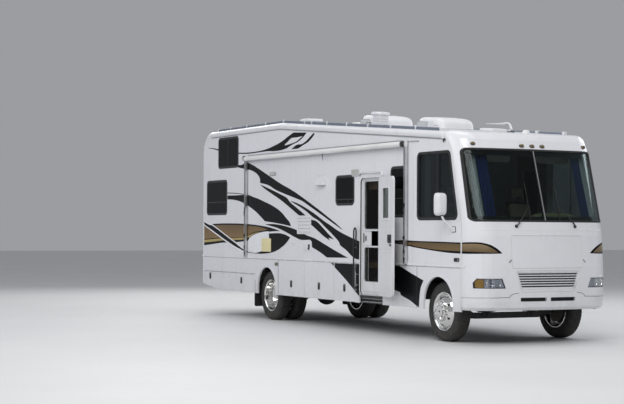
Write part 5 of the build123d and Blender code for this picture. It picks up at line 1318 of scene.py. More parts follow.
# ---------------------------------------------------------------------------- fittings of the sides
def side_fittings():
    kit = Kit("fittings_right")
    out = on_side(-1)
    lo = lambda *p: tuple(min(c) for c in zip(*p))
    hi = lambda *p: tuple(max(c) for c in zip(*p))

    def slab(x0, x1, z0, z1, h0, h1, mat, bevel=0.003, to=out, k=kit):
        a, b = to(x0, z0, h0), to(x1, z1, h1)
        k.box(lo(a, b), hi(a, b), mat, bevel, 3)

    # porch light: base and ribbed lens
    slab(1.392, 1.648, 2.655, 2.790, 0.0, 0.012, M["panel_white"], 0.006)
    kit.plate([rrect(1.408, 1.632, 2.670, 2.775, 0.020, 6)], out, 0.012, 0.036, M["lens_white"], bevel=0.006)
    for i in range(9):
        x = 1.424 + 0.024 * i
        kit.plate([rect(x, x + 0.008, 2.680, 2.765)], out, 0.036, 0.0385, M["lens_white"], bevel=0.001)
    # small lamp under the upper graphics
    slab(-1.905, -1.645, 2.765, 2.830, 0.0, 0.010, M["grey"], 0.005)
    kit.plate([rrect(-1.885, -1.665, 2.775, 2.820, 0.014, 5)], out, 0.010, 0.026, M["lens_white"], bevel=0.005)
    # cover of the cooker hood's outlet: flared body with an open flap underneath
    pts = []
    for z, h, w in ((2.700, 0.004, 0.132), (2.690, 0.050, 0.134), (2.640, 0.070, 0.140), (2.570, 0.078, 0.146), (2.538, 0.080, 0.148)):
        pts.append([out(0.2505 - w, z, 0.0), out(0.2505 - w, z, h), out(0.2505 + w, z, h), out(0.2505 + w, z, 0.0)])
    verts = [p for ring in pts for p in ring]
    faces = [(0, 1, 2, 3)]
    for i in range(4):
        for j in range(3):
            faces.append((i * 4 + j, i * 4 + 4 + j, i * 4 + 5 + j, i * 4 + 1 + j))
    kit.raw(verts, faces, M["panel_white"])
    slab(0.100, 0.401, 2.532, 2.541, 0.002, 0.080, M["panel_white"], 0.003)
    slab(0.115, 0.386, 2.5305, 2.560, 0.004, 0.060, M["black"], 0.003)
    slab(0.095, 0.406, 2.53, 2.712, 0.0, 0.005, M["panel_white"], 0.002)
    # louvres of the refrigerator's vent: a framed panel of slats
    slab(-0.725, -0.163, 1.655, 1.995, 0.0002, 0.004, M["panel_white"], 0.002)
    kit.loop(rrect(-0.725, -0.163, 1.655, 1.995, 0.015, 4), [(-0.012, 0.004), (-0.009, 0.008), (-0.002, 0.008), (0.001, 0.004)], out, M["panel_white"])
    for i, z in enumerate((1.700, 1.765, 1.830, 1.895, 1.955)):
        kit.plate([rect(-0.697, -0.191, z - 0.007, z + 0.002)], out, 0.004, 0.0052, M["black"])
        kit.sweep([out(-0.700, z + 0.006, 0.004), out(-0.188, z + 0.006, 0.004)], [(0, 0.010), (0.006, 0.006), (0.012, -0.008), (0.010, -0.011), (0.003, -0.004), (-0.001, -0.003)], M["panel_white"])
    # outlet box with its open cover
    slab(-0.455, -0.146, 1.345, 1.505, 0.0, 0.008, M["panel_white"], 0.004)
    slab(-0.440, -0.160, 1.360, 1.490, 0.008, 0.016, M["panel_white"], 0.006)
    slab(-0.255, -0.185, 1.395, 1.470, 0.016, 0.0185, M["black"], 0.002)
    slab(-0.246, -0.194, 1.372, 1.400, 0.016, 0.030, M["black"], 0.003)
    # cream cover panel over the service door, round inlet, key locks
    slab(-2.239, -1.845, 1.315, 1.558, 0.0004, 0.012, M["cream"], 0.004)
    kit.loop(rrect(-2.239, -1.845, 1.315, 1.558, 0.010, 4), [(-0.004, 0.012), (-0.002, 0.0145), (0.003, 0.0145), (0.006, 0.010), (0.006, 0.0)], out, M["cream"])
    for x in (-2.19, -1.895):
        kit.lathe([(0, 0), (0, 0.010), (0.004, 0.010), (0.005, 0.006), (0.005, 0)], out(x, 1.436, 0.012), (0, -1, 0), M["chrome"], 20)
    kit.lathe([(0, 0), (0, 0.036), (0.008, 0.036), (0.010, 0.033), (0.007, 0.029), (0.007, 0)], out(-0.879, 1.487, 0), (0, -1, 0), M["panel_white"], 36)
    kit.lathe([(0, 0), (0, 0.017), (0.005, 0.014), (0.005, 0)], out(-0.879, 1.487, 0.007), (0, -1, 0), M["chrome"], 24)
    # side marker lamps
    x, z = -1.5875, 1.08
    slab(x - 0.066, x + 0.066, z - 0.032, z + 0.032, 0.0, 0.008, M["grey"], 0.005)
    kit.plate([rrect(x - 0.050, x + 0.050, z - 0.020, z + 0.020, 0.010, 5)], out, 0.008, 0.022, M["lens_olive"], bevel=0.005)
    # latch of the cab's side locker
    for side in (-1, 1):
        o = on_side(side)
        kit.plate([rrect(4.645, 4.790, 1.258, 1.315, 0.020, 6)], o, 0.0, 0.010, M["black"], bevel=0.003)
        kit.plate([rrect(4.660, 4.735, 1.268, 1.305, 0.012, 6)], o, 0.010, 0.0155, M["rubber"], bevel=0.002)
        kit.lathe([(0, 0), (0, 0.012), (0.005, 0.011), (0.006, 0.004), (0.006, 0)], o(4.765, 1.287, 0.010), (0, side, 0), M["chrome"], 24)
    kit.done("root", "white_plastic")

    # driver's side: fuel door, cable hatch, water inlet, furnace outlet, markers
    kit = Kit("fittings_left")
    out = on_side(1)
    for x0, x1, z0, z1 in ((3.05, 3.32, 0.80, 1.07), (-4.55, -4.15, 1.30, 1.60), (-3.75, -3.40, 1.30, 1.52)):
        kit.plate([rrect(x0, x1, z0, z1, 0.030, 6)], out, 0.0006, 0.0070, M["trim_white"], bevel=0.002)
        kit.loop(rrect(x0 + 0.022, x1 - 0.022, z0 + 0.022, z1 - 0.022, 0.020, 6), [(-0.0015, 0.0070), (-0.0012, 0.0078), (0.0012, 0.0078), (0.0015, 0.0070)], out, M["grey"])
        kit.lathe([(0, 0), (0, 0.012), (0.005, 0.011), (0.006, 0.004), (0.006, 0)], out((x0 + x1) / 2, z0 + 0.05, 0.007), (0, 1, 0), M["chrome"], 24)
        kit.rod(out(x0 + 0.05, z1 - 0.010, 0.010), out(x1 - 0.05, z1 - 0.010, 0.010), 0.005, M["trim_white"], 14)
    kit.plate([rrect(-2.05, -1.62, 1.95, 2.27, 0.02, 5)], out, 0.0004, 0.006, M["panel_white"], bevel=0.002)
    for z in (2.00, 2.06, 2.12, 2.18):
        kit.sweep([out(-1.65, z, 0.006), out(-2.02, z, 0.006)], [(0, 0.010), (0.006, 0.006), (0.012, -0.008), (0.010, -0.011), (0.003, -0.004), (-0.001, -0.003)], M["panel_white"])
        kit.plate([rect(-2.02, -1.65, z - 0.012, z - 0.003)], out, 0.006, 0.0072, M["black"])
    for x, z, mat in ((-1.5875, 1.08, M["lens_red"]), (3.42, 1.13, M["lens_amber"])):
        slab(x - 0.062, x + 0.062, z - 0.026, z + 0.026, 0.0, 0.006, M["black"], 0.004, out, kit)
        kit.plate([rrect(x - 0.052, x + 0.052, z - 0.018, z + 0.018, 0.008, 4)], out, 0.006, 0.020, mat, bevel=0.004)
    kit.done("root", "white_plastic")


side_fittings()


# ---------------------------------------------------------------------------- awning, mirrors, roof units
def superloft(kit, centre, x_dir, y_dir, z_dir, rings, mat, n=48, power=4.0, cap_ends=True):
    """Rounded-box body: rings of (height, half length, half width, shift) squared off by power."""
    centre, X, Y, Z = Vector(centre), Vector(x_dir), Vector(y_dir), Vector(z_dir)
    verts = []
    for t, a, b, dx in rings:
        for i in range(n):
            q = 2 * math.pi * i / n
            c, s = math.cos(q), math.sin(q)
            k = (abs(c) ** power + abs(s) ** power) ** (-1 / power)
            verts.append(centre + X * (c * k * a + dx) + Y * (s * k * b) + Z * t)
    m = len(rings)
    faces = [(j * n + i, j * n + (i + 1) % n, (j + 1) * n + (i + 1) % n, (j + 1) * n + i) for j in range(m - 1) for i in range(n)]
    if cap_ends:
        faces += [tuple(range(n))[::-1], tuple((m - 1) * n + i for i in range(n))]
    bm = bmesh.new()
    vs = [bm.verts.new(v) for v in verts]
    for f in faces:
        bm.faces.new([vs[i] for i in f])
    bmesh.ops.recalc_face_normals(bm, faces=bm.faces)
    kit.take(bm, mat)


def awning_piece():
    kit = Kit("rolled_awning")
    y, z, r = -W - 0.078, 3.128, 0.0465
    # cloth rolled up: a spiral with its loose edge below, slightly uneven along the tube
    n, m = 44, 61
    rows = []
    for j in range(m):
        x = -2.872 + 6.044 * j / (m - 1)
        wob = 0.0010 * math.sin(j * 1.7) + 0.0012 * math.sin(j * 0.55 + 1)
        ring = []
        for i in range(n):
            a = 2 * math.pi * i / n
            rr = r - 0.0055 * (1 - i / n) + wob * 0.5
            ring.append((x, y + rr * math.cos(a - 1.9), z + rr * math.sin(a - 1.9) - wob))
        rows.append(ring)
    verts = [p for ring in rows for p in ring]
    faces = []
    for j in range(m - 1):
        for i in range(n):
            k = (i + 1) % n
            faces.append((j * n + i, j * n + k, (j + 1) * n + k, (j + 1) * n + i))
    faces += [tuple(range(n))[::-1], tuple((m - 1) * n + i for i in range(n))]
    kit.raw(verts, faces, M["awning"])
    # hem with its rail along the roll, and the cloth's tail up to the eave rail
    kit.sweep([(-2.87, y + 0.020, z - 0.045), (3.17, y + 0.020, z - 0.045)], [(-0.014, 0.004), (-0.016, -0.002), (0, -0.0045), (0.016, -0.002), (0.014, 0.004)], M["alu"])
    kit.sweep([(-2.87, -W - 0.010, 3.186), (3.17, -W - 0.010, 3.186)], [(-0.010, -0.012), (0.010, -0.012), (0.012, 0.002), (0.006, 0.012), (-0.006, 0.012), (-0.010, 0.004)], M["alu"])
    tail = [(-W - 0.012, 3.178), (-W - 0.024, 3.170), (-W - 0.040, 3.1655), (-W - 0.058, 3.166)]
    k = 30
    pv, pf = [], []
    for i in range(k + 1):
        x = -2.865 + 6.03 * i / k
        for yy, zz in tail:
            pv.append((x, yy, zz + 0.0012 * math.sin(i * 1.3)))
    for i in range(k):
        for q in range(3):
            a = i * 4 + q
            pf.append((a, a + 1, a + 5, a + 4))
    kit.raw(pv, pf, M["awning"])
    # strap and its loop
    kit.plate([rrect(0.442, 0.464, 2.985, 3.100, 0.004, 3)], on_side(-1), 0.0995, 0.1010, M["black"])
    kit.loop(rrect(0.436, 0.470, 2.962, 2.990, 0.006, 4), [(-0.002, 0.098), (-0.002, 0.102), (0.002, 0.102), (0.002, 0.098)], on_side(-1), M["chrome"])
    for x, d in ((-2.893, -1), (3.193, 1)):
        # cast end cap of the tube with its spring housing
        kit.lathe([(0, 0), (0, 0.0445), (0.006, 0.0465), (0.018, 0.0465), (0.022, 0.042), (0.030, 0.040), (0.040, 0.040), (0.046, 0.034), (0.046, 0)], (x, y, z), (d, 0, 0), M["alu"], 40)
        kit.lathe([(0.046, 0), (0.046, 0.014), (0.052, 0.014), (0.054, 0.010), (0.054, 0)], (x, y, z), (d, 0, 0), M["black"], 20)
    superloft(kit, (3.212, y, z), (0, 1, 0), (0, 0, 1), (1, 0, 0), [(-0.022, 0.044, 0.044, 0), (-0.018, 0.047, 0.047, 0), (0.024, 0.047, 0.047, 0), (0.028, 0.040, 0.040, 0)], M["steel_dark"], 40, 3.0)
    kit.tube([(3.23, -W - 0.022, 3.172), (3.40, -W - 0.014, 3.168), (3.60, -W - 0.012, 3.160)], 0.006, M["grey"], 10)
    superloft(kit, (-2.905, y, z + 0.010), (0, 1, 0), (0, 0, 1), (1, 0, 0), [(-0.030, 0.036, 0.040, 0), (-0.026, 0.040, 0.046, 0), (0.012, 0.040, 0.046, 0), (0.016, 0.034, 0.040, 0)], M["black"], 40, 3.0)
    for x in (-2.935, 3.235):
        # folded arm: an outer channel with the rafter lying in it
        h = W + 0.015
        for z0, z1, w, d0, d1, mat in ((1.190, 3.150, 0.027, 0.0, 0.008, M["alu"]), (1.235, 3.110, 0.016, 0.010, 0.034, M["alu"])):
            kit.plate([rect(x - w, x + w, z0, z1)], on_side(-1, h), d0, d1, mat, bevel=0.002)
        for s in (-1, 1):
            kit.plate([rect(x + s * 0.0245 - 0.003, x + s * 0.0245 + 0.003, 1.190, 3.150)], on_side(-1, h), 0.0, 0.046, M["alu"], bevel=0.0012)
            kit.plate([rect(x + s * 0.0105 - 0.0015, x + s * 0.0105 + 0.0015, 1.26, 3.08)], on_side(-1, h), 0.034, 0.0365, M["alu"])
        kit.plate([rrect(x - 0.028, x + 0.028, 3.08, 3.196, 0.012, 4)], on_side(-1, h), 0.002, 0.050, M["panel_white"], bevel=0.004)
        kit.plate([rrect(x - 0.020, x + 0.020, 3.095, 3.155, 0.015, 6)], on_side(-1, h), 0.050, 0.066, M["alu"], bevel=0.003)
        # foot bracket and wall brackets with bolts
        for zz in (1.215, 3.165):
            kit.plate([rrect(x - 0.029, x + 0.029, zz - 0.043, zz + 0.030, 0.010, 4)], on_side(-1), 0.0, 0.019, M["alu"], bevel=0.003)
            for dz in (-0.028, 0.012):
                kit.bolt((x, -W - 0.019, zz + dz), (0, -1, 0), 0.0075, M["galvanised"])
        # travel lock, handle and slider knobs
        for zz, w in ((2.14, 0.020), (1.615, 0.026), (1.39, 0.022), (1.270, 0.018)):
            kit.plate([rrect(x - w, x + w, zz - 0.030, zz + 0.030, 0.010, 5)], on_side(-1, h), 0.034, 0.050, M["black"], bevel=0.004)
        kit.lathe([(0, 0), (0, 0.014), (0.010, 0.017), (0.018, 0.013), (0.018, 0)], (x, -h - 0.050, 1.615), (0, -1, 0), M["black"], 20)
        kit.tube([(x - 0.012, -h - 0.045, 2.12), (x - 0.012, -h - 0.058, 2.06), (x - 0.012, -h - 0.045, 2.00)], 0.006, M["black"], 12)
    kit.done("root", "awning", replaces="awning")


awning_piece()


def mirror_piece():
    kit = Kit("mirror_heads")
    for s, turn in ((-1, 0.0), (1, 55.0)):
        pivot = Matrix.Translation((4.625, s * (W + 0.017), 0))
        m = pivot @ Matrix.Rotation(math.radians(turn), 4, "Z") @ pivot.inverted()
        part = Kit("t")
        c = (4.560, s * 1.5075, 2.137)
        # housing: shell rounded towards the front, rim round the glass at the rear
        rings = [(0.0, 0.172, 0.095, 0), (0.004, 0.1745, 0.0972, 0), (0.020, 0.1745, 0.0972, 0), (0.055, 0.171, 0.094, 0), (0.085, 0.160, 0.086, 0.002), (0.106, 0.138, 0.072, 0.004), (0.117, 0.100, 0.050, 0.005), (0.1195, 0.04, 0.02, 0.005)]
        superloft(part, c, (0, 0, 1), (0, 1, 0), (1, 0, 0), rings, M["panel_white"], 56, 5.0)
        y0 = s * 1.5075
        glass = rrect(y0 - 0.078, y0 + 0.078, 2.045, 2.290, 0.035, 8)
        low = rrect(y0 - 0.078, y0 + 0.078, 1.982, 2.034, 0.020, 6)
        back = lambda a, b, h=0.0: Vector((4.560 - h, a, b))
        part.plate([rrect(y0 - 0.088, y0 + 0.088, 1.972, 2.302, 0.042, 8)], back, -0.003, 0.0005, M["black"])
        part.plate([glass], back, -0.002, 0.0018, M["mirror"])
        part.plate([low], back, -0.002, 0.0018, M["mirror"])
        # parting line and marker on the shell
        part.plate([rrect(y0 - 0.045, y0 + 0.045, 2.215, 2.232, 0.006, 4)], lambda a, b, h=0.0: Vector((4.660 + h, a, b)), -0.006, 0.004, M["grey"])
        arm = flow([(0, 0), (1, 0)], False, 2)
        pts = [(4.606, s * 1.492, 2.000), (4.610, s * 1.488, 1.962), (4.614, s * 1.468, 1.915), (4.617, s * 1.440, 1.880), (4.620, s * 1.400, 1.843), (4.623, s * 1.340, 1.792), (4.625, s * 1.303, 1.758)]
        part.tube(pts, [0.0150, 0.0158, 0.0165, 0.0165, 0.0165, 0.0160, 0.0160], M["panel_white"], 20)
        part.lathe([(0, 0.017), (0.0, 0.022), (0.006, 0.024), (0.016, 0.024), (0.020, 0.020), (0.020, 0.016)], (4.608, s * 1.490, 1.958), (0, 0, 1), M["black"], 28, closed=False)
        me = bpy.data.meshes.new("t")
        bmesh.ops.transform(part.bm, matrix=m, verts=part.bm.verts)
        for f in part.bm.faces:
            f.material_index = kit.slot(part.mats[f.material_index])
        part.bm.to_mesh(me)
        part.bm.free()
        kit.bm.from_mesh(me)
        bpy.data.meshes.remove(me)
        # foot on the wall, with its pivot barrel
        kit.plate([rrect(4.572, 4.678, 1.714, 1.790, 0.020, 6)], on_side(s), 0.0, 0.0195, M["panel_white"], bevel=0.005)
        kit.plate([rrect(4.560, 4.690, 1.706, 1.798, 0.024, 6)], on_side(s), 0.0, 0.003, M["rubber"])
        for dx, dz in ((-0.038, 0.024), (0.038, 0.024), (-0.038, -0.024), (0.038, -0.024)):
            kit.lathe([(0, 0), (0, 0.0055), (0.002, 0.0045), (0.003, 0)], (4.625 + dx, s * (W + 0.0195), 1.752 + dz), (0, s, 0), M["galvanised"], 12)
    kit.done("root", "white_plastic", replaces="mirrors")


mirror_piece()


def roof_frame(x):
    k = 0.48 / 5.861 if x > -1.48 else 0.0
    z = Vector((k, 0, 1)).normalized()
    xd = Vector((1, 0, -k)).normalized()
    return Vector((x, 0, roof_z(x))), xd, Vector((0, 1, 0)), z


def roof_units():
    kit = Kit("air_conditioner_shrouds")
    for x0, x1 in ((-0.060, 0.790), (1.930, 2.780)):
        o, X, Y, Z = roof_frame((x0 + x1) / 2)
        L = (x1 - x0) / 2
        rings = [(0.0, L, 0.362, 0), (0.006, L, 0.3635, 0), (0.012, L - 0.004, 0.360, 0), (0.10, L - 0.010, 0.356, -0.004), (0.150, L - 0.030, 0.348, -0.016), (0.180, L - 0.062, 0.334, -0.034),
                 (0.200, L - 0.120, 0.308, -0.060), (0.211, L - 0.200, 0.262, -0.085), (0.2145, L - 0.30, 0.18, -0.10), (0.215, 0.05, 0.05, -0.10)]
        superloft(kit, o, X, Y, Z, rings, M["roof_plastic"], 72, 5.5)
        # base gasket, screws round the foot
        superloft(kit, o, X, Y, Z, [(0.0, L - 0.002, 0.360, 0), (0.004, L + 0.0, 0.3645, 0), (0.009, L + 0.0, 0.3645, 0), (0.0095, L - 0.01, 0.350, 0)], M["rubber"], 72, 5.5)
        # louvred grilles in the rear half of both flanks, and in the tail
        for s in (-1, 1):
            side3 = lambda a, b, h=0.0, s=s: o + X * a + Y * (s * (0.3575 + h)) + Z * b
            kit.plate([rrect(-L + 0.05, -L + 0.40, 0.030, 0.135, 0.018, 5)], side3, -0.010, 0.0022, M["grey"])
            for i in range(13):
                a = -L + 0.066 + 0.0255 * i
                kit.plate([rrect(a, a + 0.010, 0.040, 0.126, 0.004, 3)], side3, 0.002, 0.0062, M["roof_plastic"], bevel=0.001)
            kit.plate([rect(-L + 0.44, L - 0.12, 0.074, 0.080)], side3, -0.006, 0.0012, M["grey"])
            kit.plate([rrect(-L + 0.425, -L + 0.60, 0.022, 0.142, 0.016, 5)], side3, -0.008, 0.0030, M["roof_plastic"], bevel=0.0015)
            for a in (-L + 0.03, -0.10, L - 0.10):
                kit.lathe([(0, 0), (0, 0.009), (0.003, 0.007), (0.004, 0)], side3(a, 0.045, 0.002), Y * s, M["galvanised"], 14)
        for i in range(9):
            yy = -0.24 + 0.06 * i
            kit.plate([rrect(yy - 0.020, yy + 0.020, 0.035, 0.125, 0.006, 3)], lambda a, b, h=0.0: o + X * (-L + 0.008 - h) + Y * a + Z * b, -0.004, 0.004, M["grey"], bevel=0.001)
        # shallow ribs pressed into the top
        for i in range(5):
            yy = -0.16 + 0.08 * i
            pts = [o + X * a + Y * yy + Z * zz for a, zz in ((-L + 0.26, 0.2135), (-L + 0.40, 0.2158), (-0.02, 0.2160), (0.08, 0.2145))]
            kit.tube(pts, 0.005, M["roof_plastic"], 8, squash=0.5)
    kit.done("root", "roof_plastic", replaces="air_conditioners")

    kit = Kit("roof_vent_covers")
    for x0, x1, y, w, h in ((0.884, 1.191, -0.540, 0.240, 0.275), (-2.861, -2.490, 0.0, 0.371, 0.195), (-1.250, -0.890, 0.300, 0.360, 0.070),
                            (3.250, 3.610, 0.250, 0.360, 0.070), (-4.500, -4.140, 0.250, 0.360, 0.070)):
        o, X, Y, Z = roof_frame((x0 + x1) / 2)
        o = o + Y * y
        L, B = (x1 - x0) / 2, w / 2
        # flange with sealant, curb, overhanging lid
        superloft(kit, o, X, Y, Z, [(0.0, L, B, 0), (0.007, L, B, 0), (0.010, L - 0.006, B - 0.006, 0)], M["sealant"], 48, 9)
        superloft(kit, o, X, Y, Z, [(0.006, L - 0.024, B - 0.024, 0), (h - 0.05, L - 0.026, B - 0.026, 0)], M["panel_white"], 48, 9)
        lid = [(h - 0.052, L - 0.004, B - 0.004, 0), (h - 0.050, L, B, 0), (h - 0.020, L - 0.001, B - 0.001, 0), (h - 0.010, L - 0.008, B - 0.008, 0), (h - 0.004, L - 0.030, B - 0.030, 0), (h, L - 0.08, B - 0.07, 0)]
        superloft(kit, o, X, Y, Z, lid, M["roof_plastic"], 56, 8)
        if h > 0.1:
            for s in (-1, 1):
                for i in range(4):
                    zz = 0.03 + (h - 0.10) * i / 4
                    kit.sweep([o + X * (-L + 0.035) + Y * (s * (B - 0.026)) + Z * zz, o + X * (L - 0.035) + Y * (s * (B - 0.026)) + Z * zz][::(1 if s < 0 else -1)],
                              [(0, 0.012), (0.010, 0.002), (0.012, -0.003), (0.0, 0.004)], M["panel_white"], up=tuple(Z))
                    kit.sweep([o + X * (s * (L - 0.026)) + Y * (-B + 0.035) + Z * zz, o + X * (s * (L - 0.026)) + Y * (B - 0.035) + Z * zz][::(1 if s > 0 else -1)],
                              [(0, 0.012), (0.010, 0.002), (0.012, -0.003), (0.0, 0.004)], M["panel_white"], up=tuple(Z))
        for sx in (-1, 1):
            for sy in (-1, 1):
                kit.bolt(o + X * (sx * (L - 0.014)) + Y * (sy * (B - 0.014)) + Z * 0.008, Z, 0.005, M["galvanised"])
    kit.done("root", "roof_plastic", replaces="roof_vents")

    kit = Kit("roof_antennas")
    o, X, Y, Z = roof_frame(4.290)
    superloft(kit, o, X, Y, Z, [(0.0, 0.075, 0.055, 0), (0.008, 0.075, 0.055, 0), (0.012, 0.066, 0.048, 0), (0.030, 0.058, 0.044, 0), (0.036, 0.050, 0.036, 0)], M["black"], 40, 4)
    leg = [(4.318, 0, 3.318), (4.308, 0, 3.360), (4.290, 0, 3.400), (4.262, 0, 3.435), (4.220, 0, 3.455), (4.150, 0, 3.462), (4.02, 0, 3.463), (3.90, 0, 3.462)]
    kit.tube(leg, [0.020, 0.017, 0.015, 0.0145, 0.0135, 0.012, 0.0105, 0.010], M["roof_plastic"], 20)
    kit.tube([(p[0] - 0.028, p[1], p[2] - 0.018) for p in leg[:5]], 0.006, M["galvanised"], 12)
    kit.lathe([(-0.020, 0), (-0.020, 0.021), (0.020, 0.021), (0.020, 0)], (4.322, 0, 3.330), (0, 1, 0), M["galvanised"], 24)
    # swept wing of the folded head, thick in the middle and thin at the tips
    for s in (-1, 1):
        wing = [(3.912, s * 0.0, 3.462), (3.900, s * 0.06, 3.462), (3.882, s * 0.12, 3.461), (3.868, s * 0.17, 3.460), (3.862, s * 0.196, 3.460)]
        kit.tube(wing, [0.021, 0.019, 0.015, 0.010, 0.004], M["roof_plastic"], 20, squash=0.50)
    # low dome on the cap
    kit.lathe([(0, 0), (0, 0.062), (0.010, 0.062), (0.016, 0.056), (0.040, 0.051), (0.050, 0.042), (0.055, 0.024), (0.056, 0)], (4.500, 0.146, 3.281), (0, 0, 1), M["roof_plastic"], 48)
    # folded mast on the rear with its dark head
    o = Vector((-3.03, 0, 3.76))
    superloft(kit, o, (1, 0, 0), (0, 1, 0), (0, 0, 1), [(0.0, 0.129, 0.029, 0), (0.05, 0.129, 0.029, 0), (0.070, 0.116, 0.027, 0.006), (0.092, 0.10, 0.024, 0.02), (0.120, 0.07, 0.020, 0.04)], M["roof_plastic"], 40, 6)
    kit.tube([(-2.940, 0, 3.862), (-3.00, 0, 3.884), (-3.30, 0, 3.910), (-3.60, 0, 3.935), (-3.86, 0, 3.958)], [0.022, 0.020, 0.0175, 0.016, 0.016], M["alu"], 20)
    kit.tube([(-3.16, -0.02, 3.80), (-3.35, -0.02, 3.880), (-3.80, -0.02, 3.925)], 0.007, M["black"], 12)
    superloft(kit, (-3.950, 0, 3.9125), (1, 0, 0), (0, 1, 0), (0, 0, 1), [(0.0, 0.070, 0.080, 0), (0.006, 0.083, 0.093, 0), (0.020, 0.084, 0.094, 0), (0.028, 0.070, 0.080, 0), (0.0295, 0.03, 0.03, 0)], M["edge_blue"], 48, 4)
    kit.tube([(-3.905, -0.024, 3.940), (-3.880, -0.024, 3.972), (-3.83, -0.020, 3.980), (-3.79, -0.012, 3.962)], 0.0075, M["black"], 12)
    kit.tube([(-3.955, 0.024, 3.940), (-3.935, 0.024, 3.966), (-3.90, 0.02, 3.962)], 0.0065, M["black"], 12)
    kit.done("root", "roof_plastic", replaces="antennas")
    # plumbing stacks
    kit = Kit("roof_pipes")
    for x, y, h in ((1.42, -0.985, 0.085), (-0.35, 0.80, 0.07), (-3.45, -0.80, 0.07)):
        o, X, Y, Z = roof_frame(x)
        o = o + Y * y
        kit.lathe([(0, 0), (0, 0.085), (0.004, 0.085), (0.012, 0.055), (0.018, 0.046), (h - 0.01, 0.044), (h - 0.008, 0.060), (h, 0.056), (h + 0.004, 0.03), (h + 0.004, 0)], o, Z, M["grey"], 36)
    kit.done("root", "roof_plastic")


roof_units()


# ---------------------------------------------------------------------------- front cap
def dense(loop, step=0.04):
    """The loop with points added so that no side is longer than the step."""
    out = []
    for a, b in zip(loop, loop[1:] + loop[:1]):
        k = max(1, math.ceil(math.hypot(b[0] - a[0], b[1] - a[1]) / step))
        out += [(a[0] + (b[0] - a[0]) * i / k, a[1] + (b[1] - a[1]) * i / k) for i in range(k)]
    return out


def lattice(loop, dy=0.06, dz=0.12):
    """Points inside a loop, so that a plate over it follows the curved cap."""
    y0, y1 = min(p[0] for p in loop), max(p[0] for p in loop)
    z0, z1 = min(p[1] for p in loop), max(p[1] for p in loop)
    out = []
    for i in range(1, max(2, math.ceil((y1 - y0) / dy))):
        for j in range(1, max(2, math.ceil((z1 - z0) / dz))):
            y, z = y0 + dy * i + 1e-4, z0 + dz * j + 1e-4
            if inside(loop, y, z):
                out.append((y, z))
    return out


def shrink(loop, d):
    ring = loop if area2(loop) > 0 else loop[::-1]
    out = []
    for i in range(len(ring)):
        a, p, b = Vector(ring[i - 1][:2]), Vector(ring[i][:2]), Vector(ring[(i + 1) % len(ring)][:2])
        t = (b - a).normalized()
        out.append((p.x - t.y * d, p.y + t.x * d))
    return out


def windshield_trim():
    kit = Kit("windshield_seal")
    outer = dense(round_poly([(-1.228, 1.887), (1.228, 1.887), (1.210, 2.992), (-1.210, 2.992)], 0.060, 8), 0.035)
    # rubber gasket standing round the opening, with an insert
    kit.loop(outer, [(-0.016, -0.014), (-0.015, -0.004), (-0.008, 0.0045), (0.006, 0.0055), (0.013, 0.0035), (0.016, 0.0005), (0.010, -0.001), (0.0, -0.003), (-0.002, -0.016)], on_cap, M["rubber"])
    kit.loop(outer, [(-0.0035, 0.0042), (-0.003, 0.0068), (0.0025, 0.0068), (0.003, 0.0045)], on_cap, M["rubber"])
    # centre divider over the joint of the panes
    for y0, y1, h0, h1, mat in ((-0.021, 0.021, -0.014, -0.0055, M["rubber"]), (-0.007, 0.007, -0.0055, -0.0015, M["alu"])):
        ring = dense(rrect(y0, y1, 1.894, 2.985, 0.004, 3), 0.05)
        kit.plate([ring], on_cap, h0, h1, mat, bevel=0.0014)
    kit.done("root", "black_plastic")
    # printed black border behind the glass, running out into dots
    kit = Kit("windshield_border")
    for s in (-1, 1):
        pane = [(s * 0.006, 1.890), (s * 1.225, 1.890), (s * 1.207, 2.989), (s * 0.006, 2.989)]
        pane = round_poly(pane if s > 0 else pane[::-1], 0.057, 6)
        inner = [(s * 0.030, 1.958), (s * 1.168, 1.958), (s * 1.154, 2.905), (s * 0.030, 2.905)]
        inner = round_poly(inner if s > 0 else inner[::-1], 0.045, 6)
        a, b = dense(shrink(pane, 0.002), 0.05), dense(inner, 0.05)
        kit.plate([a, b], on_cap, -0.0245, -0.0225, M["black"])
        for k, y in enumerate([0.05 + 0.022 * i for i in range(50)]):
            for r, z in ((0.0050, 1.966), (0.0035, 1.977), (0.0050, 2.897), (0.0035, 2.886)):
                if y < 1.15:
                    kit.plate([circle(s * (y + (0.011 if r < 0.004 else 0)), z, r, 6)], on_cap, -0.0240, -0.0228, M["black"])
    kit.done("root", "black_plastic")


windshield_trim()


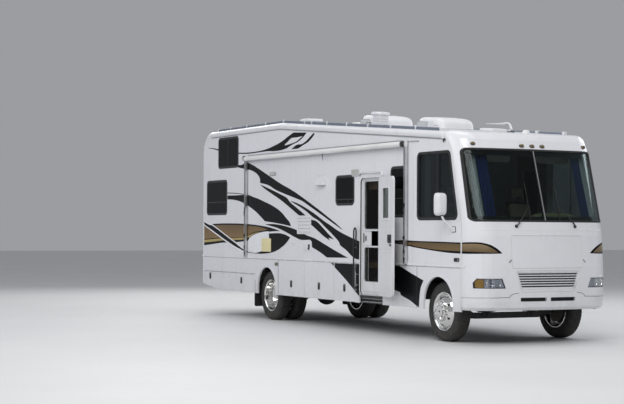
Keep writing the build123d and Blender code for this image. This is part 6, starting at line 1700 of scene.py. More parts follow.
def wipers():
    kit = Kit("wipers")
    for s in (-1, 1):
        pivot = on_cap(s * 0.549, 1.805)
        n = (on_cap(s * 0.549, 1.805, 1) - pivot).normalized()
        kit.lathe([(0, 0), (0, 0.027), (0.004, 0.028), (0.008, 0.024), (0.012, 0.016), (0.026, 0.014), (0.032, 0.011), (0.034, 0)], pivot, n, M["black"], 32)
        kit.bolt(pivot + n * 0.030, n, 0.008, M["black"])
        # arm: cranked head, pressed channel with its spring, hook at the blade
        d = -s
        tip = (s * 0.549 + d * 0.255, 2.085)
        path = [on_cap(s * 0.549, 1.805, 0.020), on_cap(s * 0.549 + d * 0.035, 1.843, 0.030), on_cap(s * 0.549 + d * 0.075, 1.888, 0.033),
                on_cap(s * 0.549 + d * 0.130, 1.948, 0.026), on_cap(s * 0.549 + d * 0.195, 2.019, 0.020), on_cap(*tip, 0.017)]
        kit.tube(path[:3], [0.0135, 0.0125, 0.0110], M["black"], 14, squash=0.7)
        kit.tube(path[1:], [0.0100, 0.0090, 0.0075, 0.0062, 0.0056], M["black"], 12, squash=0.6)
        kit.tube([path[1] + n * 0.004, path[2] + n * 0.006, path[3] + n * 0.005], 0.0042, M["steel_dark"], 10)
        # blade with its yokes and rubber
        a, b = (tip[0] - 0.015 * s, tip[1] - 0.36), (tip[0] - 0.02 * s, tip[1] + 0.40)
        blade = [(a[0] + (b[0] - a[0]) * t, max(1.905, a[1] + (b[1] - a[1]) * t)) for t in (0.18, 0.3, 0.42, 0.5, 0.58, 0.7, 0.82, 1.0)]
        kit.sweep([on_cap(y, z, -0.0135) for y, z in blade], [(-0.0032, 0), (-0.0045, 0.0065), (-0.007, 0.009), (0.007, 0.009), (0.0045, 0.0065), (0.0032, 0)], M["rubber"], up=tuple(n))
        kit.sweep([on_cap(y, z, -0.004) for y, z in blade], [(-0.006, 0), (-0.006, 0.003), (0.006, 0.003), (0.006, 0)], M["black"], up=tuple(n))
        for t0, t1, lift in ((0.0, 0.45, 0.006), (0.52, 0.98, 0.006), (0.2, 0.78, 0.013)):
            i0, i1 = t0 * (len(blade) - 1), t1 * (len(blade) - 1)
            pts = []
            for q in range(7):
                u = i0 + (i1 - i0) * q / 6
                k = min(int(u), len(blade) - 2)
                f = u - k
                y = blade[k][0] + (blade[k + 1][0] - blade[k][0]) * f
                z = blade[k][1] + (blade[k + 1][1] - blade[k][1]) * f
                pts.append(on_cap(y, z, -0.001 + lift * math.sin(math.pi * q / 6)))
            kit.sweep(pts, [(-0.0045, -0.003), (-0.0045, 0.002), (0.0045, 0.002), (0.0045, -0.003)], M["black"], up=tuple(n))
    kit.done("root", "black_plastic")


wipers()


def grille_and_slots():
    kit = Kit("grille_detail")
    # dark chamber behind the slats
    back = dense([(-0.500, 0.852), (0.500, 0.852), (0.580, 1.104), (-0.580, 1.104)], 0.06)
    kit.plate([back], on_cap, -0.062, -0.0335, M["rubber"], grid=lattice(back))
    # soft lip on the upper edge of each slat, raised frame, screws
    for i in range(6):
        z = 0.878 + i * 0.038
        y = 0.5035 + (z - 0.848) * 82 / 260 - 0.022
        for zz, w in ((z - 0.0012, 0.0012), (z + 0.0232, 0.0012)):
            yy = y + (0.0 if zz < z else 0.008)
            pts = [on_cap(-yy + 2 * yy * q / 36, zz, -0.0052) for q in range(37)]
            kit.tube(pts, w, M["panel_white"], 8, squash=0.9)
        for s in (-1, 1):
            pts = [on_cap(s * (y - 0.001 + 0.008 * q / 4), z - 0.001 + 0.0242 * q / 4, -0.0052) for q in range(5)]
            kit.tube(pts, 0.0012, M["panel_white"], 8)
        # vertical stays seen through the slots
        for q in range(-4, 5):
            yy = q * 0.115
            kit.plate([rect(yy - 0.004, yy + 0.004, z + 0.001, z + 0.021)], on_cap, -0.034, -0.026, M["black"])
    frame_line = dense(round_poly([(-0.506, 0.846), (0.506, 0.846), (0.588, 1.110), (-0.588, 1.110)], 0.012, 4), 0.05)
    kit.loop(frame_line, [(-0.0005, -0.010), (-0.0005, 0.0006), (0.002, 0.0022), (0.009, 0.0024), (0.011, 0.0002), (0.005, -0.0005)], on_cap, M["panel_white"])
    for y, z in ((-0.48, 0.862), (0.48, 0.862), (0, 0.862), (-0.56, 1.098), (0.56, 1.098), (0, 1.098)):
        kit.lathe([(0, 0), (0, 0.006), (0.002, 0.005), (0.003, 0.002), (0.003, 0)], on_cap(y, z, -0.006), (1, 0, 0), M["galvanised"], 16)
    # pressed groove round the grille, carried below it
    outline = dense(round_poly([(-0.490, 0.800), (0.490, 0.800), (0.612, 1.136), (-0.612, 1.136)], 0.030, 5), 0.05)
    kit.loop(outline, [(-0.0045, 0.0002), (-0.0015, 0.0018), (0.0035, 0.0020), (0.006, 0.0002)], on_cap, M["shell"])
    kit.loop(outline, [(-0.0075, 0.0001), (-0.0072, 0.0009), (-0.0046, 0.0009), (-0.0045, 0.0001)], on_cap, M["grey"])
    # mesh in the lower air slots
    for s in (-1, 1):
        kit.plate([dense(rrect(*sorted((s * 0.030, s * 0.516)), 0.656, 0.726, 0.010, 4), 0.06)], on_cap, -0.066, -0.060, M["rubber"])
        for k in range(25):
            y = s * (0.044 + 0.0195 * k)
            kit.tube([on_cap(y, 0.657, -0.040), on_cap(y, 0.691, -0.038), on_cap(y, 0.725, -0.040)], 0.0016, M["black"], 6)
        for z in (0.672, 0.691, 0.710):
            kit.tube([on_cap(s * (0.036 + 0.0474 * q), z, -0.0385) for q in range(11)], 0.0016, M["black"], 6)
        kit.loop(dense(rrect(*sorted((s * 0.034, s * 0.512)), 0.660, 0.722, 0.009, 4), 0.06), [(-0.002, -0.010), (-0.002, 0.0006), (0.001, 0.0020), (0.006, 0.0016), (0.008, 0.0001), (0.002, -0.0005)], on_cap, M["shell"])
    kit.done("root", "white_plastic")

    # hatch: seal line in the gap, slanted oval latches
    kit = Kit("hatch_fittings")
    ring = dense(rrect(-0.657, 0.657, 1.169, 1.661, 0.022, 5), 0.05)
    kit.loop(ring, [(-0.004, 0.0002), (-0.003, 0.0020), (-0.0005, 0.0020), (0.0005, 0.0002), (0, -0.006), (-0.003, -0.006)], on_cap, M["trim_white"])
    kit.done("front_hatch", "shell")
    kit = Kit("hatch_seal")
    kit.loop(ring, [(0.0006, -0.020), (0.0006, -0.006), (0.0028, -0.006), (0.0028, -0.020)], on_cap, M["rubber"])
    for s in (-1, 1):
        y, z = s * 0.690, 1.276
        oval = [(y + 0.030 * math.cos(a) * math.cos(0.7) * 1.0 - s * 0.016 * math.sin(a) * math.sin(0.7), z + 0.016 * math.sin(a) * math.cos(0.7) + s * 0.030 * math.cos(a) * math.sin(0.7) * -1)
                for a in [2 * math.pi * q / 28 for q in range(28)]]
        kit.plate([oval], on_cap, 0.0, 0.010, M["black"], bevel=0.003)
        kit.plate([[(y + (p[0] - y) * 0.62, z + (p[1] - z) * 0.62) for p in oval]], on_cap, 0.010, 0.0145, M["rubber"], bevel=0.002)
        kit.lathe([(0, 0), (0, 0.0048), (0.0012, 0.0044), (0.0012, 0)], on_cap(y, z, 0.0145), (1, 0, 0), M["chrome"], 16)
    kit.done("root", "black_plastic")


grille_and_slots()


def cap_lines():
    kit = Kit("cap_lines")
    for s in (-1, 1):
        # soft crease that runs from the corner under the windshield
        low = [(s * (0.02 + 0.05 * q), 1.745 + 0.004 * math.sin(q * 0.12)) for q in range(23)]
        kit.sweep([on_cap(y, z, 0.0) for y, z in low], [(-0.012, 0), (-0.007, 0.0032), (0.0, 0.0042), (0.007, 0.0032), (0.012, 0)], M["shell"], up=(1, 0, 0.12))
        # groove between the bumper moulding and the panel over it
        g = [(0.535 + 0.03 * q) for q in range(8)]
        pts = [(s * 0.545, 0.790)] + [(s * (0.545 + 0.155 * math.sin(q / 8 * math.pi / 2)), 0.790 - 0.062 * (1 - math.cos(q / 8 * math.pi / 2))) for q in range(1, 9)]
        pts += [(s * (0.70 + 0.046 * q), 0.728 - 0.0010 * q) for q in range(1, 8)]
        for h, w, mat in ((0.0004, 0.0045, M["grey"]), (0.0007, 0.0018, M["black"])):
            kit.sweep([on_cap(y, z, h) for y, z in pts], [(-w, -0.0006), (-w, 0.0010), (w, 0.0010), (w, -0.0006)], mat, up=(1, 0, 0))
        rc = lambda a, z, h=0.0, s=s: round_cap(a, z, h, s)
        kit.sweep([rc(0.004 + 0.028 * q, 0.716 + 0.0004 * q, 0.0006) for q in range(19)], [(-0.004, -0.0006), (-0.004, 0.0011), (0.004, 0.0011), (0.004, -0.0006)], M["grey"], up=(0.5, s * 0.5, 0))
        # belt moulding carried on to the cap's side
        kit.sweep([rc(0.0 + 0.02 * q, 1.1655, 0.0) for q in range(6)][::(1 if s < 0 else -1)], [(0, 0), (0.004, -0.001), (0.009, 0.006), (0.011, 0.016), (0.009, 0.026), (0.004, 0.033), (0, 0.032), (-0.003, 0.016)], M["trim_white"], up=(0, 0, 1))
        # brow over the headlamp
        brow = [(s * y, 1.026 + (0.010 if y < 1.0 else 0.006)) for y in [0.80 + 0.03 * q for q in range(14)]]
        kit.sweep([on_cap(y, z, 0.0) for y, z in brow], [(-0.008, 0), (-0.005, 0.0045), (0.001, 0.006), (0.006, 0.004), (0.008, 0)], M["shell"], up=(1, 0, 0))
    # row of clearance lights over the windshield
    for y in (-1.040, -0.193, 0.0, 0.193, 1.040):
        z = 3.070 if abs(y) > 1 else 3.054
        p = on_cap(y, z)
        n = (on_cap(y, z, 1) - p).normalized()
        superloft(kit, p, n.cross(Vector((0, 1, 0))).normalized(), (0, 1, 0), n, [(-0.002, 0.030, 0.046, 0), (0.006, 0.030, 0.046, 0), (0.010, 0.026, 0.042, 0)], M["black"], 36, 2.4)
        superloft(kit, p, n.cross(Vector((0, 1, 0))).normalized(), (0, 1, 0), n, [(0.008, 0.0255, 0.041, 0), (0.020, 0.0245, 0.039, 0), (0.030, 0.019, 0.031, 0), (0.0355, 0.010, 0.017, 0), (0.037, 0.002, 0.003, 0)], M["lens_olive"], 36, 2.2)
    kit.done("root", "shell")


cap_lines()


def headlamps():
    kit = Kit("headlamps")
    base = [(-1.2205, 0.8635), (-0.767, 0.8635), (-0.8275, 1.0105), (-1.1885, 1.0105), (-1.2245, 0.950)]
    for s in (-1, 1):
        edge = [(p[0] * -s, p[1]) for p in base] if s > 0 else [(p[0], p[1]) for p in base]
        edge = round_poly(edge if area2(edge) > 0 else edge[::-1], 0.014, 5)
        ring = dense(edge, 0.03)
        inner = dense(shrink(ring, 0.009), 0.03)
        # deep housing: rim, side walls, back
        kit.loop(ring, [(0.0, -0.044), (0.0, -0.0065), (-0.004, -0.0045), (-0.009, -0.0062), (-0.009, -0.044)], on_cap, M["black"])
        kit.plate([inner], on_cap, -0.046, -0.0425, M["black"], grid=lattice(inner, 0.05, 0.05))
        # clear cover, following the cap
        kit.plate([inner], on_cap, -0.0085, -0.0055, M["glass_lens"], grid=lattice(inner, 0.03, 0.03))
        # inner lamp bowls: parabola of small facets, bulb and shade
        for y, r in ((-0.905, 0.062), (-1.030, 0.060)):
            p = on_cap(-y * (1 if s > 0 else -1), 0.938, -0.012)
            kit.lathe([(-0.004, r), (0.0, r + 0.003), (0.003, r + 0.002), (0.001, r - 0.002), (-0.010, r * 0.86), (-0.020, r * 0.62), (-0.027, r * 0.36), (-0.029, 0.008), (-0.030, 0), (-0.031, 0), (-0.030, r * 0.5), (-0.018, r * 0.95)],
                      p, (1, 0, 0), M["chrome"], 40)
            kit.lathe([(-0.029, 0), (-0.029, 0.007), (-0.012, 0.007), (-0.006, 0.005), (-0.003, 0)], p, (1, 0, 0), M["lens_clear"], 20)
            kit.lathe([(-0.014, 0), (-0.014, 0.013), (-0.004, 0.0135), (-0.002, 0.012), (-0.002, 0)], p, (1, 0, 0), M["chrome"], 24)
        # bright bezel between the bowls, amber turn lamp in the corner
        bez = [(-1.105, 0.872), (-0.785, 0.872), (-0.838, 1.003), (-1.105, 1.003)]
        bez = [(q[0] * -s, q[1]) for q in bez] if s > 0 else bez
        bez = round_poly(bez if area2(bez) > 0 else bez[::-1], 0.010, 4)
        c1 = circle(0.905 * s, 0.938, 0.062, 36)
        c2 = circle(1.030 * s, 0.938, 0.060, 36)
        kit.plate([dense(bez, 0.03), c1, c2], on_cap, -0.020, -0.0145, M["reflector"], grid=[])
        amb = [(-1.208, 0.874), (-1.112, 0.874), (-1.112, 1.002), (-1.186, 1.002), (-1.212, 0.950)]
        amb = [(q[0] * -s, q[1]) for q in amb] if s > 0 else amb
        amb = dense(round_poly(amb if area2(amb) > 0 else amb[::-1], 0.010, 4), 0.02)
        kit.plate([amb], on_cap, -0.036, -0.012, M["lens_amber"], grid=lattice(amb, 0.02, 0.03))
        # flutes moulded in the cover's lower edge
        for q in range(12):
            y = s * (0.80 + 0.025 * q)
            kit.tube([on_cap(y, 0.876, -0.009), on_cap(y, 0.888, -0.0088)], 0.0022, M["glass_lens"], 8)
    kit.done("root", "lamp_lens", replaces="headlights")


headlamps()


# ---------------------------------------------------------------------------- wheels
TREAD_LINES = [(-0.050, 0.009, 0.4), (-0.017, 0.008, 0.1), (0.017, 0.008, 0.6), (0.050, 0.009, 0.9)]


def tyre_mesh(kit, x, y, out):
    """Tyre with moulded sidewalls, ribs, zigzag grooves and shoulder notches."""
    side = [(0.0920, 0.2885), (0.0940, 0.2960), (0.0980, 0.3045), (0.1060, 0.3110), (0.1115, 0.3160), (0.1125, 0.3200), (0.1150, 0.3215), (0.1160, 0.3270),
            (0.1172, 0.3330), (0.1190, 0.3340), (0.1200, 0.3440), (0.1215, 0.3560), (0.1222, 0.3660), (0.1212, 0.3665), (0.1205, 0.3760), (0.1212, 0.3765),
            (0.1205, 0.3880), (0.1190, 0.4020), (0.1172, 0.4140), (0.1180, 0.4150), (0.1165, 0.4200), (0.1140, 0.4270), (0.1090, 0.4370)]
    shoulder = [(0.1040, 0.4465), (0.0985, 0.4550), (0.0930, 0.4605), (0.0860, 0.4650)]
    steps = 288
    tri = lambda u: 4 * abs((u % 1.0) - 0.5) - 1
    verts, m = [], 0
    for i in range(steps):
        a = 2 * math.pi * i / steps
        notch = (i % 6) < 2
        row = [(-p[0], p[1]) for p in side]
        low = lambda p: (p[0] - (0.004 if notch else 0), p[1] - (0.007 if notch else 0))
        row += [(-q[0], q[1]) for q in map(low, shoulder)]
        top = lambda t: 0.4716 - 0.0050 * (t / 0.086) ** 2
        row += [(-0.074, top(0.074) - (0.006 if notch else 0)), (-0.066, top(0.066))]
        for c, w, ph in TREAD_LINES:
            g = c + 0.0035 * tri(i / 9.0 + ph)
            row += [(g - w / 2 - 0.0006, top(g)), (g - w / 2, top(g) - 0.0010), (g - w / 2 + 0.0018, top(g) - 0.0125), (g + w / 2 - 0.0018, top(g) - 0.0125), (g + w / 2, top(g) - 0.0010), (g + w / 2 + 0.0006, top(g))]
        row += [(0.066, top(0.066)), (0.074, top(0.074) - (0.006 if notch else 0))]
        row += [low(p) for p in reversed(shoulder)]
        row += [tuple(p) for p in reversed(side)]
        m = len(row)
        verts += [(x + r * math.sin(a), y + out * t, HUB_Z + r * math.cos(a)) for t, r in row]
    faces = []
    for i in range(steps):
        j = (i + 1) % steps
        faces += [(i * m + q, i * m + q + 1, j * m + q + 1, j * m + q) for q in range(m - 1)]
        faces.append((i * m + m - 1, i * m, j * m, j * m + m - 1))
    bm = bmesh.new()
    vs = [bm.verts.new(v) for v in verts]
    for f in faces:
        bm.faces.new([vs[k] for k in f])
    bmesh.ops.recalc_face_normals(bm, faces=bm.faces)
    kit.take(bm, M["tyre"])
    # wear bars' marks and mould vents on the sidewall
    for q in range(12):
        a = 2 * math.pi * (q + 0.25) / 12
        for r in (0.350, 0.395):
            p = Vector((x + r * math.sin(a), y + out * 0.1212, HUB_Z + r * math.cos(a)))
            kit.lathe([(-0.003, 0), (-0.003, 0.0035), (0.0006, 0.003), (0.0006, 0)], p, (0, out, 0), M["tyre"], 8)


def wheel_detail(kit, x, y, out, dish, hub_len, nuts_at):
    """Lip bead, balance weight, valve, ring of nut covers, hub cover with its bolts."""
    c = Vector((x, y, HUB_Z))
    ax = Vector((0, out, 0))
    kit.lathe([(0.104, 0.2925), (0.1095, 0.2945), (0.1115, 0.2985), (0.1100, 0.3025), (0.1060, 0.3038), (0.1020, 0.3000)], c, ax, M["wheel"], 96, closed=True)
    for q in range(10):
        a = 2 * math.pi * q / 10 + math.radians(18)
        p = c + Vector((0.1429 * math.sin(a), 0, 0.1429 * math.cos(a))) + ax * nuts_at
        kit.lathe([(0, 0), (0, 0.0235), (0.004, 0.0240), (0.007, 0.0200), (0.0075, 0)], p, ax, M["wheel"], 24)
        kit.lathe([(0.004, 0), (0.004, 0.0185), (0.026, 0.0180), (0.0325, 0.0150), (0.0370, 0.0095), (0.0385, 0)], p, ax, M["chrome"], 6)
    # stepped hub cover
    h = nuts_at
    kit.lathe([(h - 0.008, 0), (h - 0.008, 0.1010), (h + 0.002, 0.1020), (h + 0.006, 0.0975), (h + 0.010, 0.0945), (h + 0.028, 0.0900), (h + 0.033, 0.0865), (h + 0.036, 0.0800),
               (h + 0.038, 0.0620), (h + 0.036, 0.0600), (h + 0.036, 0.0480), (h + 0.040, 0.0440), (h + 0.041, 0)], c, ax, M["chrome"], 72)
    for q in range(8):
        a = 2 * math.pi * q / 8 + 0.2
        kit.bolt(c + Vector((0.071 * math.sin(a), 0, 0.071 * math.cos(a))) + ax * (h + 0.0365), ax, 0.0052, M["galvanised"])
    kit.lathe([(h + 0.040, 0), (h + 0.040, 0.016), (h + 0.044, 0.015), (h + 0.045, 0)], c, ax, M["rubber"], 24)
    # hand holes: rolled lips round the round openings of the disc
    s = 1 if dish > 0 else -1
    for q in range(6):
        a = math.radians(30 + 60 * q)
        r = 0.208
        t = 0.150 - (0.208 - 0.185) / 0.050 * 0.040 if s > 0 else -0.118 + (0.222 - 0.208) / 0.040 * -0.032
        p = c + Vector((r * math.cos(a), 0, r * math.sin(a)))
        n = (ax + Vector((math.cos(a), 0, math.sin(a))) * (0.8 * s)).normalized()
        pts = []
        u = n.cross(ax).normalized()
        v = n.cross(u)
        for k in range(24):
            b = 2 * math.pi * k / 24
            pts.append(p + ax * (0.1318 if s > 0 else -0.1375) + (u * math.cos(b) + v * math.sin(b)) * 0.0225)
        kit.tube(pts, 0.0028, M["wheel"], 8, closed=True)
    # valve
    a = math.radians(96)
    p = c + Vector((0.232 * math.cos(a), 0, 0.232 * math.sin(a))) + ax * (0.108 if s > 0 else -0.100)
    d = (ax + Vector((-math.cos(a), 0, -math.sin(a))) * 0.15).normalized()
    kit.rod(p, p + d * 0.040, 0.0046, M["galvanised"], 12)
    kit.rod(p + d * 0.036, p + d * 0.048, 0.0056, M["black"], 12)
    a = math.radians(215)
    pts = [c + Vector((0.2905 * math.cos(a + k * 0.03), 0, 0.2905 * math.sin(a + k * 0.03))) + ax * 0.1075 for k in range(7)]
    kit.tube(pts, 0.0050, M["galvanised"], 10, squash=0.7)


for tag, s in (("left", 1), ("right", -1)):
    kit = Kit("front_tyre_tread_" + tag)
    tyre_mesh(kit, FRONT_AXLE, s * 1.060, s)
    kit.done("front_wheel_" + tag, "tyre", replaces="front_tyre_" + tag, sharp=32)
    kit = Kit("front_wheel_fittings_" + tag)
    wheel_detail(kit, FRONT_AXLE, s * 1.060, s, 150, 0, 0.150)
    kit.done("front_wheel_" + tag, "bright_wheel")
    kit = Kit("rear_tyre_tread_" + tag)
    for y in (1.0975, 0.7635):
        tyre_mesh(kit, REAR_AXLE, s * y, s)
    kit.done("rear_wheels_" + tag, "tyre", replaces="rear_tyres_" + tag, sharp=32)
    kit = Kit("rear_wheel_fittings_" + tag)
    wheel_detail(kit, REAR_AXLE, s * 1.0975, s, -167, 0, -0.155)
    kit.done("rear_wheels_" + tag, "bright_wheel")


# ---------------------------------------------------------------------------- underbody
def underbody():
    kit = Kit("underbody_fittings")
    steel, zinc = M["steel_dark"], M["galvanised"]
    # hoses and wiring clipped along the frame, U-bolts and their plates, shock absorbers, mud flaps
    for s in (-1, 1):
        pts = [(x, s * (0.405 + 0.006 * math.sin(x * 2.3)), 0.868 + 0.008 * math.sin(x * 3.1)) for x in [-4.4 + 0.25 * i for i in range(33)]]
        kit.tube(pts, 0.010, M["black"], 8)
        for x, y in ((FRONT_AXLE, 0.43), (REAR_AXLE, 0.50)):
            for dx in (-0.06, 0.06):
                for dy in (-0.045, 0.045):
                    kit.rod((x + dx, s * y + dy, HUB_Z - 0.085), (x + dx, s * y + dy, HUB_Z + 0.02), 0.009, steel, 12)
                    kit.bolt((x + dx, s * y + dy, HUB_Z - 0.080), (0, 0, -1), 0.012, steel)
        for x in (3.90, -1.70):
            a, b = Vector((x, s * 0.60, 0.44)), Vector((x + 0.06, s * 0.47, 0.80))
            d = b - a
            kit.rod(a, a + d * 0.55, 0.028, M["grey"], 24, 0.004)
            kit.rod(a + d * 0.5, b, 0.036, steel, 24, 0.004)
        for x in (-2.545,):
            kit.plate([rrect(s * 0.98 - 0.30, s * 0.98 + 0.28, 0.235, 0.74, 0.03, 4)], lambda a, b, h=0.0, x=x: Vector((x - 0.03 - h + 0.010 * math.sin(a * 9), a, b)), 0.0, 0.010, M["rubber"], grid=[(s * 0.98 - 0.26 + 0.06 * i, 0.30 + 0.08 * j) for i in range(9) for j in range(5)])
    kit.done("root", "frame_steel")


underbody()


# ---------------------------------------------------------------------------- rear face, drip cap, step
def rear_face():
    kit = Kit("rear_fittings")
    back = lambda a, b, h=0.0: Vector((REAR_X - h, a, b))
    flat = lambda y0, y1, z0, z1, h0, h1, mat, bevel=0.003, r=0.01: kit.plate([rrect(y0, y1, z0, z1, r, 4)], back, h0, h1, mat, bevel=bevel)
    # clearance lights along the top, camera hood, bezels round the lamps
    for y in (-1.05, -0.20, 0.0, 0.20, 1.05):
        flat(y - 0.060, y + 0.060, 3.205, 3.245, 0.0, 0.006, M["black"], 0.002, 0.015)
        flat(y - 0.050, y + 0.050, 3.212, 3.238, 0.006, 0.022, M["lens_red"], 0.005, 0.012)
    flat(-0.045, 0.045, 3.085, 3.145, 0.0, 0.020, M["panel_white"], 0.006, 0.015)
    kit.lathe([(0, 0), (0, 0.014), (0.006, 0.014), (0.007, 0.009), (0.004, 0)], back(0, 3.112, 0.020), (-1, 0, 0), M["glass_lens"], 24)
    # belt moulding across the back on both sides of the ramp
    for a, b in ((-1.275, -0.925), (0.925, 1.275)):
        kit.sweep([back(a, 1.1655), back(b, 1.1655)], [(0, 0), (-0.004, -0.001), (-0.010, 0.006), (-0.012, 0.016), (-0.010, 0.026), (-0.004, 0.033), (0, 0.032)], M["trim_white"])
    for s in (-1, 1):
        kit.loop(rrect(*sorted((s * 1.245, s * 1.175)), 0.80, 1.30, 0.012, 4), [(-0.003, 0.0), (-0.002, 0.010), (0.006, 0.010), (0.010, 0.004), (0.010, 0.0)], back, M["trim_white"])
        for z in (0.845, 1.255):
            kit.lathe([(0, 0), (0, 0.006), (0.002, 0.005), (0.003, 0)], back(s * 1.160, z), (-1, 0, 0), M["galvanised"], 14)
    # plate bracket with its lamp, blank
    flat(-0.175, 0.175, 0.715, 0.885, 0.0, 0.006, M["black"], 0.002, 0.012)
    flat(-0.152, 0.152, 0.724, 0.876, 0.006, 0.0085, M["plate"], 0.001, 0.010)
    for y in (-0.11, 0.11):
        for z in (0.737, 0.863):
            kit.lathe([(0, 0), (0, 0.006), (0.003, 0.005), (0.003, 0)], back(y, z, 0.0085), (-1, 0, 0), M["galvanised"], 12)
    flat(-0.045, 0.045, 0.890, 0.915, 0.0, 0.028, M["black"], 0.004, 0.006)
    kit.done("root", "shell")
    return


def ramp_fittings():
    me = NODES["ramp_door"].data
    xs = [v.co.x for v in me.vertices]
    ys = [v.co.y for v in me.vertices]
    zs = [v.co.z for v in me.vertices]
    x0, y0, y1, z0, z1 = -5.210, min(ys), max(ys), min(zs), max(zs)
    kit = Kit("ramp_fittings")
    back = lambda a, b, h=0.0: Vector((x0 - h, a, b))
    # edge trim, two bar locks with their keepers, stiffening ribs pressed in the skin, pull handles
    kit.loop(rrect(y0 + 0.012, y1 - 0.012, z0 + 0.012, z1 - 0.012, 0.020, 5), [(-0.010, 0.0), (-0.008, 0.004), (0.006, 0.004), (0.008, 0.0)], back, M["trim_white"])
    for s in (-1, 1):
        y = s * (min(-y0, y1) - 0.11)
        kit.rod(back(y, z0 + 0.10, 0.016), back(y, z1 - 0.10, 0.016), 0.010, M["galvanised"], 16)
        for z in (z0 + 0.14, z0 + 0.75, z1 - 0.75, z1 - 0.14):
            kit.plate([rrect(y - 0.030, y + 0.030, z - 0.022, z + 0.022, 0.006, 4)], back, 0.0, 0.006, M["galvanised"], bevel=0.002)
            kit.plate([rrect(y - 0.014, y + 0.014, z - 0.018, z + 0.018, 0.004, 3)], back, 0.006, 0.028, M["galvanised"], bevel=0.002)
            for dy in (-0.022, 0.022):
                kit.lathe([(0, 0), (0, 0.0045), (0.002, 0.004), (0.003, 0)], back(y + dy, z, 0.006), (-1, 0, 0), M["steel_dark"], 12)
        kit.tube([back(y, z0 + 0.62, 0.018), back(y - s * 0.06, z0 + 0.625, 0.030), back(y - s * 0.20, z0 + 0.63, 0.032), back(y - s * 0.24, z0 + 0.63, 0.030)], [0.009, 0.009, 0.011, 0.009], M["galvanised"], 14, squash=0.6)
        kit.plate([rrect(*sorted((y - s * 0.17, y - s * 0.25)), z0 + 0.60, z0 + 0.66, 0.008, 4)], back, 0.0, 0.022, M["black"], bevel=0.003)
        kit.tube([back(s * 0.34, z0 + 0.20, 0.0), back(s * 0.34, z0 + 0.21, 0.030), back(s * 0.26, z0 + 0.21, 0.034), back(s * 0.18, z0 + 0.21, 0.030), back(s * 0.18, z0 + 0.20, 0.0)], 0.008, M["black"], 12)
    for z in (z0 + 0.48, z0 + 0.98, z0 + 1.48):
        if z < z1 - 0.2:
            kit.plate([stripe([(y0 + 0.20, z), (y1 - 0.20, z)], 0.010, 1)], back, 0.0, 0.0016, M["trim_white"])
    kit.done("ramp_door", "shell")
    kit = Kit("ramp_hinge")
    for q in range(9):
        y = y0 + 0.06 + (y1 - y0 - 0.12) * q / 8
        kit.rod((-5.214, y - 0.055, 1.096), (-5.214, y + 0.055, 1.096), 0.0045, M["galvanised"], 16)
    kit.done("root", "shell")
    # tread strips on the inner face of the ramp, and its edge rails
    x1 = max(xs)
    kit = Kit("ramp_tread")
    face = lambda a, b, h=0.0: Vector((x1 + h, a, b))
    n = max(6, int((z1 - z0) / 0.16))
    for q in range(1, n):
        z = z0 + (z1 - z0) * q / n
        kit.plate([rrect(y0 + 0.10, y1 - 0.10, z - 0.016, z + 0.016, 0.004, 3)], face, -0.002, 0.003, M["rubber"], bevel=0.001)
    for y in (y0 + 0.035, y1 - 0.035):
        kit.plate([rrect(y - 0.018, y + 0.018, z0 + 0.03, z1 - 0.03, 0.004, 3)], face, -0.002, 0.004, M["galvanised"], bevel=0.001)
    kit.done("ramp_door", "floor")


rear_face()
ramp_fittings()


def door_surround():
    kit = Kit("door_surround")
    # drip cap over the doorway, its ends sloped
    o = on_side(-1)
    top = [(1.638, 2.655), (1.690, 2.708), (2.420, 2.708), (2.466, 2.655)]
    kit.sweep([o(*p) for p in top], [(0, 0), (0.004, -0.004), (0.034, -0.002), (0.038, 0.003), (0.034, 0.008), (0.008, 0.012), (0.0, 0.012)], M["panel_white"], up=(0, -0.35, 1))
    # grey stripe under the drip cap: painted shadow
    kit.plate([stripe([(1.655, 2.648), (1.700, 2.694), (2.410, 2.694), (2.452, 2.648)], 0.010, 2)], o, 0.0002, 0.003, M["grey"])
    # rubber seal round the opening
    kit.loop(rrect(1.6775, 2.4265, 0.6425, 2.6175, 0.0775, 8), [(0.0, -0.020), (0.0, -0.004), (0.002, -0.001), (0.006, -0.002), (0.006, -0.020)], o, M["rubber"])
    kit.done("root", "white_metal")
    # rungs and brackets between the grab rail and the wall
    kit = Kit("rail_brackets")
    for z in (0.760, 1.110, 1.440):
        kit.rod((1.556, -W, z), (1.556, -1.345, z), 0.007, M["galvanised"], 12)
        kit.plate([rrect(1.533, 1.579, z - 0.030, z + 0.030, 0.008, 4)], o, 0.0, 0.006, M["black"], bevel=0.002)
    for z in (0.98, 0.80):
        kit.tube([o(1.50, z + 0.035, 0.004), o(1.530, z + 0.012, 0.014), o(1.575, z - 0.004, 0.016), o(1.625, z - 0.002, 0.012)], 0.0055, M["alu"], 10)
    kit.tube([o(1.512, 1.020, 0.004), o(1.540, 0.90, 0.010), o(1.545, 0.78, 0.010), o(1.540, 0.70, 0.004)], 0.0050, M["alu"], 10)
    for q in range(14):
        z = 1.50 + 0.014 * q
        kit.lathe([(-0.003, 0.0135), (0, 0.0142), (0.003, 0.0135)], (1.556, -1.345, z), (0, 0, 1), M["rubber"], 16, closed=False)
    kit.done("root", "black_plastic")
    # folded step: tread plates with raised bars, side links
    kit = Kit("step_treads")
    for z, y in ((0.526, -1.150), (0.582, -1.140)):
        for q in range(9):
            yy = y - 0.096 + 0.024 * q
            kit.box((1.700, yy - 0.003, z - 0.001), (2.400, yy + 0.003, z + 0.0035), M["alu"], 0.001)
    for q in range(8):
        x = 1.72 + 0.095 * q
        kit.box((x - 0.002, -1.2725, 0.500), (x + 0.002, -1.2700, 0.526), M["alu"], 0.0008)
    kit.box((1.69, -1.2735, 0.5175), (2.41, -1.270, 0.5245), M["alu"], 0.0015)
    kit.box((1.69, -1.2635, 0.5735), (2.41, -1.260, 0.5805), M["alu"], 0.0015)
    kit.done("root", "frame_steel")


door_surround()


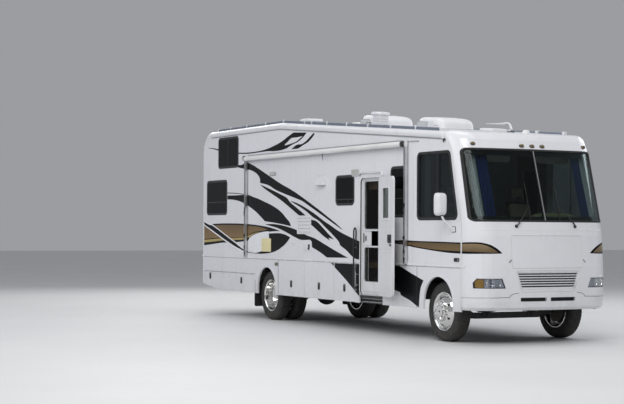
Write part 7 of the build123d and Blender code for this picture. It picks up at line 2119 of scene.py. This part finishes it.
# ---------------------------------------------------------------------------- cab
def dashboard_piece():
    kit = Kit("dash_moulding")
    ys = [-1.178 + 2.356 * i / 60 for i in range(61)]
    rows = []
    for y in ys:
        lim = cap_x(y, 1.80) - 0.088
        f = min(5.075, lim)
        hump = math.exp(-((abs(y - 0.62) / 0.27) ** 4))
        lip = 0.004 * math.sin(y * 5)
        g = lambda x: min(x, f - 0.012 * (5.2 - x))
        rows.append([(g(4.642), 1.562), (g(4.628), 1.60), (4.612 - 0.010 * hump, 1.66), (4.604 - 0.003 * hump, 1.725), (4.612, 1.757), (4.628, 1.778), (4.660, 1.806 + 0.008 * hump),
                     (4.690, 1.828 + 0.016 * hump), (4.730, 1.844 + 0.004 * hump), (g(4.80), 1.843 + lip * 0.3), (g(4.90), 1.839), (g(5.0), 1.834), (f - 0.012, 1.831), (f - 0.003, 1.825), (f, 1.812), (f, 1.705), (g(4.97), 1.642), (g(4.862), 1.566), (g(4.75), 1.561)])
    n = len(rows[0])
    verts = [(p[0], y, p[1]) for y, row in zip(ys, rows) for p in row]
    faces = [(i * n + q, i * n + (q + 1) % n, (i + 1) * n + (q + 1) % n, (i + 1) * n + q) for i in range(len(ys) - 1) for q in range(n)]
    faces += [tuple(range(n))[::-1], tuple((len(ys) - 1) * n + q for q in range(n))]
    bm = bmesh.new()
    vs = [bm.verts.new(v) for v in verts]
    for f in faces:
        bm.faces.new([vs[k] for k in f])
    bmesh.ops.recalc_face_normals(bm, faces=bm.faces)
    kit.take(bm, M["dash"])
    top = lambda a, b, h=0.0: Vector((a, b, 1.838 + h))
    # defroster slots along the screen, speaker grilles
    for i in range(14):
        y = -1.0 + 0.1538 * i
        kit.plate([rrect(4.990, 5.012, y - 0.055, y + 0.055, 0.006, 3)], top, -0.004, 0.0025, M["dash_dark"], bevel=0.001)
        for k in range(5):
            kit.plate([rect(4.991, 5.011, y - 0.045 + 0.0205 * k, y - 0.042 + 0.0205 * k)], top, 0.0025, 0.0042, M["dash"])
    for s in (-1, 1):
        kit.plate([circle(4.86, s * 0.98, 0.058, 36)], top, -0.004, 0.0055, M["dash_dark"], bevel=0.0015)
    # face of the dash: cluster, radio, vents, switches, glove box
    face = lambda a, b, h=0.0: Vector((4.606 - 0.15 * (b - 1.70) * (1 if b < 1.70 else -0.4) * 0 - h, a, b))
    kit.plate([rrect(0.40, 0.84, 1.665, 1.752, 0.020, 5)], face, -0.01, 0.006, M["dash_dark"], bevel=0.002)
    for k, y in enumerate((0.48, 0.56, 0.64, 0.74)):
        kit.lathe([(0, 0), (0, 0.034 if k in (1, 2) else 0.026), (0.004, 0.034 if k in (1, 2) else 0.026), (0.004, 0.029 if k in (1, 2) else 0.022), (0.001, 0.028 if k in (1, 2) else 0.021), (0.001, 0)], face(y, 1.708, 0.006), (-1, 0, 0), M["grey"], 32)
    kit.plate([rrect(-0.10, 0.10, 1.665, 1.745, 0.008, 4)], face, -0.01, 0.006, M["dash_dark"], bevel=0.002)
    for y in (-0.30, -0.22, 0.18, 0.26, 0.92, 1.02, -0.95):
        kit.plate([rrect(y - 0.030, y + 0.030, 1.680, 1.735, 0.010, 4)], face, -0.01, 0.005, M["dash_dark"], bevel=0.0015)
        for k in range(4):
            kit.plate([rect(y - 0.026, y + 0.026, 1.688 + 0.012 * k, 1.692 + 0.012 * k)], face, 0.005, 0.008, M["dash"])
    kit.loop(rrect(-0.86, -0.40, 1.600, 1.745, 0.020, 5), [(-0.002, 0.0), (-0.0015, 0.004), (0.0015, 0.004), (0.002, 0.0)], face, M["dash_dark"])
    kit.done("root", "cab_plastic", replaces="dashboard")
    # raised pad on top, seen over the lower edge of the windshield
    kit = Kit("dash_hood")
    for y, b, h in ((0.42, 0.52, 0.190), (-0.52, 0.42, 0.125)):
        superloft(kit, (4.870, y, 1.832), (1, 0, 0), (0, 1, 0), (0, 0, 1), [(0.0, 0.125, b, 0), (0.02 , 0.126, b, 0), (h * 0.35, 0.122, b - 0.02, 0), (h * 0.62, 0.108, b - 0.07, -0.004), (h * 0.84, 0.082, b - 0.15, -0.010), (h * 0.96, 0.050, b - 0.26, -0.014), (h, 0.015, b - 0.38, -0.016)], M["dash"], 64, 3.0)
    for q in range(9):
        y = 0.06 + 0.09 * q
        kit.tube([(4.990, y - 0.03, 1.850), (4.992, y, 1.852), (4.990, y + 0.03, 1.850)], 0.004, M["dash_dark"], 8)
    kit.done("root", "cab_plastic")


dashboard_piece()


def steering_piece():
    kit = Kit("steering_wheel_rim")
    c, ax = Vector((4.5, 0.62, 1.83)), Vector((-0.5, 0, 0.866)).normalized()
    ring = []
    n = 96
    u = Vector((0, 1, 0))
    v = ax.cross(u)
    kit.tube([c + (u * math.cos(2 * math.pi * i / n) + v * math.sin(2 * math.pi * i / n)) * 0.215 for i in range(n)], [0.0148 + 0.0008 * (1 if (i % 8) < 4 else 0) for i in range(n)], M["dash_dark"], 14, closed=True)
    for a in (90, 210, 330):
        d = u * math.cos(math.radians(a)) + v * math.sin(math.radians(a))
        kit.tube([c - ax * 0.006 + d * 0.05, c - ax * 0.004 + d * 0.10, c - ax * 0.001 + d * 0.16, c + d * 0.205], [0.020, 0.017, 0.015, 0.013], M["dash_dark"], 14, squash=0.5)
    kit.lathe([(-0.012, 0), (-0.012, 0.060), (0.004, 0.061), (0.009, 0.056), (0.012, 0.040), (0.0125, 0.018), (0.010, 0)], c, ax, M["dash"], 48)
    kit.lathe([(-0.182, 0), (-0.182, 0.023), (-0.10, 0.024), (-0.06, 0.034), (-0.012, 0.038), (-0.012, 0)], c, ax, M["dash_dark"], 32)
    p = c - ax * 0.06
    kit.tube([p + u * 0.03, p + u * 0.10 + ax * 0.01, p + u * 0.175 + ax * 0.022], [0.006, 0.006, 0.0075], M["black"], 12)
    kit.done("root", "cab_plastic", replaces="steering_wheel")


steering_piece()


def pad_form(name, size, crown, waist, curve=0.0, seg=(14, 14, 5), voxel=0.006):
    """Closed cushion form, crowned with its sides drawn in between the corners; local axes x, y, z."""
    bm = bmesh.new()
    nx, ny, nz = seg
    verts = {}

    def at(i, j, k):
        key = (i, j, k)
        if key not in verts:
            u, v, w = 2 * i / nx - 1, 2 * j / ny - 1, 2 * k / nz - 1
            px = size[0] / 2 * u * (1 - waist * (1 - v * v) * abs(u) ** 3)
            py = size[1] / 2 * v * (1 - waist * (1 - u * u) * abs(v) ** 3)
            # rounded corners and edges
            r = 1 - 0.10 * (abs(u) * abs(v)) ** 6
            thick = size[2] / 2 * (1 - 0.22 * max(abs(u), abs(v)) ** 8) + crown * (1 - u * u) * (1 - v * v)
            px *= r * (1 - 0.04 * abs(w) ** 4)
            py *= r * (1 - 0.04 * abs(w) ** 4)
            verts[key] = bm.verts.new((px, py, thick * w + curve * (u * u - 0.3)))
        return verts[key]

    for i in range(nx):
        for j in range(ny):
            bm.faces.new([at(i, j, nz), at(i + 1, j, nz), at(i + 1, j + 1, nz), at(i, j + 1, nz)])
            bm.faces.new([at(i, j + 1, 0), at(i + 1, j + 1, 0), at(i + 1, j, 0), at(i, j, 0)])
    for k in range(nz):
        for i in range(nx):
            bm.faces.new([at(i, 0, k), at(i + 1, 0, k), at(i + 1, 0, k + 1), at(i, 0, k + 1)])
            bm.faces.new([at(i + 1, ny, k), at(i, ny, k), at(i, ny, k + 1), at(i + 1, ny, k + 1)])
        for j in range(ny):
            bm.faces.new([at(0, j + 1, k), at(0, j, k), at(0, j, k + 1), at(0, j + 1, k + 1)])
            bm.faces.new([at(nx, j, k), at(nx, j + 1, k), at(nx, j + 1, k + 1), at(nx, j, k + 1)])
    me = bpy.data.meshes.new(name)
    bm.to_mesh(me)
    bm.free()
    ob = bpy.data.objects.new(name, me)
    bpy.context.scene.collection.objects.link(ob)
    return ob


def swell(ob, voxel=0.006, cap=0.016):
    """Fills the form like a stuffed pad: remesh, cloth with inside pressure, movement capped, then smoothed."""
    view = bpy.context.view_layer
    for o in bpy.context.selected_objects:
        o.select_set(False)
    ob.select_set(True)
    view.objects.active = ob
    r = ob.modifiers.new("remesh", "REMESH")
    r.mode, r.voxel_size = "VOXEL", voxel
    bpy.ops.object.modifier_apply(modifier=r.name)
    rest = [v.co.copy() for v in ob.data.vertices]
    c = ob.modifiers.new("cloth", "CLOTH")
    s = c.settings
    s.use_pressure, s.uniform_pressure_force = True, 4.0
    s.quality, s.mass = 4, 0.3
    s.tension_stiffness = s.compression_stiffness = s.shear_stiffness = 15
    s.bending_stiffness = 0.5
    s.effector_weights.gravity = 0.0
    c.collision_settings.use_collision = False
    scene = bpy.context.scene
    for f in range(1, 21):
        scene.frame_set(f)
    ev = ob.evaluated_get(bpy.context.evaluated_depsgraph_get())
    moved = [v.co.copy() for v in ev.data.vertices]
    ob.modifiers.remove(c)
    scene.frame_set(1)
    for v, a, b in zip(ob.data.vertices, rest, moved):
        d = b - a
        v.co = a + d * min(1.0, cap / max(d.length, 1e-9))
    k = ob.modifiers.new("soft", "SMOOTH")
    k.factor, k.iterations = 0.5, 3
    bpy.ops.object.modifier_apply(modifier=k.name)
    for f in ob.data.polygons:
        f.use_smooth = True


def seats():
    # one set of pads is made and fitted to both seats; sizes across the seat, fore and aft, thick
    parts = {
        "cushion": ((0.440, 0.455, 0.085), 0.006, 0.020, 0.0),
        "back": ((0.445, 0.560, 0.080), 0.004, 0.025, 0.012),
        "headrest": ((0.260, 0.150, 0.060), 0.004, 0.030, 0.0),
    }
    ready = {}
    for name, (size, crown, waist, curve) in parts.items():
        ob = pad_form("pad_" + name, size, crown, waist, curve)
        swell(ob, cap=0.014)
        ready[name] = ob
    placed = {"cushion": ((4.000, 1.552), 4.0), "back": ((3.690, 1.925), 74.0), "headrest": ((3.578, 2.368), 80.0)}
    for tag, y0 in (("right", -0.62), ("left", 0.62)):
        for name, src in ready.items():
            me = src.data.copy()
            # pressed seams: piping line round the face, sewn channels across it
            size = parts[name][0]
            for v in me.vertices:
                x, y, z = v.co
                edge = min(size[0] / 2 + 0.01 - abs(x), size[1] / 2 + 0.01 - abs(y))
                d = 0.006 * math.exp(-((edge - 0.052) / 0.007) ** 2)
                if name != "headrest":
                    for line in (-0.085, 0.085):
                        d += 0.006 * math.exp(-((x - line) / 0.006) ** 2) * (1 if edge > 0.05 else 0)
                    for line in (-0.14, 0.0, 0.14):
                        d += 0.004 * math.exp(-((y - line) / 0.006) ** 2) * (1 if edge > 0.05 and abs(x) < 0.085 else 0)
                if z > 0:
                    v.co.z -= d
            (cx, cz), tilt = placed[name]
            t = math.radians(tilt)
            # local x across the seat, y fore and aft or up the back, z out of the face
            m = Matrix(((0, math.cos(t) if name == "cushion" else -math.cos(t), -math.sin(t) if name == "cushion" else math.sin(t), cx), (1, 0, 0, y0), (0, math.sin(t), math.cos(t), cz), (0, 0, 0, 1)))
            me.transform(m)
            if m.determinant() < 0:
                me.flip_normals()
            me.materials.clear()
            me.materials.append(M["leather"])
            ob = bpy.data.objects.new("seat_%s_%s" % (name, tag), me)
            bpy.context.scene.collection.objects.link(ob)
            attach(ob, "root")
    for src in ready.values():
        bpy.data.objects.remove(src)
    kit = Kit("seat_frames")
    for y0 in (-0.62, 0.62):
        kit.box((3.77, y0 - 0.225, 1.478), (4.225, y0 + 0.225, 1.506), M["dash_dark"], 0.010, 3)
        kit.box((3.80, y0 - 0.14, 1.440), (4.10, y0 + 0.14, 1.480), M["steel_dark"], 0.005)
        kit.lathe([(0, 0), (0, 0.165), (0.010, 0.165), (0.018, 0.150), (0.030, 0.085), (0.10, 0.070), (0.20, 0.070), (0.255, 0.110), (0.262, 0)], (3.95, y0, FLOOR + 0.001), (0, 0, 1), M["steel_dark"], 40)
        # shell of the back, arm rests on their brackets, headrest posts, recline lever
        kit.sweep([(3.756, y0, 1.540), (3.700, y0, 1.700), (3.648, y0, 1.900), (3.598, y0, 2.080), (3.560, y0, 2.220)], [(-0.200, -0.014), (-0.205, 0.0), (-0.195, 0.014), (0.195, 0.014), (0.205, 0.0), (0.200, -0.014)], M["dash_dark"], up=(1, 0, 0.2))
        for s in (-1, 1):
            kit.rod((3.580, y0 + s * 0.07, 2.20), (3.570, y0 + s * 0.07, 2.36), 0.006, M["galvanised"], 12)
            kit.rod((3.700, y0 + s * 0.235, 1.740), (3.700, y0 + s * 0.262, 1.740), 0.024, M["dash_dark"], 24)
        kit.tube([(4.08, y0 - 0.23, 1.50), (4.14, y0 - 0.25, 1.505), (4.19, y0 - 0.25, 1.515)], 0.008, M["black"], 12)
    kit.done("root", "seat_fabric")
    for y0 in (-0.62, 0.62):
        for s in (-1, 1):
            kit = Kit("armrest_%s_%s" % ("right" if y0 < 0 else "left", "in" if s * y0 < 0 else "out"))
            superloft(kit, (3.850, y0 + s * 0.246, 1.742), (1, 0, 0.04), (0, 1, 0), (-0.04, 0, 1), [(-0.026, 0.150, 0.018, 0), (-0.020, 0.163, 0.0215, 0), (0, 0.168, 0.0235, 0), (0.016, 0.164, 0.0225, 0), (0.025, 0.150, 0.018, 0), (0.028, 0.10, 0.010, 0)], M["leather"], 40, 4)
            kit.done("root", "seat_fabric")
    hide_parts("cab_seats")


seats()


def pleats(name, p0, p1, z0, z1, folds, depth, mat, body="root", lean=0.0, normal=None, spread=0.0):
    """Cloth drawn together in soft folds between p0 and p1 (x, y); returns the piece."""
    a, b = Vector((*p0, 0)), Vector((*p1, 0))
    d = b - a
    t = d.normalized()
    nrm = Vector(normal) if normal else Vector((-t.y, t.x, 0))
    n, m = folds * 12, 16
    verts = []
    for j in range(m + 1):
        v = j / m
        z = z0 + (z1 - z0) * v
        amp = depth * (0.55 + 0.45 * (1 - v)) * (1 + 0.08 * math.sin(7 * v))
        for i in range(n + 1):
            u = i / n
            ph = 2 * math.pi * folds * u
            w = amp * (math.sin(ph) + 0.18 * math.sin(2.7 * ph + 4 * v) * (1 - v)) * 0.5
            along = u + 0.012 * math.sin(ph * 2 + 3 * v) / folds
            p = a + d * min(max(along * (1 - spread * v) + spread * v * 0.5, 0), 1) + nrm * w
            verts.append((p.x - lean * (z - z0), p.y, z + (0.004 * math.sin(ph) if j == 0 else 0)))
    faces = [(j * (n + 1) + i, j * (n + 1) + i + 1, (j + 1) * (n + 1) + i + 1, (j + 1) * (n + 1) + i) for j in range(m) for i in range(n)]
    me = bpy.data.meshes.new(name)
    me.from_pydata(verts, [], faces)
    for f in me.polygons:
        f.use_smooth = True
    me.materials.append(mat)
    ob = bpy.data.objects.new(name, me)
    bpy.context.scene.collection.objects.link(ob)
    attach(ob, body)
    return ob


def curtains():
    rake = (5.240 - 4.899) / (2.980 - 1.880)
    # privacy curtains drawn back to the windshield's corners, the blue lining showing inboard
    for s, tag in ((-1, "right"), (1, "left")):
        pleats("curtain_light_" + tag, (4.925, s * 1.175), (5.055, s * 0.985), 1.880, 2.930, 6, 0.050, M["curtain"], lean=rake)
        pleats("curtain_blue_" + tag, (5.060, s * 0.975), (5.095, s * 0.800), 1.880, 2.930, 4, 0.040, M["curtain_blue"], lean=rake)
        pleats("curtain_side_" + tag, (3.62, s * 1.190), (3.80, s * 1.190), 1.900, 2.960, 5, 0.040, M["curtain"])
    kit = Kit("curtain_track")
    pts = [(3.60, -1.195, 2.975), (4.40, -1.195, 2.975), (4.60, -1.165, 2.965), (4.72, -1.05, 2.960), (4.76, -0.80, 2.958), (4.78, 0, 2.958), (4.76, 0.80, 2.958), (4.72, 1.05, 2.960), (4.60, 1.165, 2.965), (4.40, 1.195, 2.975), (3.60, 1.195, 2.975)]
    kit.sweep(pts, [(-0.010, -0.008), (-0.010, 0.008), (0.010, 0.008), (0.010, -0.008), (0.004, -0.008), (0.004, -0.004), (-0.004, -0.004), (-0.004, -0.008)], M["alu"])
    kit.done("root", "interior")


curtains()


def cab_lining():
    kit = Kit("cab_lining")
    # padded headliner over the cab, visors, map lights
    kit.box((3.10, -1.19, 3.010), (4.72, 1.19, 3.040), M["headliner"], 0.012, 3)
    for s in (-1, 1):
        superloft(kit, (4.62, s * 0.56, 2.90), (0.25, 0, 1), (0, 1, 0), (1, 0, -0.25), [(-0.008, 0.085, 0.31, 0), (-0.004, 0.090, 0.32, 0), (0.004, 0.090, 0.32, 0), (0.008, 0.085, 0.31, 0)], M["headliner"], 40, 6)
        kit.rod((4.66, s * 0.30, 2.985), (4.66, s * 0.82, 2.985), 0.006, M["grey"], 12)
        kit.lathe([(0, 0), (0, 0.045), (-0.006, 0.044), (-0.012, 0.030), (-0.013, 0)], (4.20, s * 0.62, 3.010), (0, 0, 1), M["lens_white"], 32)
    # engine cover between the seats with its lid
    superloft(kit, (4.35, 0.0, FLOOR), (1, 0, 0), (0, 1, 0), (0, 0, 1), [(0.0, 0.36, 0.26, 0), (0.05, 0.355, 0.255, 0), (0.27, 0.335, 0.235, 0.01), (0.325, 0.315, 0.215, 0.015), (0.345, 0.28, 0.18, 0.015), (0.350, 0.10, 0.08, 0.015)], M["carpet"], 48, 7)
    kit.plate([rrect(4.16, 4.56, -0.15, 0.15, 0.03, 5)], lambda a, b, h=0.0: Vector((a, b, FLOOR + 0.350 + h)), -0.004, 0.010, M["dash"], bevel=0.004)
    kit.done("root", "interior")

    # panelling seen through the doorway: cherry end panel with rails, latch box, tan shade over the door
    kit = Kit("doorway_panelling")
    y = -0.70
    kit.box((1.60, y, FLOOR + 0.002), (2.58, y + 0.035, 3.05), M["cherry"], 0.003)
    for x0, x1, z0, z1 in ((1.66, 2.06, 1.95, 2.98), (2.12, 2.52, 1.95, 2.98), (1.66, 2.06, 1.26, 1.88), (2.12, 2.52, 1.26, 1.88)):
        kit.loop(rrect(x0, x1, z0, z1, 0.006, 3), [(-0.030, 0.0), (-0.026, 0.006), (-0.010, 0.010), (0.0, 0.012), (0.006, 0.008), (0.008, 0.0)], lambda a, b, h=0.0: Vector((a, y - h, b)), M["cherry"])
        kit.plate([rrect(x0 + 0.05, x1 - 0.05, z0 + 0.05, z1 - 0.05, 0.004, 3)], lambda a, b, h=0.0: Vector((a, y - h, b)), 0.0, 0.007, M["cherry"], bevel=0.003)
        kit.lathe([(0, 0), (0, 0.006), (0.012, 0.005), (0.016, 0.012), (0.024, 0.014), (0.028, 0.008), (0.029, 0)], (x1 - 0.025, y - 0.012, (z0 + z1) / 2), (0, -1, 0), M["galvanised"], 20)
    kit.rod((1.70, -1.12, 2.52), (2.40, -1.12, 2.52), 0.012, M["alu"], 16)
    kit.done("root", "interior")
    # pleated shade drawn down over the upper doorway
    n, m = 40, 16
    verts = []
    for j in range(m + 1):
        for i in range(n + 1):
            x = 1.70 + 0.70 * i / n
            zz = 2.56 - 0.135 * j / m
            verts.append((x, -1.135 + (0.009 if j % 2 else -0.009) + 0.001 * math.sin(i * 0.4), zz))
    faces = [(j * (n + 1) + i, j * (n + 1) + i + 1, (j + 1) * (n + 1) + i + 1, (j + 1) * (n + 1) + i) for j in range(m) for i in range(n)]
    me = bpy.data.meshes.new("door_shade")
    me.from_pydata(verts, [], faces)
    me.materials.append(M["tan_shade"])
    ob = bpy.data.objects.new("door_shade", me)
    bpy.context.scene.collection.objects.link(ob)
    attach(ob, "root")
    # screens stretched in the inner door's frame
    kit = Kit("screen_mesh_fittings")
    for z0, z1 in ((1.750, 2.562), (0.862, 1.442)):
        kit.loop(rrect(2.0525 - 0.320, 2.0525 + 0.320, z0, z1, 0.050, 6), [(-0.006, 0.0), (-0.005, 0.0035), (0.002, 0.0035), (0.004, 0.0)], on_side(-1, W - 0.052), M["grey"])
    for x in (1.86, 2.245):
        kit.plate([rect(x - 0.0065, x + 0.0065, 0.880, 1.425)], on_side(-1, W - 0.060), 0.0, 0.0065, M["alu"], bevel=0.001)
    # sliding latch panel: grip, lock body
    o = on_side(-1, W - 0.068)
    kit.plate([rrect(1.735, 1.775, 1.55, 1.64, 0.012, 5)], o, -0.001, 0.002, M["black"], bevel=0.001)
    kit.loop(rrect(1.722, 1.932, 1.472, 1.716, 0.010, 4), [(-0.004, -0.001), (-0.003, 0.0015), (0.001, 0.0015), (0.002, -0.001)], o, M["grey"])
    kit.plate([rrect(1.705, 1.729, 1.52, 1.68, 0.010, 5)], on_side(-1, W - 0.052), 0.0, 0.0070, M["black"], bevel=0.002)
    kit.done("root", "white_metal")


cab_lining()


def entry_details():
    # leaf, seen from its inner side; a is the distance from the hinge line, b the height, h out of its inner face
    t = math.radians(180 + 168.0)
    xd = Vector((math.cos(t), math.sin(t), 0))
    zd = Vector((math.cos(t - math.pi / 2), math.sin(t - math.pi / 2), 0))
    org = Vector((2.432, -1.300, 0))
    face = lambda a, b, h=0.0: org + xd * a + zd * (0.0575 + h) + Vector((0, 0, b))
    outer = lambda a, b, h=0.0: org + xd * a + zd * (0.0175 - h) + Vector((0, 0, b))
    return face, outer


FACE, OUTER = entry_details()


def leaf_trim():
    kit = Kit("door_leaf_trim")
    z0, z1 = 0.800, 2.640
    for v in NODES["entry_door"].data.vertices:
        pass
    kit.loop(rrect(0.225, 0.565, 1.907, 2.437, 0.040, 6), [(-0.014, 0.0), (-0.012, 0.004), (-0.004, 0.007), (0.008, 0.007), (0.014, 0.003), (0.015, 0.0)], FACE, M["trim_white"])
    kit.plate([rrect(0.240, 0.550, 1.905, 1.935, 0.010, 4)], FACE, 0.001, 0.012, M["panel_white"], bevel=0.003)
    kit.loop(rrect(0.225, 0.565, 1.907, 2.437, 0.040, 6), [(-0.014, 0.0), (-0.012, 0.004), (-0.004, 0.007), (0.008, 0.007), (0.014, 0.003), (0.015, 0.0)], OUTER, M["black"])
    # raised inner panels and kick plate
    for a0, a1, b0, b1 in ((0.08, 0.69, 0.72, 1.38), (0.08, 0.52, 1.45, 1.80)):
        kit.loop(rrect(a0, a1, b0, b1, 0.030, 5), [(-0.006, 0.0), (-0.004, 0.0028), (0.004, 0.0028), (0.006, 0.0)], FACE, M["trim_white"])
    # latch: paddle, lock button, deadbolt turn
    kit.plate([rrect(0.560, 0.676, 1.538, 1.652, 0.012, 5)], FACE, 0.0205, 0.0235, M["black"], bevel=0.001)
    kit.plate([rrect(0.575, 0.642, 1.565, 1.625, 0.010, 5)], FACE, 0.0230, 0.0250, M["rubber"], bevel=0.001)
    kit.lathe([(0, 0), (0, 0.0165), (0.0020, 0.016), (0.0030, 0.011), (0.0030, 0)], FACE(0.662, 1.492, 0.022), FACE(0, 0, 1) - FACE(0, 0, 0), M["galvanised"], 28)
    n = OUTER(0, 0, 1) - OUTER(0, 0, 0)
    kit.plate([rrect(0.606, 0.714, 1.541, 1.649, 0.010, 5)], OUTER, 0.0, 0.0125, M["black"], bevel=0.002)
    kit.done("entry_door", "black_plastic")
    kit = Kit("door_hinge_leaves")
    for z in (0.86, 1.25, 1.66, 2.08, 2.48):
        kit.rod((2.432, -1.296, z - 0.05), (2.432, -1.296, z + 0.05), 0.0065, M["alu"], 16)
    kit.done("root", "white_metal")


leaf_trim()

# ---------------------------------------------------------------------------- stage, light, camera
def stage_floor():
    kit = Kit("studio_floor")
    n = 12
    verts = [(-90 + 180 * i / n, -90 + 180 * j / n, 0.0) for j in range(n + 1) for i in range(n + 1)]
    faces = [(j * (n + 1) + i, j * (n + 1) + i + 1, (j + 1) * (n + 1) + i + 1, (j + 1) * (n + 1) + i) for j in range(n) for i in range(n)]
    kit.raw(verts, faces, M["floor"])
    me = bpy.data.meshes.new("studio_floor")
    kit.bm.to_mesh(me)
    kit.bm.free()
    me.materials.append(M["floor"])
    ob = bpy.data.objects.new("studio_floor", me)
    bpy.context.scene.collection.objects.link(ob)


stage_floor()

world = bpy.data.worlds.new("studio")
bpy.context.scene.world = world
world.use_nodes = True
world.node_tree.nodes["Background"].inputs["Color"].default_value = (0.78, 0.80, 0.84, 1)
world.node_tree.nodes["Background"].inputs["Strength"].default_value = 0.42


def soft_box(name, at, to, size, power, colour=(1, 1, 1)):
    data = bpy.data.lights.new(name, "AREA")
    data.shape, data.size, data.size_y, data.energy, data.color = "RECTANGLE", size[0], size[1], power, colour
    ob = bpy.data.objects.new(name, data)
    bpy.context.scene.collection.objects.link(ob)
    ob.location = at
    ob.rotation_euler = (Vector(to) - Vector(at)).to_track_quat("-Z", "Y").to_euler()


soft_box("key", (13.0, -9.0, 11.0), (1.0, -0.5, 1.5), (9, 7), 1150, (1.0, 0.985, 0.96))
soft_box("side_fill", (-3.0, -14.0, 8.0), (0.0, 0.0, 1.6), (13, 6), 420, (0.93, 0.96, 1.0))
soft_box("top", (0.0, 0.0, 13.0), (0.0, 0.0, 0.0), (14, 7), 500, (0.97, 0.98, 1.0))
soft_box("left_fill", (2.0, 13.0, 9.0), (0.0, 0.0, 1.5), (12, 6), 600, (0.95, 0.97, 1.0))
soft_box("rear_fill", (-14.0, 3.0, 8.0), (-3.0, 0.0, 1.5), (7, 6), 450, (1.0, 0.98, 0.95))

az, pitch, roll = (math.radians(a) for a in (62.8134, 1.0616, 0.3245))
ahead = Vector((-math.sin(az) * math.cos(pitch), math.cos(az) * math.cos(pitch), math.sin(pitch)))
right = Vector((math.cos(az), math.sin(az), 0))
above = right.cross(ahead)
r_axis = right * math.cos(roll) + above * math.sin(roll)
u_axis = above * math.cos(roll) - right * math.sin(roll)
cam = bpy.data.objects.new("camera", bpy.data.cameras.new("camera"))
bpy.context.scene.collection.objects.link(cam)
m4 = Matrix.Identity(4)
for i in range(3):
    m4[i][0], m4[i][1], m4[i][2], m4[i][3] = r_axis[i], u_axis[i], -ahead[i], (24.2657, -13.8161, 1.7305)[i]
cam.matrix_world = m4
cam.data.sensor_fit = "HORIZONTAL"
cam.data.sensor_width, cam.data.lens = 36.0, 87.22
cam.data.clip_end = 400
bpy.context.scene.camera = cam
bpy.context.scene.view_settings.view_transform = "Standard"
